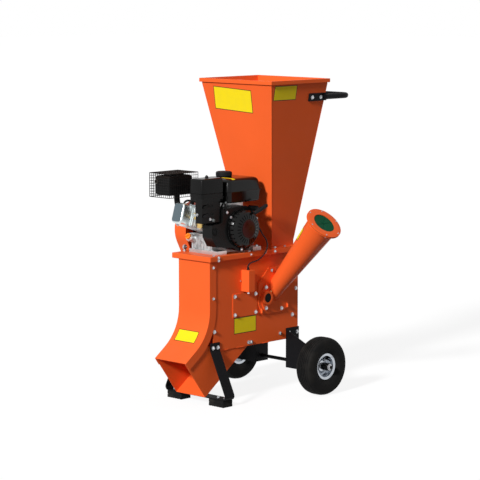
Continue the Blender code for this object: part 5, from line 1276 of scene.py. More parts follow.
def stick_film(name: str, place: FilmPlace, width: float, height: float, steps: int = 1) -> None:
    """Stick a plain yellow film with a dark margin on a place.

    Args:
        name: The piece's name.
        place: Where it goes.
        width: Its width.
        height: Its height.
        steps: Pieces along each side, so that it can follow a curve.
    """
    margin, film, lift = 0.0028, 0.0002, 0.0001
    layers = ((BORDER, "margin", 0.0, lift, lift + film),
              (YELLOW, "film", margin, lift + film, lift + film * 2))
    for finish, label, inset, low, high in layers:
        wide, tall = width - inset * 2, height - inset * 2
        rows = [(-tall / 2 + tall * step / steps, low) for step in range(steps + 1)]
        rows += [(y, high) for y, _ in reversed(rows)]
        rings = [[place.point(-wide / 2 + wide * step / steps, y, z) for y, z in rows]
                 for step in range(steps + 1)]
        Shape().loft(rings).dress(f"{name}_{label}", finish)


@dataclass
class Casing:
    """The welded casing: side plates, curved cover, chute, deck and inspection panel."""

    side_x: float = 0.0945
    bottom_z: float = 0.235
    deck_top: float = 0.656
    lip_x: float = 0.113
    lip_left_x: float = -0.129
    cover_x: float = 0.0973
    panel_face_x: float = 0.0978
    panel_y: Pair = (-0.374, -0.2435)
    panel_z: Pair = (0.3825, 0.4645)
    bend_centre: Pair = (-0.738, 0.42)
    bend_radius: float = 0.21
    sheet_edge: float = 0.0007
    nodes: tuple[str, ...] = ("body_side_right", "body_side_left", "chamber_wrap", "engine_plate",
                              "discharge_duct", "front_cover", "inspection_panel")

    def build(self) -> None:
        """Build and dress the casing."""
        for node in self.nodes:
            edge = 0.0016 if node == "engine_plate" else self.sheet_edge
            dress_node(node, f"{node}_sheet", ORANGE, bevel=edge)
        self.fasteners()
        self.seams()
        self.films()
        self.tensioner()

    def fasteners(self) -> None:
        """Bolt the panel, cover, lips and floor."""
        right, left, up = (1, 0, 0), (-1, 0, 0), (0, 0, 1)
        panel = [((self.panel_face_x, y, z), right) for y in self.panel_y for z in self.panel_z]
        bolt_down("panel_bolts", Fastener.M8, panel)
        sides = [((self.side_x, -0.0822, 0.2655), right), ((self.side_x, -0.0030, 0.3430), right),
                 ((self.side_x, -0.2680, 0.2500), right), ((self.side_x, -0.2850, 0.2500), right),
                 ((self.side_x, 0.0200, 0.4610), right), ((self.cover_x, -0.5010, 0.3230), right),
                 ((-self.side_x, -0.0822, 0.2655), left), ((-self.side_x, -0.0030, 0.5600), left),
                 ((-self.side_x, -0.2765, 0.2500), left), ((-self.cover_x, -0.5010, 0.3230), left)]
        bolt_down("casing_bolts", Fastener.M8, sides)
        lips = [((self.lip_x, y, z), right) for y, z in
                ((-0.490, 0.6500), (-0.490, 0.6375), (-0.287, 0.6455), (-0.196, 0.6455),
                 (-0.136, 0.6455), (0.010, 0.6455))]
        lips += [((self.lip_left_x, y, 0.6455), left) for y in (-0.490, -0.287, -0.136, 0.010)]
        lips += [((0.047, -0.219, self.deck_top), up), ((0.098, -0.283, self.deck_top), up),
                 ((-0.112, -0.185, self.deck_top), up), ((0.098, -0.505, self.deck_top), up)]
        bolt_down("deck_bolts", Fastener.M6, lips)
        wings = [((side * self.cover_x, -0.5065, z), (side, 0, 0))
                 for side in (1, -1) for z in (0.606, 0.470)]
        bolt_down("cover_bolts", Fastener.M6, wings)

    def seams(self) -> None:
        """Weld the floor and the rear seams."""
        along = [[(side * (self.side_x + 0.0006), y, self.bottom_z + 0.0005)
                  for y in (start, start + 0.045)]
                 for side in (1, -1) for start in (-0.46, -0.36, -0.20)]
        rear = [[(side * (self.side_x - 0.002), 0.0352, z) for z in (start, start + 0.03)]
                for side in (1, -1) for start in (0.27, 0.38, 0.49, 0.60)]
        weld_along("casing_welds", along + rear, 0.0011)

    def films(self) -> None:
        """Stick the plain films on the side plate and on the chute's bend."""
        side = FlatPlace(Vector((self.side_x, -0.3065, 0.3325)), Y_AXIS, Z_AXIS)
        stick_film("side_sticker", side, 0.139, 0.072)
        bend = BendPlace(-0.0075, self.bend_centre, self.bend_radius, math.radians(35))
        stick_film("chute_sticker", bend, 0.126, 0.058, 10)

    def tensioner(self) -> None:
        """Set the belt tensioner's eye bolts along the deck's left edge."""
        rod = Shape()
        seats = [Vector((-0.121, y, self.deck_top)) for y in (-0.468, -0.205)]
        for seat in seats:
            rod.rod(seat, seat + Z_AXIS * 0.030, 0.004, 16, edge=0.001)
            rod.lathe([(0.0105, 0.004), (0.0105, -0.004), (0.0052, -0.004), (0.0052, 0.004)],
                      seat + Z_AXIS * 0.018, X_AXIS, 32)
        rod.dress("tensioner_bolts", ZINC, bevel=0.0006)
        bolt_down("tensioner_nuts", Fastener.M8, [(seat, Z_AXIS) for seat in seats])


@dataclass
class Hopper:
    """The tall hopper with its folded rim, and the U handle behind it."""

    top_z: float = 1.410
    neck_z: float = 0.686
    throat: Triple = (0.089, -0.131, 0.010)
    rim: Triple = (0.2184, -0.270, 0.096)
    sheet: float = 0.002
    flange_width: float = 0.024
    flange_top: float = 0.6583
    handle_z: float = 1.330
    handle_radius: float = 0.0125
    handle_rear: float = 0.235
    handle_bend: float = 0.050
    flat_y: Pair = (-0.020, 0.098)
    flat_size: Pair = (0.036, 0.005)

    @property
    def flare(self) -> float:
        """The flare's height."""
        return self.top_z - self.sheet - self.neck_z

    @property
    def lean(self) -> float:
        """The side walls' angle from upright."""
        return math.atan((self.rim[0] - self.throat[0]) / self.flare)

    def share(self, height: float) -> float:
        """How far up the flare a height is, from 0 at the neck to 1."""
        return (height - self.neck_z) / self.flare

    def side_at(self, height: float, row: int) -> float:
        """Half width, front or rear of the flare at a height."""
        return self.throat[row] + (self.rim[row] - self.throat[row]) * self.share(height)

    def build(self) -> None:
        """Build and dress the hopper and its handle."""
        dress_node("hopper", "hopper_sheet", ORANGE, bevel=0.0011)
        self.welds()
        self.films()
        self.flange_bolts()
        self.handle()

    def welds(self) -> None:
        """Weld the neck to its flange and the flare's lower corners."""
        half, front, rear = self.throat
        low = self.flange_top + 0.0006
        neck = [(half, front, low), (half, rear, low), (-half, rear, low), (-half, front, low),
                (half, front, low)]
        corners = []
        for side in (1, -1):
            for row in (1, 2):
                corners.append([(side * self.side_at(z, 0), self.side_at(z, row), z)
                                for z in (self.neck_z + 0.002, self.top_z - 0.022)])
        weld_along("hopper_neck_weld", [neck], 0.0020)
        weld_along("hopper_corner_welds", corners, 0.0009)

    def films(self) -> None:
        """Stick the plain films on the front and right walls."""
        height = 1.320
        slope = math.atan((self.throat[1] - self.rim[1]) / self.flare)
        tilt = math.radians(-3.0)
        across, up = X_AXIS, Vector((0, -math.sin(slope), math.cos(slope)))
        turned = across * math.cos(tilt) + up * math.sin(tilt)
        front = FlatPlace(Vector((-0.033, self.side_at(height, 1), height)), turned,
                          up * math.cos(tilt) - across * math.sin(tilt))
        stick_film("front_sticker", front, 0.232, 0.104)
        right = FlatPlace(Vector((self.side_at(1.355, 0), -0.172, 1.355)), Y_AXIS,
                          Vector((math.sin(self.lean), 0, math.cos(self.lean))))
        stick_film("side_wall_sticker", right, 0.142, 0.066)

    def flange_bolts(self) -> None:
        """Bolt the flange to the deck."""
        half, front, rear = self.throat
        mid = self.flange_width / 2
        places = [((side * (half + mid), y, self.flange_top), Z_AXIS)
                  for side in (1, -1) for y in (front + 0.008, -0.060, rear - 0.004)]
        places += [((x, rear + mid, self.flange_top), Z_AXIS) for x in (-0.045, 0.045)]
        bolt_down("hopper_bolts", Fastener.M6, places)

    def handle(self) -> None:
        """Bend the U handle, flatten its ends and bolt them on."""
        x = self.side_at(self.handle_z + self.handle_radius, 0) + self.handle_radius + self.sheet
        start = self.flat_y[1] - self.handle_radius * 2
        path = soften([(x, start, self.handle_z), (x, self.handle_rear, self.handle_z),
                       (-x, self.handle_rear, self.handle_z), (-x, start, self.handle_z)],
                      self.handle_bend, 10)
        Shape().tube(path, self.handle_radius, 24).dress("handle_tube", POWDER,
                                                         replaces=["handle"])
        tall, thick = self.flat_size
        wall, gap = self.side_at(self.handle_z, 0), 0.0003
        flats, bolts = Shape(), []
        for side in (1, -1):
            pivot = Vector((side * wall, 0, self.handle_z))
            turn = (Matrix.Translation(pivot) @ Matrix.Rotation(side * self.lean, 4, "Y")
                    @ Matrix.Translation(-pivot))
            low = Vector((side * wall + (gap if side > 0 else -gap - thick), self.flat_y[0],
                          self.handle_z - tall / 2))
            flats.box(low, low + Vector((thick, self.flat_y[1] - self.flat_y[0], tall)), turn)
            out = turn.to_3x3() @ Vector((side, 0, 0))
            bolts += [(turn @ Vector((side * (wall + gap + thick), y, self.handle_z)), out)
                      for y in (0.000, 0.056)]
        flats.dress("handle_flats", POWDER, bevel=0.0022, segments=3)
        bolt_down("handle_bolts", Fastener.M8, bolts)


@dataclass
class BranchCone:
    """The cone for branches: tube, plate, mouth ring and slit rubber disc."""

    base: Triple = (0.0945, -0.115, 0.471)
    angle: float = math.radians(47.5)
    length: float = 0.428
    base_radius: float = 0.038
    mouth_radius: float = 0.0675
    wall: float = 0.0025
    stub: float = 0.020
    flange: float = 0.084
    sheet: float = 0.003
    plate: float = 0.006
    skin_x: float = SKIN_X
    weld_steps: int = 64
    flap_radius: float = 0.080
    petals: int = 8
    petal_tip: float = 0.0015
    petal_reach: float = 0.046
    ring_inner: float = 0.0505
    ring_bolts: int = 6
    ring_bolt_radius: float = 0.0765
    gap: float = 0.0003
    outline: tuple[Pair, ...] = (
        (-0.228, 0.415), (-0.200, 0.366), (-0.060, 0.366), (-0.032, 0.405), (-0.032, 0.530),
        (-0.060, 0.574), (-0.160, 0.574), (-0.228, 0.510))

    @property
    def direction(self) -> Vector:
        """The way that the cone points."""
        return Vector((math.cos(self.angle), 0, math.sin(self.angle)))

    def along(self, distance: float) -> Vector:
        """A point on the axis."""
        return Vector(self.base) + self.direction * distance

    def radius_at(self, distance: float) -> float:
        """The outer radius at a distance along the axis."""
        share = max(0.0, (distance - self.stub) / (self.length - self.stub))
        return self.base_radius + (self.mouth_radius - self.base_radius) * share

    def round_point(self, distance: float, turn: float, radius: float) -> Vector:
        """A point round the axis; turn 0 is the cone's upper side."""
        upper = Vector((-math.sin(self.angle), 0, math.cos(self.angle)))
        return (self.along(distance) + upper * (radius * math.cos(turn))
                + Y_AXIS * (radius * math.sin(turn)))

    def build(self) -> None:
        """Build and dress the cone and its mouth."""
        self.tube()
        self.mount()
        self.mouth()
        place = ConePlace(self, 0.331, math.radians(-12))
        stick_film("cone_sticker", place, 0.104, 0.066, 18)

    def tube(self) -> None:
        """Roll the cone with its flange and trim it against the plate."""
        top = self.length + self.sheet
        inner, below = self.base_radius - self.wall, -self.base_radius * 2
        profile = [(self.flange - 0.004, top), (self.flange, top), (self.flange, self.length),
                   (self.mouth_radius, self.length), (self.base_radius, self.stub),
                   (self.base_radius, below), (inner, below), (inner, self.stub),
                   (self.mouth_radius - self.wall, top)]
        cone = Shape().lathe(soften(profile, 0.0012, 2), self.base, self.direction, 112)
        trim = Shape().box((-0.5, -0.5, 0.0), (self.skin_x + self.plate / 2, 0.5, 1.0))
        cone.minus(trim).dress("branch_cone", ORANGE, replaces=["chipper_cone"])

    def mount(self) -> None:
        """Cut the plate, weld the cone to it and bolt it on."""
        plate = Shape().prism(self.outline, Plane.YZ, self.skin_x, self.skin_x + self.plate)
        bore = Shape().rod(self.along(-0.05), self.along(0.05), self.base_radius - self.wall, 64)
        shaft = Shape().rod((0.05, -0.186, 0.441), (0.12, -0.186, 0.441), 0.018, 40)
        plate.minus(bore).minus(shaft).dress("cone_plate", ORANGE, bevel=0.0009)
        face = self.skin_x + self.plate
        centre = self.along((face - self.base[0]) / math.cos(self.angle))
        turns = [math.tau * step / self.weld_steps for step in range(self.weld_steps + 1)]
        oval = [(face + 0.0004, centre.y + self.base_radius * math.cos(turn),
                 centre.z + self.base_radius / math.cos(self.angle) * math.sin(turn))
                for turn in turns]
        ring = [self.round_point(self.length - 0.0005, turn, self.mouth_radius + 0.0006)
                for turn in turns]
        seam = [self.round_point(distance, math.pi, self.radius_at(distance) + 0.0001)
                for distance in (0.075, self.length - 0.004)]
        weld_along("cone_foot_weld", [oval], 0.0030)
        weld_along("cone_mouth_weld", [ring], 0.0016)
        weld_along("cone_seam", [seam], 0.0009)
        ribs = Shape()
        for y, z in ((-0.2125, 0.384), (-0.046, 0.392)):
            ribs.prism([(face, z - 0.012), (face + 0.010, z - 0.009), (face + 0.010, z + 0.004),
                        (face, z + 0.012)], Plane.XZ, y - 0.0015, y + 0.0015)
        ribs.dress("cone_plate_ribs", ORANGE, bevel=0.0006)
        bolts = [((face, y, z), (1, 0, 0)) for y, z in ((-0.142, 0.559), (-0.080, 0.381),
                                                        (-0.045, 0.548))]
        bolt_down("cone_plate_bolts", Fastener.M8, bolts)

    def mouth(self) -> None:
        """Clamp the slit rubber disc under its ring."""
        start = self.length + self.sheet + self.gap
        self.rubber(start)
        low = start + self.sheet + self.gap
        middle = (self.flange + self.ring_inner) / 2
        profile = [(middle, low + self.sheet), (self.flange, low + self.sheet), (self.flange, low),
                   (self.ring_inner, low), (self.ring_inner, low + self.sheet)]
        Shape().lathe(soften(profile, 0.0008, 2), self.base, self.direction, 112).dress(
            "cone_mouth_ring", ORANGE, replaces=["cone_ring"])
        turns = [math.tau * (step + 0.5) / self.ring_bolts for step in range(self.ring_bolts)]
        screws = [(self.round_point(low + self.sheet, turn, self.ring_bolt_radius),
                   self.direction) for turn in turns]
        bolt_down("ring_screws", Fastener.SMALL_PAN, screws)
        nuts = [(self.round_point(self.length, turn, self.ring_bolt_radius), -self.direction)
                for turn in turns]
        bolt_down("ring_nuts", Fastener.M5, nuts)

    def rubber(self, start: float) -> None:
        """Cut the rubber disc into petals that curl a little at their tips.

        Args:
            start: Where the disc's back is along the cone.
        """
        disc = Shape()
        petals, tip, reach = self.petals, self.petal_tip, self.petal_reach
        rings, turns, slit = 12, 10, 0.0006
        for petal in range(petals):
            grid = []
            for ring in range(rings + 1):
                radius = tip + (reach - tip) * ring / rings
                row = []
                for step in range(turns + 1):
                    share = step / turns
                    inset = slit / radius
                    turn = math.tau * (petal + 0.5) / petals
                    turn += (share - 0.5) * (math.tau / petals - 2 * inset)
                    side = math.cos(math.pi * (share - 0.5))
                    curl = -0.0022 * (1 - radius / reach) ** 2 * (1.3 - 0.5 * side)
                    curl += 0.0005 * math.sin(petal * 2.4) * (1 - radius / reach)
                    row.append((turn, radius, curl))
                grid.append(row)
            self.petal(disc, grid, start)
        flat = [(self.flap_radius - 0.004, start + self.sheet),
                (self.flap_radius, start + self.sheet), (self.flap_radius, start),
                (reach, start), (reach, start + self.sheet)]
        disc.lathe(flat, self.base, self.direction, 96)
        disc.dress("rubber_disc", GREEN, replaces=["rubber_flap"], angle=40)

    def petal(self, disc: Shape, grid: list[list[Triple]], start: float) -> None:
        """Add one petal of the rubber disc from a grid of turn, radius and curl.

        Args:
            disc: The disc in the making.
            grid: Rows of turn, radius and curl.
            start: Where the disc's back is along the cone.
        """
        layers = [[[disc.mesh.verts.new(self.round_point(start + lift + curl, turn, radius))
                    for turn, radius, curl in row] for row in grid] for lift in (0, self.sheet)]
        rows, columns = len(grid), len(grid[0])
        for layer in layers:
            for row in range(rows - 1):
                for column in range(columns - 1):
                    disc.mesh.faces.new((layer[row][column], layer[row][column + 1],
                                         layer[row + 1][column + 1], layer[row + 1][column]))
        edge = ([(0, column) for column in range(columns)]
                + [(row, columns - 1) for row in range(1, rows)]
                + [(rows - 1, column) for column in range(columns - 2, -1, -1)]
                + [(row, 0) for row in range(rows - 2, 0, -1)])
        for here, after in zip(edge, [*edge[1:], edge[0]]):
            disc.mesh.faces.new((layers[0][here[0]][here[1]], layers[0][after[0]][after[1]],
                                 layers[1][after[0]][after[1]], layers[1][here[0]][here[1]]))


@dataclass
class RotorGroup:
    """The rotor with its bearings, knives, hammers, pulleys, belt and belt guard."""

    y: float = -0.186
    z: float = 0.441
    guard_top: Pair = (-0.335, 0.745)
    plate_face: float = 0.1008
    skin_x: float = SKIN_X
    bearing_height: float = 0.020
    bolt_offset: float = 0.047
    louvres: int = 9
    first_louvre: float = 0.20
    louvre_pitch: float = 0.075
    louvre_half: float = 0.045
    louvre_radius: float = 0.0034

    def build(self) -> None:
        """Build and dress the rotor and its drive."""
        self.bearings()
        self.turning_parts()
        self.belt()

    def bearings(self) -> None:
        """Dress and bolt the two bearing housings, with their seals and grease nipples."""
        axis = Vector((0, self.y, self.z))
        for label, side, seat in (("right", 1, self.plate_face + 0.0003),
                                  ("left", -1, -self.skin_x)):
            node = f"bearing_housing_{label}"
            dress_node(node, f"{node}_casting", ORANGE, bevel=0.0013)
            flange = seat + side * 0.006
            bolts = [((flange, self.y, self.z + up * self.bolt_offset), (side, 0, 0))
                     for up in (1, -1)]
            bolt_down(f"bearing_bolts_{label}", Fastener.M8, bolts)
            face = seat + side * (self.bearing_height - 0.0055)
            seal = [(0.0205, 0.0), (0.0205, 0.0022), (0.0160, 0.0034), (0.0156, 0.0034),
                    (0.0156, 0.0)]
            if side > 0:
                seal = [(0.0205, 0.0), (0.0205, 0.0030), (0.0172, 0.0048), (0, 0.0056)]
            Shape().lathe(soften(seal, 0.0005, 2), axis + X_AXIS * face, (side, 0, 0), 64).dress(
                f"bearing_seal_{label}", PAD)
            nipple = Vector((seat + side * 0.012, self.y + 0.0215, self.z + 0.0215))
            out = Vector((0, 1, 1)).normalized()
            Shape().lathe(soften([(0, 0.010), (0.0022, 0.010), (0.0026, 0.007), (0.0016, 0.0055),
                                  (0.0032, 0.004), (0.0032, -0.003), (0, -0.003)], 0.0005, 2),
                          nipple, out, 20).dress(f"grease_nipple_{label}", BRASS)

    def turning_parts(self) -> None:
        """Dress the shaft, drum, knives, hammers and pulleys."""
        axis = Vector((0, self.y, self.z))
        low, high = span("rotor_shaft")
        ends = soften([(0, high.x), (0.013, high.x), (0.015, high.x - 0.002),
                       (0.015, low.x + 0.002), (0.013, low.x), (0, low.x)], 0.0006, 2)
        Shape().lathe(ends, axis, X_AXIS, 64).dress("shaft_bar", STEEL, Body.ROTOR,
                                                    replaces=["rotor_shaft"])
        for node in ("rotor_drum", "knife_1", "knife_2", "rotor_pulley"):
            dress_node(node, f"{node}_steel", STEEL, Body.ROTOR, bevel=0.0006)
        for node in [f"hammer_{index}" for index in range(1, 5)]:
            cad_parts[node].data.materials.clear()
            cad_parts[node].data.materials.append(STEEL.material())
        knives = [(axis + Vector((0.0883, turn * -0.004, turn * height)), X_AXIS)
                  for turn in (1, -1) for height in (0.068, 0.122)]
        bolt_down("knife_screws", Fastener.PAN, knives, STEEL, Body.ROTOR)
        dress_node("clutch_pulley", "clutch_drum", STEEL, Body.CRANK, bevel=0.0006)

    def belt(self) -> None:
        """Dress the belt and its guard."""
        dress_node("drive_belt", "v_belt", BELT, bevel=0.0008)
        dress_node("belt_guard", "belt_guard_sheet", ORANGE, bevel=0.0018, segments=3)
        face = span("belt_guard")[0].x
        rotor, crank = Vector((self.y, self.z)), Vector(self.guard_top)
        line = (crank - rotor).normalized()
        side = Vector((-line.y, line.x))
        slots = Shape()
        for step in range(self.louvres):
            centre = rotor.lerp(crank, self.first_louvre + self.louvre_pitch * step)
            ends = [centre + side * self.louvre_half, centre - side * self.louvre_half]
            slots.tube([(face - 0.0002, *end) for end in ends], self.louvre_radius, 12)
        slots.dress("guard_louvres", ORANGE)
        bolts = [((face, self.y + along, self.z - 0.031), (-1, 0, 0)) for along in (-0.086, 0.086)]
        bolts += [((face, crank.x + along, crank.y + up), (-1, 0, 0))
                  for along, up in ((0.0, 0.098), (-0.092, 0.03))]
        bolt_down("guard_bolts", Fastener.M8, bolts)


@dataclass
class SafetySwitch:
    """The safety switch over the inspection panel, with its lead."""

    skin_x: float = SKIN_X
    y: Pair = (-0.331, -0.293)
    depth: float = 0.0475
    bottom: float = 0.484
    height: float = 0.096
    lead_radius: float = 0.003

    def build(self) -> None:
        """Build and dress the box, plunger and lead."""
        self.box()
        self.plunger()
        self.lead()

    def box(self) -> None:
        """Fold the box and screw it on."""
        low = Vector((self.skin_x, self.y[0], self.bottom))
        high = Vector((self.skin_x + self.depth, self.y[1], self.bottom + self.height))
        middle = (low + high) / 2
        bore = Shape().rod((middle.x, middle.y, self.bottom - 0.01),
                           (middle.x, middle.y, self.bottom + 0.025), 0.0043, 24)
        Shape().box(low, high).minus(bore).dress("switch_cover", ORANGE, replaces=["switch_box"],
                                                 bevel=0.0015, segments=3)
        ears = Shape()
        for y, up in ((low.y - 0.010, 0.040), (high.y, 0.012)):
            ears.box((self.skin_x, y, self.bottom + up), (self.skin_x + 0.002, y + 0.010,
                                                         self.bottom + up + 0.014))
        ears.dress("switch_ears", ORANGE, bevel=0.0006)
        screws = [((self.skin_x + 0.002, low.y - 0.0055, self.bottom + 0.047), X_AXIS),
                  ((self.skin_x + 0.002, high.y + 0.0055, self.bottom + 0.019), X_AXIS)]
        bolt_down("switch_screws", Fastener.SMALL_PAN, screws)
        slot = Shape().box((self.skin_x + 0.006, low.y + 0.005, self.bottom - 0.0004),
                           (high.x - 0.004, high.y - 0.005, self.bottom + 0.0008))
        hole = Shape().rod((middle.x, middle.y, self.bottom - 0.01),
                           (middle.x, middle.y, self.bottom + 0.01), 0.0046, 24)
        slot.minus(hole).dress("switch_slot", PLASTIC, bevel=0.0004)

    def plunger(self) -> None:
        """Turn the plunger with its wider foot."""
        low, high = span("switch_plunger")
        middle = (low + high) / 2
        foot = low.z
        profile = [(0, high.z), (0.004, high.z), (0.004, foot + 0.004), (0.0064, foot + 0.004),
                   (0.0064, foot), (0, foot)]
        Shape().lathe(soften(profile, 0.0008, 2), (middle.x, middle.y, 0), Z_AXIS, 32).dress(
            "plunger_pin", CHROME, Body.PLUNGER, replaces=["switch_plunger"])

    def lead(self) -> None:
        """Run the lead from the engine to the box with a boot at each end."""
        x, y = self.skin_x + self.depth / 2, sum(self.y) / 2
        top = self.bottom + self.height + 0.0003
        route = [(0.085, -0.2344, 0.765), (0.085, -0.2264, 0.765), (0.090, -0.2124, 0.753),
                 (0.100, -0.203, 0.728), (0.113, -0.190, 0.700), (0.120, -0.193, 0.668),
                 (0.120, -0.212, 0.640), (0.120, -0.250, 0.618), (x, y + 0.016, 0.609),
                 (x, y, top + 0.016), (x, y, top + 0.008), (x, y, top)]
        lead = Shape().tube(smooth_path(route, 8), self.lead_radius, 16)
        lead.dress("kill_lead", CABLE, replaces=["kill_cable"], angle=60)
        boot = soften([(0, 0.013), (0.0034, 0.013), (0.0046, 0.009), (0.0058, 0.001),
                       (0.0068, 0.001), (0.0068, 0), (0, 0)], 0.0006, 2)
        Shape().lathe(boot, (x, y, top), Z_AXIS, 32).dress("lead_boot", PLASTIC)
        Shape().lathe(boot, route[0], Y_AXIS, 32).dress("lead_grommet", PLASTIC)


@dataclass
class Undercarriage:
    """The strap stand with its rubber feet, the axle brackets and the two wheels."""

    wheel_x: float = 0.271
    wheel_z: float = 0.130
    hub_half: float = 0.050
    axle_end: float = 0.333
    axle_radius: float = 0.008
    threads: int = 8
    thread_pitch: float = 0.0016
    thread_depth: float = 0.0005
    rim_bolts: int = 4
    rim_bolt_radius: float = 0.0335
    valve_turn: float = math.radians(38)
    valve_radius: float = 0.043
    foot_grooves: int = 5
    strap_face: float = 0.0998
    foot_top: float = 0.0353
    foot_y: float = -0.4968

    def build(self) -> None:
        """Build and dress the stand, brackets, axle and wheels."""
        dress_node("stand", "strap_stand", POWDER, bevel=0.0016, segments=3)
        for label, side in (("right", 1), ("left", -1)):
            self.foot(label)
            bracket = f"wheel_bracket_{label}"
            dress_node(bracket, f"{bracket}_plate", POWDER, bevel=0.0012)
            self.rim(label, side)
            self.tyre(label, side)
        self.axle()
        self.fasteners()

    def foot(self, label: str) -> None:
        """Cut drainage grooves into a rubber foot.

        Args:
            label: Right or left.
        """
        node = f"foot_pad_{label}"
        low, high = span(node)
        grooves = Shape()
        for step in range(self.foot_grooves):
            x = low.x + (high.x - low.x) * (step + 1) / (self.foot_grooves + 1)
            grooves.box((x - 0.0022, low.y - 0.01, low.z - 0.01), (x + 0.0022, high.y + 0.01,
                                                                 low.z + 0.003))
        for y in (low.y, high.y):
            grooves.box((low.x - 0.01, y - 0.0018, low.z + 0.013),
                        (high.x + 0.01, y + 0.0018, low.z + 0.0165))
        Shape.of_node(node).minus(grooves).dress(f"{node}_block", PAD, replaces=[node],
                                                 bevel=0.0018, segments=3)

    def rim(self, label: str, side: int) -> None:
        """Turn a two-piece pressed rim on its hub.

        Args:
            label: Right or left.
            side: 1 for right, -1 for left.
        """
        bore, hub = 0.0083, 0.015
        profile = [(hub, 0.050), (hub, 0.0085), (0.024, 0.0075), (0.030, -0.0015), (0.038, -0.006),
                   (0.0475, -0.006), (0.0475, 0.029), (0.057, 0.032), (0.0595, 0.032),
                   (0.0595, 0.029), (0.050, 0.029), (0.050, -0.029), (0.0595, -0.029),
                   (0.0595, -0.032), (0.057, -0.032), (0.0475, -0.029), (0.0475, -0.0085),
                   (0.038, -0.0085), (0.030, -0.004), (0.024, 0.005), (hub, 0.006), (hub, -0.050),
                   (bore, -0.050), (bore, 0.050)]
        centre = (side * self.wheel_x, 0, self.wheel_z)
        body = Body.WHEEL_RIGHT if side > 0 else Body.WHEEL_LEFT
        rim = Shape().lathe(soften(profile, 0.0016, 3), centre, (side, 0, 0), 96)
        rim.dress(f"rim_{label}_pressing", SILVER, body, replaces=[f"rim_{label}"], angle=40)
        collar = [(0.0120, 0.0502), (0.0163, 0.0500), (0.0172, 0.0470), (0.0172, 0.0120),
                  (0.0152, 0.0105), (0.0152, 0.0490)]
        Shape().lathe(soften(collar, 0.0008, 2), centre, (side, 0, 0), 64).dress(
            f"hub_collar_{label}", GLOSS, body)
        reach = self.rim_bolt_radius
        turns = [math.tau * (step + 0.5) / self.rim_bolts for step in range(self.rim_bolts)]
        ring = [((centre[0] - side * 0.0005, reach * math.cos(turn),
                  self.wheel_z + reach * math.sin(turn)), (side, 0, 0)) for turn in turns]
        bolt_down(f"rim_bolts_{label}", Fastener.M6, ring, ZINC, body)
        turn = self.valve_turn
        foot = Vector((centre[0] + side * 0.004, self.valve_radius * math.cos(turn),
                       self.wheel_z + self.valve_radius * math.sin(turn)))
        stem = [(0, 0.026), (0.0030, 0.026), (0.0033, 0.024), (0.0033, 0.017), (0.0026, 0.016),
                (0.0036, 0.008), (0.0042, -0.008), (0, -0.008)]
        out = Vector((side, -0.25 * math.cos(turn), -0.25 * math.sin(turn)))
        Shape().lathe(soften(stem, 0.0006, 2), foot, out, 24).dress(f"valve_{label}", TYRE, body)

    def tyre(self, label: str, side: int) -> None:
        """Mould a tyre with ribs round its tread and on its walls.

        Args:
            label: Right or left.
            side: 1 for right, -1 for left.
        """
        half = [(0.1266, 0.0), (0.1266, 0.0012), (0.1298, 0.0018), (0.1300, 0.0080),
                (0.1264, 0.0088), (0.1264, 0.0106), (0.1299, 0.0114), (0.1296, 0.0178),
                (0.1262, 0.0186), (0.1260, 0.0204), (0.1288, 0.0212), (0.1274, 0.0278),
                (0.1244, 0.0292), (0.1240, 0.0306), (0.1250, 0.0322), (0.1206, 0.0388),
                (0.1130, 0.0425), (0.1104, 0.0428), (0.1000, 0.0450), (0.0960, 0.0444),
                (0.0900, 0.0448), (0.0800, 0.0430), (0.0700, 0.0366), (0.0640, 0.0318),
                (0.0605, 0.0292), (0.0503, 0.0287)]
        profile = [(radius, -height) for radius, height in reversed(half[1:])] + half
        body = Body.WHEEL_RIGHT if side > 0 else Body.WHEEL_LEFT
        centre = Vector((side * self.wheel_x, 0, self.wheel_z))
        tyre = Shape().lathe(soften(profile, 0.0006, 2), centre, X_AXIS, 144)
        tyre.dress(f"tyre_{label}_moulding", TYRE, body, replaces=[f"tyre_{label}"], angle=32)

    def axle(self) -> None:
        """Turn the axle with threaded ends."""
        end, radius = self.axle_end, self.axle_radius
        depth = self.thread_depth
        profile = [(0, end), (radius - 0.001, end), (radius, end - 0.001)]
        for step in range(self.threads):
            place = end - 0.0022 - step * self.thread_pitch
            profile += [(radius, place + depth), (radius - depth, place), (radius, place - depth)]
        left = [(size, -height) for size, height in reversed(profile)]
        Shape().lathe(profile + left, (0, 0, self.wheel_z), X_AXIS, 48).dress(
            "axle_bar", POWDER, replaces=["axle"], angle=25)

    def fasteners(self) -> None:
        """Bolt the stand, feet, brackets and wheels."""
        strap, brackets, feet, nuts = [], [], [], []
        for side in (1, -1):
            out, face = (side, 0, 0), side * self.strap_face
            strap += [((face, y, 0.253), out) for y in (-0.5115, -0.482)]
            brackets += [((face, y, z), out) for y, z in ((-0.028, 0.262), (0.024, 0.262),
                                                          (-0.0035, 0.2230))]
            feet += [((side * x, self.foot_y, self.foot_top), Z_AXIS) for x in (0.118, 0.158)]
            nuts.append(((side * (self.wheel_x + self.hub_half + 0.0003), 0, self.wheel_z), out))
        bolt_down("stand_bolts", Fastener.M8, strap)
        bolt_down("bracket_bolts", Fastener.M8, brackets)
        bolt_down("foot_bolts", Fastener.M8, feet)
        bolt_down("axle_nuts", Fastener.AXLE, nuts)


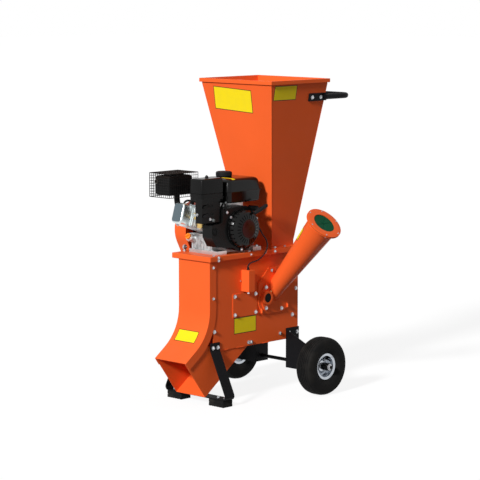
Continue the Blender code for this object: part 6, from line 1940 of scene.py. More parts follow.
@dataclass
class Engine:
    """The crankcase, finned cylinder, valve cover, spark plug and oil filler."""

    crank: Pair = CRANK_AXIS
    lean: float = math.radians(-17)
    cylinder_x: float = -0.034
    base_top: float = 0.6713
    nose_y: float = -0.461
    nose_top: float = 0.740
    cover_bolt_radius: float = 0.062
    case_ribs: int = 6
    first_rib: float = -0.072
    rib_pitch: float = 0.0205
    fins: int = 7
    first_fin: float = 0.0980
    fin_pitch: float = 0.0121
    fin_size: Triple = (0.093, 0.096, 0.0026)
    head_top: float = 0.2131
    lug_spread: Pair = (1.06, 1.04)

    @property
    def leaning(self) -> Matrix:
        """The cylinder's frame: -Y runs from the crank to the head."""
        return Matrix.Translation((0, *self.crank)) @ Matrix.Rotation(self.lean, 4, "X")

    @property
    def head(self) -> Matrix:
        """The frame of level rings round the cylinder: X, then up, then away from the crank."""
        return (self.leaning @ Matrix.Translation((self.cylinder_x, 0, 0))
                @ Matrix.Rotation(math.radians(90), 4, "X"))

    def rings(self, *rows: tuple[float, float, float, float]) -> Shape:
        """A skin through rounded rectangles of half width, half height, corner and distance."""
        loft = Shape().loft([rounded_rectangle((-wide, -tall), (wide, tall), corner, distance)
                             for wide, tall, corner, distance in rows])
        return loft.turned(self.head)

    def build(self) -> None:
        """Build and dress the engine's castings."""
        self.case()
        self.cylinder()
        self.valve_cover()
        self.plug()
        self.filler()
        for node, finish in (("crankshaft", STEEL), ("flywheel", DARK_CAST)):
            dress_node(node, f"{node}_turned", finish, Body.CRANK, bevel=0.0007)

    def case(self) -> None:
        """Bevel the crankcase, rib its front and bolt its feet."""
        dress_node("crankcase", "crankcase_casting", CAST, bevel=0.0030, segments=3)
        front, low, high = self.nose_y, self.base_top - 0.002, self.nose_top
        ribs = Shape()
        for step in range(self.case_ribs):
            x = self.first_rib + self.rib_pitch * step
            ribs.prism([(front - 0.0055, low), (front + 0.010, low), (front + 0.010, high - 0.004),
                        (front - 0.0012, high - 0.004), (front - 0.0030, high - 0.020)],
                       Plane.YZ, x - 0.0017, x + 0.0017)
        for z in (0.692, 0.716):
            ribs.box((-0.0805, front - 0.0022, z - 0.0015), (0.0400, front + 0.010, z + 0.0015))
        ribs.box((-0.0850, front - 0.0035, high - 0.0060), (0.0440, front + 0.012, high + 0.0008))
        ribs.dress("crankcase_ribs", CAST, bevel=0.0010)
        bolt_down("front_foot_bolts", Fastener.M6, [((x, -0.4680, self.base_top), Z_AXIS)
                                                    for x in (-0.0620, 0.0570)])
        feet = [((x, -0.212, self.base_top), Z_AXIS) for x in (-0.0700, 0.0735)]
        bolt_down("rear_foot_bolts", Fastener.M8, feet)
        reach = self.cover_bolt_radius
        rim = [((-0.0953, self.crank[0] + reach * math.cos(turn),
                 self.crank[1] + reach * math.sin(turn)), (-1, 0, 0))
               for turn in map(math.radians, range(30, 390, 60))]
        bolt_down("side_cover_bolts", Fastener.M6, rim)
        bolt_down("drain_plug", Fastener.M6, [((-0.0207, front, 0.7035), (0, -1, 0))], STEEL)

    def cylinder(self) -> None:
        """Stack the fins and cast the head."""
        core = self.rings((0.0365, 0.0385, 0.006, 0.0925),
                          (0.0365, 0.0385, 0.006, self.head_top))
        core.dress("cylinder_core", DARK_CAST, replaces=["cylinder_block"], bevel=0.0012)
        rows = [self.first_fin + self.fin_pitch * step for step in range(self.fins)]
        places = [(self.head @ Vector((0, 0, row)), self.head.to_3x3() @ Z_AXIS) for row in rows]
        wide, tall, thick = self.fin_size
        mesh = FINS.bake(guide_points(places), CAST, {"Width": wide, "Height": tall,
                                                      "Thickness": thick})
        Shape().take(mesh).dress("cylinder_fins", CAST, bevel=0.0009)
        head = self.rings((0.0420, 0.0455, 0.010, 0.1835), (0.0435, 0.0470, 0.010, 0.1880),
                          (0.0435, 0.0470, 0.010, 0.2105),
                          (0.0420, 0.0455, 0.010, self.head_top))
        head.dress("cylinder_head", CAST, angle=30)
        slats = Shape()
        for row in (0.1905, 0.1985):
            ring = Shape().loft([rounded_rectangle((-0.046, -0.0485), (0.046, 0.0485), 0.008,
                                                   row + step) for step in (0, 0.0028)])
            slats.take(ring.turned(self.head).plain_mesh())
        slats.dress("head_fins", CAST, bevel=0.0007)
        corners = [(self.head @ Vector((x, y, self.head_top)), self.head.to_3x3() @ Z_AXIS)
                   for x in (-0.0405, 0.0405) for y in (-0.0455, 0.0455)]
        bolt_down("head_bolts", Fastener.M6, corners)

    def valve_cover(self) -> None:
        """Cast the bright valve cover and set the dark panel in its face."""
        cover = self.rings((0.0345, 0.0485, 0.009, 0.2133), (0.0360, 0.0500, 0.010, 0.2145),
                           (0.0360, 0.0500, 0.010, 0.2195), (0.0345, 0.0485, 0.010, 0.2210),
                           (0.0335, 0.0470, 0.011, 0.2225), (0.0325, 0.0460, 0.012, 0.2250),
                           (0.0318, 0.0450, 0.012, 0.2580), (0.0310, 0.0440, 0.013, 0.2650),
                           (0.0290, 0.0420, 0.013, 0.2692), (0.0270, 0.0400, 0.012, 0.2706))
        cover.dress("valve_cover_casting", POLISHED, replaces=["valve_cover"], angle=34)
        panel = self.rings((0.0262, 0.0392, 0.011, 0.2700), (0.0262, 0.0392, 0.011, 0.2718),
                           (0.0254, 0.0384, 0.011, 0.2726))
        panel.dress("valve_cover_panel", GREY, angle=34)
        wide, tall = self.lug_spread
        corners = [(x * wide, y * tall) for x in (-0.0285, 0.0285) for y in (-0.0425, 0.0425)]
        pads = Shape()
        for x, y in corners:
            pads.rod(self.head @ Vector((x, y, 0.2180)), self.head @ Vector((x, y, 0.2300)),
                     0.0064, 28, edge=0.001)
        pads.dress("valve_cover_lugs", POLISHED)
        bolts = [(self.head @ Vector((x, y, 0.2300)), self.head.to_3x3() @ Z_AXIS)
                 for x, y in corners]
        bolt_down("valve_cover_bolts", Fastener.M6, bolts)
        breather = Shape().tube(smooth_path([
            self.head @ Vector(point) for point in ((0.004, 0.040, 0.245), (0.006, 0.053, 0.247),
                                                    (0.014, 0.062, 0.238), (0.030, 0.064, 0.218),
                                                    (0.050, 0.062, 0.204))], 6), 0.0045, 16)
        breather.dress("breather_hose", TYRE, angle=60)

    def plug(self) -> None:
        """Mould the spark-plug cap and run its lead to the coil."""
        seat = self.leaning @ Vector((self.cylinder_x, -0.198, 0.0493))
        up = self.leaning.to_3x3() @ Z_AXIS
        profile = [(0, 0.0435), (0.0062, 0.0435), (0.0085, 0.0405), (0.0088, 0.0290),
                   (0.0078, 0.0275), (0.0092, 0.0255), (0.0092, 0.0140), (0.0080, 0.0125),
                   (0.0098, 0.0100), (0.0100, 0.0020), (0.0088, 0), (0, 0)]
        Shape().lathe(soften(profile, 0.0010, 3), seat, up, 48).dress(
            "plug_cap", GRIP, replaces=["spark_plug"])
        top = seat + up * 0.034
        route = [top, top + Vector((0.014, 0.006, 0.002)), top + Vector((0.030, 0.022, -0.008)),
                 top + Vector((0.046, 0.046, -0.026)), top + Vector((0.062, 0.066, -0.040)),
                 top + Vector((0.080, 0.078, -0.050))]
        Shape().tube(smooth_path(route, 8), 0.0037, 16).dress("plug_lead", CABLE, angle=60)

    def filler(self) -> None:
        """Turn the oil filler cap with its grip."""
        seat = Vector((-0.068, -0.495, 0.728))
        tip = math.radians(27)
        out = Vector((0, -math.cos(tip), math.sin(tip)))
        profile = [(0, 0.0085), (0.0125, 0.0085), (0.0140, 0.0070), (0.0140, 0.0004),
                   (0.0130, 0), (0, 0)]
        cap = Shape().lathe(soften(profile, 0.0008, 2), seat, out, 48)
        frame_here = axis_frame(seat, out)
        turn = Matrix.Rotation(math.radians(24), 4, "Z")
        cap.box((-0.0108, -0.0024, 0.006), (0.0108, 0.0024, 0.0138), frame_here @ turn)
        cap.dress("oil_filler_cap", AMBER, Body.FILLER_CAP, replaces=["oil_cap"], bevel=0.0010,
                  angle=40)
        collar = [(0.0120, -0.0004), (0.0168, -0.0004), (0.0168, -0.0040), (0.0182, -0.0050),
                  (0.0182, -0.0110), (0.0120, -0.0110)]
        Shape().lathe(soften(collar, 0.0008, 2), seat, out, 48).dress("filler_boss", CAST)


@dataclass
class StarterSide:
    """The fan shroud, slotted recoil cover, starter handle, throttle and stop switch."""

    crank: Pair = CRANK_AXIS
    seat_x: float = 0.1053
    face_x: float = 0.147
    radius: float = 0.088
    disc_radius: float = 0.039
    wall: float = 0.0025
    slots: int = 26
    slot_ring: float = 0.0555
    slot_size: Triple = (0.0185, 0.0034, 0.040)
    vent_ring: float = 0.0860
    vent_size: Triple = (0.0140, 0.0060, 0.0160)
    lug_ring: float = 0.0925
    lug_angles: Triple = (24, 144, 264)
    grip_grooves: int = 9
    groove_pitch: float = 0.008

    def build(self) -> None:
        """Build and dress the shroud and what is on it."""
        dress_node("fan_shroud", "shroud_moulding", SATIN, bevel=0.0030, segments=4)
        self.recoil()
        self.handle()
        self.controls()
        bolts = [((self.seat_x - 0.0003, self.crank[0] + y, self.crank[1] + z), X_AXIS)
                 for y, z in ((-0.1700, -0.0480), (-0.1130, 0.0720))]
        bolt_down("shroud_bolts", Fastener.SMALL_PAN, bolts, PLASTIC)

    def recoil(self) -> None:
        """Turn the recoil cover, cut its slots and set the plain disc in it."""
        centre = Vector((0, *self.crank))
        face, wall = self.face_x, self.wall
        outer = [(0, face - 0.0016), (0.0370, face - 0.0016), (0.0405, face - 0.0016),
                 (0.0425, face), (0.0445, face - 0.0020), (0.0660, face - 0.0080),
                 (0.0725, face - 0.0090), (0.0745, face - 0.0120), (0.0820, face - 0.0200),
                 (0.0865, face - 0.0300), (0.0880, face - 0.0400), (0.0880, self.seat_x)]
        inner = [(max(0.0, size - wall), height - wall)
                 for size, height in reversed(outer[4:-1])]
        profile = outer + [(self.radius - wall, self.seat_x)] + inner + [(0, face - 0.0045)]
        shell = Shape().lathe(soften(profile, 0.0012, 3), centre, X_AXIS, 104)
        cutter = RINGS.blocks(self.slots, self.slot_ring, *self.slot_size,
                              axis_frame(centre + X_AXIS * face, X_AXIS))
        shell = shell.minus(cutter)
        vents = RINGS.blocks(self.slots, self.vent_ring, *self.vent_size,
                             axis_frame(centre + X_AXIS * (self.seat_x + 0.0165), X_AXIS))
        shell.minus(vents).dress("recoil_shell", GLOSS, replaces=["recoil_cover"], angle=32)
        disc = [(0, face - 0.0002), (self.disc_radius - 0.002, face - 0.0002),
                (self.disc_radius, face - 0.0010), (self.disc_radius, face - 0.0020),
                (0, face - 0.0020)]
        Shape().lathe(soften(disc, 0.0004, 2), centre, X_AXIS, 96).dress("recoil_disc", MAROON)
        pulley = [(0, face - 0.014), (0.050, face - 0.014), (0.066, face - 0.020),
                  (0.066, face - 0.026), (0, face - 0.026)]
        Shape().lathe(soften(pulley, 0.001, 2), centre, X_AXIS, 72).dress("recoil_pulley", PLASTIC)
        places = [(self.seat_x + 0.0035, centre.y + self.lug_ring * math.cos(turn),
                   centre.z + self.lug_ring * math.sin(turn))
                  for turn in map(math.radians, self.lug_angles)]
        lugs = Shape()
        for place in places:
            lugs.rod((self.seat_x - 0.0003, *place[1:]), place, 0.0082, 28, edge=0.0008)
        lugs.dress("recoil_lugs", GLOSS)
        bolt_down("recoil_bolts", Fastener.M6, [(place, X_AXIS) for place in places])

    def handle(self) -> None:
        """Mould the starter handle."""
        seat = Vector((0.1273, -0.264, 0.848))
        lean = math.radians(20)
        along = Vector((0, math.cos(lean), math.sin(lean)))
        middle = seat + X_AXIS * 0.0225
        stem = [(0, 0.0180), (0.0048, 0.0180), (0.0060, 0.0060), (0.0052, 0.0045),
                (0.0060, 0.0030), (0.0060, 0), (0, 0)]
        grip = Shape().lathe(soften(stem, 0.0008, 2), seat, X_AXIS, 32)
        profile = [(0, 0.042), (0.0050, 0.0418), (0.0078, 0.0385)]
        for step in range(self.grip_grooves):
            place = 0.032 - step * self.groove_pitch
            profile += [(0.0085, place + 0.0024), (0.0085, place + 0.0012), (0.0077, place),
                        (0.0085, place - 0.0012)]
        profile += [(0.0078, -0.0385), (0.0050, -0.0418), (0, -0.042)]
        grip.lathe(profile, middle, along, 32)
        grip.dress("starter_grip", GRIP, Body.STARTER, replaces=["recoil_handle"], angle=40)
        eye = [(0.0062, 0.0002), (0.0100, 0.0002), (0.0108, -0.0010), (0.0100, -0.0030),
               (0.0062, -0.0030)]
        Shape().lathe(soften(eye, 0.0006, 2), seat, X_AXIS, 40).dress("rope_eyelet", PLASTIC)

    def controls(self) -> None:
        """Dress the stop switch and the throttle lever."""
        dress_node("engine_switch", "stop_switch", PLASTIC, Body.IGNITION, bevel=0.0008)
        ring = [(0.0132, 0.0002), (0.0170, 0.0002), (0.0176, 0.0016), (0.0166, 0.0030),
                (0.0136, 0.0030)]
        Shape().lathe(soften(ring, 0.0006, 2), (self.seat_x - 0.0004, -0.500, 0.762), X_AXIS,
                      48).dress("stop_switch_ring", PLASTIC)
        dress_node("throttle_lever", "throttle_plate", PLASTIC, Body.THROTTLE, bevel=0.0007)
        knob = [(0, 0.0042), (0.0040, 0.0042), (0.0052, 0.0030), (0.0052, 0.0010),
                (0.0046, 0), (0, 0)]
        Shape().lathe(soften(knob, 0.0006, 2), (0.1125, -0.4447, 0.8863), X_AXIS, 32).dress(
            "throttle_knob", DIAL, Body.THROTTLE)
        bolt_down("throttle_pivot", Fastener.M6, [((0.1085, -0.433, 0.843), X_AXIS)], ZINC,
                  Body.THROTTLE)


@dataclass
class FuelTank:
    """The pressed fuel tank with its seam and ribbed cap."""

    low: Triple = (-0.085, -0.425, 0.879)
    high: Triple = (0.110, -0.213, 0.985)
    seam: float = 0.930
    lip: float = 0.004
    bend: float = 0.020
    cap_centre: Pair = (-0.021, -0.323)
    cap_radius: float = 0.036
    cap_ribs: int = 30
    rib_size: Triple = (0.0044, 0.0026, 0.0135)
    cap_span: Pair = (0.9853, 1.007)
    brow: tuple[Pair, ...] = (
        (0.0074, 0.0170), (0.0100, 0.0095), (0.0140, 0.0045), (0.0200, 0.0014), (0.0290, 0.0003),
        (0.0380, 0.0))

    def top_at(self, inset: float) -> float:
        """The height of the rounded top at a distance in from the tank's side.

        Args:
            inset: The distance.

        Returns:
            The height.
        """
        for (out, fall), (into, rise) in zip(self.brow, self.brow[1:]):
            if inset < into:
                return self.high[2] - fall - (rise - fall) * (inset - out) / (into - out)
        return self.high[2]

    def ring(self, inset: float, height: float) -> list[Vector]:
        """A level ring round the tank."""
        return rounded_rectangle((self.low[0] + inset, self.low[1] + inset),
                                 (self.high[0] - inset, self.high[1] - inset), self.bend,
                                 height, 8)

    def build(self) -> None:
        """Build and dress the tank, seam and cap."""
        low, high, seam = self.low[2], self.high[2], self.seam
        rows = [self.ring(0.0140, low), self.ring(0.0085, low + 0.0012),
                self.ring(0.0052, low + 0.0042), self.ring(0.0042, low + 0.0090),
                self.ring(0.0006, seam - 0.0030), self.ring(0.0, seam - 0.0014),
                self.ring(-self.lip + 0.0004, seam - 0.0011), self.ring(-self.lip, seam - 0.0006),
                self.ring(-self.lip, seam + 0.0006), self.ring(-self.lip + 0.0004, seam + 0.0011),
                self.ring(0.0, seam + 0.0014), self.ring(0.0010, seam + 0.0034)]
        rows += [self.ring(inset, high - drop) for inset, drop in self.brow]
        Shape().loft(rows).dress("tank_pressing", GLOSS, replaces=["fuel_tank"], angle=40)
        self.cap()
        stick_film("tank_sticker", TankPlace(self, (0.060, -0.379)), 0.078, 0.024, 48)

    def cap(self) -> None:
        """Turn the cap and set its ribs."""
        low, high = self.cap_span
        centre = (*self.cap_centre, 0)
        profile = [(0, high - 0.0010), (0.0215, high - 0.0010), (0.0240, high), (0.0300, high),
                   (0.0345, high - 0.0022), (self.cap_radius - 0.0008, high - 0.0065),
                   (self.cap_radius - 0.0008, low + 0.0035), (0.0340, low), (0, low)]
        cap = Shape().lathe(soften(profile, 0.0012, 3), centre, Z_AXIS, 96)
        ribs = RINGS.blocks(self.cap_ribs, self.cap_radius - 0.0022, *self.rib_size,
                            axis_frame((*self.cap_centre, (low + high) / 2 - 0.0012), Z_AXIS))
        cap.take(ribs.plain_mesh())
        cap.dress("ribbed_cap", GRIP, Body.FUEL_CAP, replaces=["tank_cap"], bevel=0.0005, angle=35)


@dataclass
class Intake:
    """The air filter, its panel and levers, the carburettor, its linkage and fuel hose."""

    x: Pair = (0.014, 0.094)
    y: Pair = (-0.570, -0.437)
    base_z: float = 0.900
    parting: float = 0.930
    top: float = 0.995
    panel_z: Pair = (0.802, 0.910)
    corner: float = 0.010

    def ring(self, inset: float, height: float) -> list[Vector]:
        """A level ring round the filter."""
        return rounded_rectangle((self.x[0] + inset, self.y[0] + inset),
                                 (self.x[1] - inset, self.y[1] - inset), self.corner, height, 8)

    def build(self) -> None:
        """Build and dress the intake."""
        self.filter()
        self.panel()
        self.carburettor()
        self.linkage()

    def filter(self) -> None:
        """Mould the filter's base and cover with a groove between them."""
        top, parting = self.top, self.parting
        cover = Shape().loft([self.ring(0.0012, parting), self.ring(0.0, parting + 0.0012),
                              self.ring(0.0010, top - 0.0090), self.ring(0.0022, top - 0.0042),
                              self.ring(0.0048, top - 0.0014), self.ring(0.0085, top - 0.0003),
                              self.ring(0.0130, top)])
        cover.dress("filter_cover", SATIN, replaces=["air_filter_cover"], angle=40)
        base = Shape().loft([self.ring(0.0030, self.base_z), self.ring(0.0008, self.base_z + 0.002),
                             self.ring(0.0, parting - 0.0020), self.ring(0.0012, parting - 0.0008),
                             self.ring(0.0012, parting)])
        base.dress("filter_base", SATIN, replaces=["air_filter_base"], angle=40)
        centre = (sum(self.x) / 2, sum(self.y) / 2, self.top)
        stud = [(0, 0.0118), (0.0030, 0.0118), (0.0036, 0.0108), (0.0036, 0.0088),
                (0.0070, 0.0080), (0.0070, 0.0020), (0.0090, 0.0012), (0.0090, -0.0004),
                (0, -0.0004)]
        Shape().lathe(soften(stud, 0.0006, 2), centre, Z_AXIS, 24).dress("filter_knob", GRIP)

    def panel(self) -> None:
        """Mould the panel under the filter with its lever slots."""
        low, high = self.panel_z
        thick = 0.006
        outline = [(self.x[1], self.y[1] - 0.022), (self.x[1], self.y[0]), (0.052, self.y[0]),
                   (0.052, self.y[0] + 0.004), (self.x[1] - thick, self.y[0] + 0.004),
                   (self.x[1] - thick, self.y[1] - 0.022)]
        panel = Shape().prism(outline, Plane.XY, low, high)
        slots = Shape()
        for z in (0.878, 0.840):
            slots.box((self.x[1] - 0.003, -0.566, z - 0.0055), (self.x[1] + 0.01, -0.505,
                                                              z + 0.0035))
        panel.minus(slots).dress("lever_panel", SATIN, bevel=0.0020, segments=3)
        for node, label, body, finish in (
                ("choke_lever", "choke_arm", Body.CHOKE, PLASTIC),
                ("fuel_lever", "fuel_arm", Body.FUEL_TAP, GRIP)):
            dress_node(node, label, finish, body, bevel=0.0008)
        bolt_down("panel_bolts_front", Fastener.M6, [((self.x[1], -0.5230, 0.8190), X_AXIS),
                                                     ((0.0640, self.y[0], 0.8400), (0, -1, 0))])
        bolt_down("lever_pivots", Fastener.SMALL_PAN, [((self.x[1] + 0.0034, -0.530, z), X_AXIS)
                                                       for z in (0.878, 0.840)], PLASTIC)
        knob = [(0, 0.0100), (0.0050, 0.0100), (0.0062, 0.0088), (0.0062, 0.0030),
                (0.0074, 0.0020), (0.0074, 0), (0, 0)]
        Shape().lathe(soften(knob, 0.0007, 2), (self.x[1] - 0.0004, -0.5060, 0.8130), X_AXIS,
                      32).dress("tap_knob", DIAL)

    def carburettor(self) -> None:
        """Dress the carburettor's body and turn its brass bowl."""
        dress_node("carburettor", "carburettor_casting", CAST, bevel=0.0016, segments=3)
        centre = (0.0295, -0.5185, 0)
        bowl = [(0, 0.8030), (0.0165, 0.8030), (0.0176, 0.8015), (0.0176, 0.7995),
                (0.0162, 0.7980), (0.0160, 0.7820), (0.0138, 0.7762), (0.0085, 0.7735),
                (0.0052, 0.7730), (0.0052, 0.7696), (0, 0.7696)]
        Shape().lathe(soften(bowl, 0.0010, 3), centre, Z_AXIS, 64).dress("float_bowl", BRASS)
        bits = Shape()
        bits.rod((0.0240, -0.5405, 0.820), (0.0240, -0.5470, 0.820), 0.0062, 24, edge=0.0010)
        bits.rod((0.0420, -0.5405, 0.828), (0.0420, -0.5450, 0.828), 0.0040, 20, edge=0.0008)
        bits.box((0.0130, -0.5440, 0.8388), (0.0490, -0.4970, 0.8418))
        bits.dress("carburettor_fittings", BRASS, bevel=0.0006)

    def linkage(self) -> None:
        """Bend the governor rod, wind its spring, cut its arm and run the fuel hose."""
        rod = [(0.0250, -0.500, 0.8430), (0.0220, -0.490, 0.8500), (0.0180, -0.476, 0.8620),
               (0.0168, -0.460, 0.8700), (0.0168, -0.446, 0.8690), (0.0165, -0.436, 0.8640)]
        bend_wires("governor_rod", [smooth_path(rod, 6)], 0.0011, ZINC)
        start, end = Vector((0.0240, -0.501, 0.846)), Vector((0.0165, -0.446, 0.8745))
        along, turns, steps = end - start, 16, 12
        side = along.orthogonal().normalized()
        other = along.normalized().cross(side)
        coil = [start + along * (step / (turns * steps))
                + side * (0.0028 * math.cos(math.tau * step / steps))
                + other * (0.0028 * math.sin(math.tau * step / steps))
                for step in range(turns * steps + 1)]
        bend_wires("governor_spring", [coil], 0.0005, CHROME)
        arm = Shape().prism([(-0.444, 0.880), (-0.436, 0.880), (-0.426, 0.815), (-0.433, 0.790),
                             (-0.442, 0.815)], Plane.YZ, 0.0142, 0.0164)
        arm.dress("governor_arm", ZINC, bevel=0.0006)
        hose = [(0.0500, -0.512, 0.822), (0.0600, -0.506, 0.820), (0.0700, -0.488, 0.822),
                (0.0740, -0.462, 0.834), (0.0700, -0.436, 0.856), (0.0640, -0.412, 0.880)]
        Shape().tube(smooth_path(hose, 8), 0.0042, 16).dress("fuel_hose", TYRE, angle=60)


@dataclass
class Exhaust:
    """The muffler with its pipe, and the wire cage round it."""

    low: Triple = (-0.183, -0.592, 0.910)
    high: Triple = (-0.087, -0.447, 0.997)
    cage_low: Triple = (-0.199, -0.608, 0.902)
    cage_high: Triple = (-0.071, -0.431, 1.010)
    pitch: float = 0.012
    wire: float = 0.0010
    edge_wire: float = 0.0015
    top_holes: tuple[int, int] = (8, 12)
    port: Triple = (-0.0808, -0.5181, 0.8398)
    pipe_radius: float = 0.013
    top_ribs: int = 4
    rib_pitch: float = 0.028
    tab_y: Pair = (-0.560, -0.478)

    def build(self) -> None:
        """Build and dress the muffler, pipe and cage."""
        self.muffler()
        self.cage()

    def muffler(self) -> None:
        """Press the muffler's two shells and bend its pipe."""
        low, high = Vector(self.low), Vector(self.high)
        Shape().box(low, high).dress("muffler_shell", HEAT, replaces=["muffler"], bevel=0.014,
                                     segments=5)
        middle = (low.z + high.z) / 2
        seam = Shape().loft([rounded_rectangle((low.x - grow, low.y - grow),
                                               (high.x + grow, high.y + grow), 0.015, height)
                             for grow, height in ((0.0005, middle - 0.0016),
                                                  (0.0034, middle - 0.0012),
                                                  (0.0034, middle + 0.0012),
                                                  (0.0005, middle + 0.0016))])
        seam.dress("muffler_seam", HEAT, angle=35)
        foot = Vector(self.port)
        pipe = smooth_path([foot + Vector((0.006, 0, 0)), foot + Vector((-0.012, 0, 0.004)),
                            foot + Vector((-0.029, 0, 0.022)), foot + Vector((-0.036, 0, 0.050)),
                            foot + Vector((-0.036, 0, 0.084))], 6)
        Shape().tube(pipe, self.pipe_radius, 32).dress("exhaust_pipe", HEAT, angle=60)
        flange = Shape().box(foot + Vector((0.000, -0.024, -0.013)),
                             foot + Vector((0.0055, 0.024, 0.013)))
        flange.dress("exhaust_flange", SCORCHED, bevel=0.0030, segments=3)
        bolt_down("exhaust_nuts", Fastener.M6,
                  [(foot + Vector((0.0, y, 0)), (-1, 0, 0)) for y in (-0.0185, 0.0185)], STEEL)
        tail = Vector((low.x + 0.022, low.y, high.z - 0.026))
        Shape().lathe([(0.0090, 0.011), (0.0090, -0.004), (0.0072, -0.004), (0.0072, 0.011)],
                      tail, (0, -1, 0), 40).dress("tail_pipe", SCORCHED)
        ribs = Shape()
        for step in range(self.top_ribs):
            y = low.y + 0.030 + self.rib_pitch * step
            ribs.box((low.x + 0.016, y - 0.003, high.z - 0.001), (high.x - 0.016, y + 0.003,
                                                                 high.z + 0.0018))
        ribs.dress("muffler_ribs", HEAT, bevel=0.0012)

    def steps(self, size: float) -> list[float]:
        """Even places along a side, about a pitch apart."""
        count = round(size / self.pitch)
        return [size * step / count for step in range(1, count)]

    def cage(self) -> None:
        """Weld the cage: uprights, rails, a stronger edge wire and a perforated top."""
        inset = Vector((self.edge_wire,) * 3)
        low, high = Vector(self.cage_low) + inset, Vector(self.cage_high) - inset
        across, deep, tall = high - low
        wires = [[(low.x, high.y, low.z + up), (low.x, low.y, low.z + up),
                  (high.x, low.y, low.z + up), (high.x, high.y, low.z + up)]
                 for up in self.steps(tall)]
        wires += [[(low.x + over, low.y, low.z), (low.x + over, low.y, high.z),
                   (low.x + over, high.y, high.z)] for over in self.steps(across)]
        wires += [[(low.x, low.y + back, low.z), (low.x, low.y + back, high.z),
                   (high.x, low.y + back, high.z), (high.x, low.y + back, low.z)]
                  for back in self.steps(deep)]
        bend_wires("cage_wires", wires, self.wire, HEAT, 6)
        corners = [(low.x, low.y), (high.x, low.y)]
        edges = [[(x, y, low.z), (x, y, high.z)] for x, y in corners]
        edges += [[(low.x, high.y, z), (low.x, low.y, z), (high.x, low.y, z), (high.x, high.y, z)]
                  for z in (low.z, high.z)]
        edges += [[(low.x, high.y, low.z), (low.x, high.y, high.z), (high.x, high.y, high.z),
                   (high.x, high.y, low.z)]]
        bend_wires("cage_edge", edges, self.edge_wire, HEAT)
        sheet = Shape().box((low.x + 0.001, low.y + 0.001, high.z - 0.0022),
                            (high.x - 0.001, high.y - 0.001, high.z - 0.0012))
        holes = Shape()
        rows, columns = self.top_holes
        for row in range(rows):
            for column in range(columns):
                x = low.x + 0.010 + row * (across - 0.020) / (rows - 1)
                y = low.y + 0.012 + column * (deep - 0.024) / (columns - 1)
                holes.rod((x, y, high.z - 0.01), (x, y, high.z + 0.01), 0.0032, 10)
        sheet.minus(holes).dress("cage_top", HEAT, replaces=["muffler_guard"], angle=35)
        tabs = Shape()
        for y in self.tab_y:
            tabs.box((-0.147, y - 0.007, self.high[2] - 0.004), (-0.123, y + 0.007,
                                                               high.z - 0.0010))
        tabs.dress("cage_tabs", HEAT, bevel=0.0010)


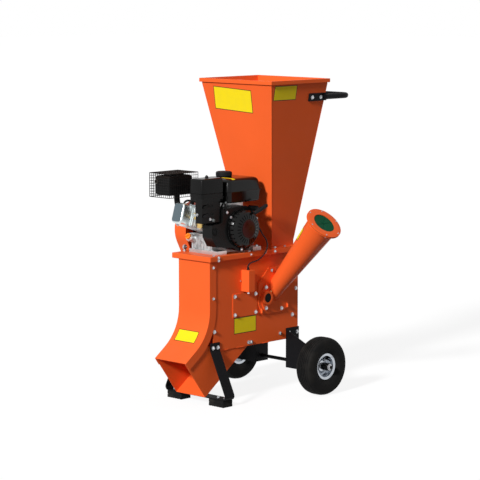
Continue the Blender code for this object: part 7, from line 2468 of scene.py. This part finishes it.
@dataclass
class Studio:
    """The plain floor, the lamps and the camera."""

    place: Triple = (6.4875, -6.6682, 1.890)
    forward: Triple = (-0.6965, 0.7063, -0.1271)
    lens: float = 158.25
    sun_height: float = math.radians(27)
    sun_turn: float = math.radians(12)
    sun_strength: float = 3.45
    sun_softness: float = math.radians(8)
    ambient: float = 0.24
    shadow_share: float = 0.24
    floor_reach: float = 40.0
    floor_glow: float = 1.14
    floor_shade: float = 0.8
    floor_bounce: float = 0.16

    def build(self) -> None:
        """Set up the view, the light and the floor."""
        bpy.context.scene.view_settings.view_transform = "Standard"
        self.camera()
        self.light()
        self.floor()

    def camera(self) -> None:
        """Stand the camera where the photograph was taken."""
        data = bpy.data.cameras.new("camera")
        data.sensor_width, data.lens, data.sensor_fit = 36.0, self.lens, "HORIZONTAL"
        data.clip_end = 100.0
        camera = bpy.data.objects.new("camera", data)
        ahead = Vector(self.forward).normalized()
        right = ahead.cross(Z_AXIS).normalized()
        up = right.cross(ahead)
        turn = Matrix((right, up, -ahead)).transposed().to_4x4()
        camera.matrix_world = Matrix.Translation(Vector(self.place)) @ turn
        bpy.context.scene.collection.objects.link(camera)
        bpy.context.scene.camera = camera

    def light(self) -> None:
        """Light the object with a soft sun and an even sky that shows white."""
        data = bpy.data.lights.new("sun", "SUN")
        data.energy, data.angle = self.sun_strength, self.sun_softness
        sun = bpy.data.objects.new("sun", data)
        towards = Vector((math.sin(self.sun_turn) * math.cos(self.sun_height),
                          -math.cos(self.sun_turn) * math.cos(self.sun_height),
                          math.sin(self.sun_height)))
        sun.matrix_world = towards.to_track_quat("Z", "Y").to_matrix().to_4x4()
        bpy.context.scene.collection.objects.link(sun)
        world = bpy.data.worlds.new("sky")
        world.use_nodes = True
        bpy.context.scene.world = world
        graph = Graph(world.node_tree)
        rays = graph.node("ShaderNodeLightPath").outputs
        seen = graph.math("MAXIMUM", rays["Is Camera Ray"],
                          graph.math("MAXIMUM", rays["Is Glossy Ray"],
                                     rays["Is Transmission Ray"]))
        level = graph.node("ShaderNodeMapRange", {0: seen, 3: self.ambient, 4: 1.0}).outputs[0]
        sky = world.node_tree.nodes["Background"]
        sky.inputs["Color"].default_value = (1, 1, 1, 1)
        world.node_tree.links.new(level, sky.inputs["Strength"])

    def floor(self) -> None:
        """Lay a white floor that keeps a faint shadow."""
        mesh = bpy.data.meshes.new("floor")
        reach = self.floor_reach
        mesh.from_pydata([(-reach, -reach, 0), (reach, -reach, 0), (reach, reach, 0),
                          (-reach, reach, 0)], [], [(0, 1, 2, 3)])
        floor = bpy.data.objects.new("floor", mesh)
        bpy.context.scene.collection.objects.link(floor)
        material = bpy.data.materials.new("white_floor")
        material.use_nodes = True
        graph = Graph(material.node_tree)
        graph.tree.nodes.clear()
        glow = graph.node("ShaderNodeEmission", {"Color": (1, 1, 1, 1),
                                                 "Strength": self.floor_glow})
        matt = graph.node("ShaderNodeBsdfDiffuse", {"Color": (*(self.floor_shade,) * 3, 1)})
        blend = graph.node("ShaderNodeMixShader", {0: self.shadow_share, 1: glow.outputs[0],
                                                   2: matt.outputs[0]})
        plain = graph.node("ShaderNodeBsdfDiffuse", {"Color": (*(self.floor_bounce,) * 3, 1)})
        bounced = graph.node("ShaderNodeLightPath").outputs["Is Diffuse Ray"]
        both = graph.node("ShaderNodeMixShader", {0: bounced, 1: blend.outputs[0],
                                                  2: plain.outputs[0]})
        sink = graph.node("ShaderNodeOutputMaterial")
        graph.tree.links.new(both.outputs[0], sink.inputs[0])
        material.cycles.emission_sampling = "NONE"
        mesh.materials.append(material)


def main() -> None:
    """Build every sub-assembly in order."""
    logging.basicConfig(level=logging.INFO, format="%(name)s %(message)s")
    for assembly in (Studio(), Casing(), Hopper(), BranchCone(), RotorGroup(), SafetySwitch(),
                     Undercarriage(), Engine(), StarterSide(), FuelTank(), Intake(), Exhaust()):
        LOG.info("building %s", type(assembly).__name__)
        assembly.build()


if __name__ == "__main__":
    main()
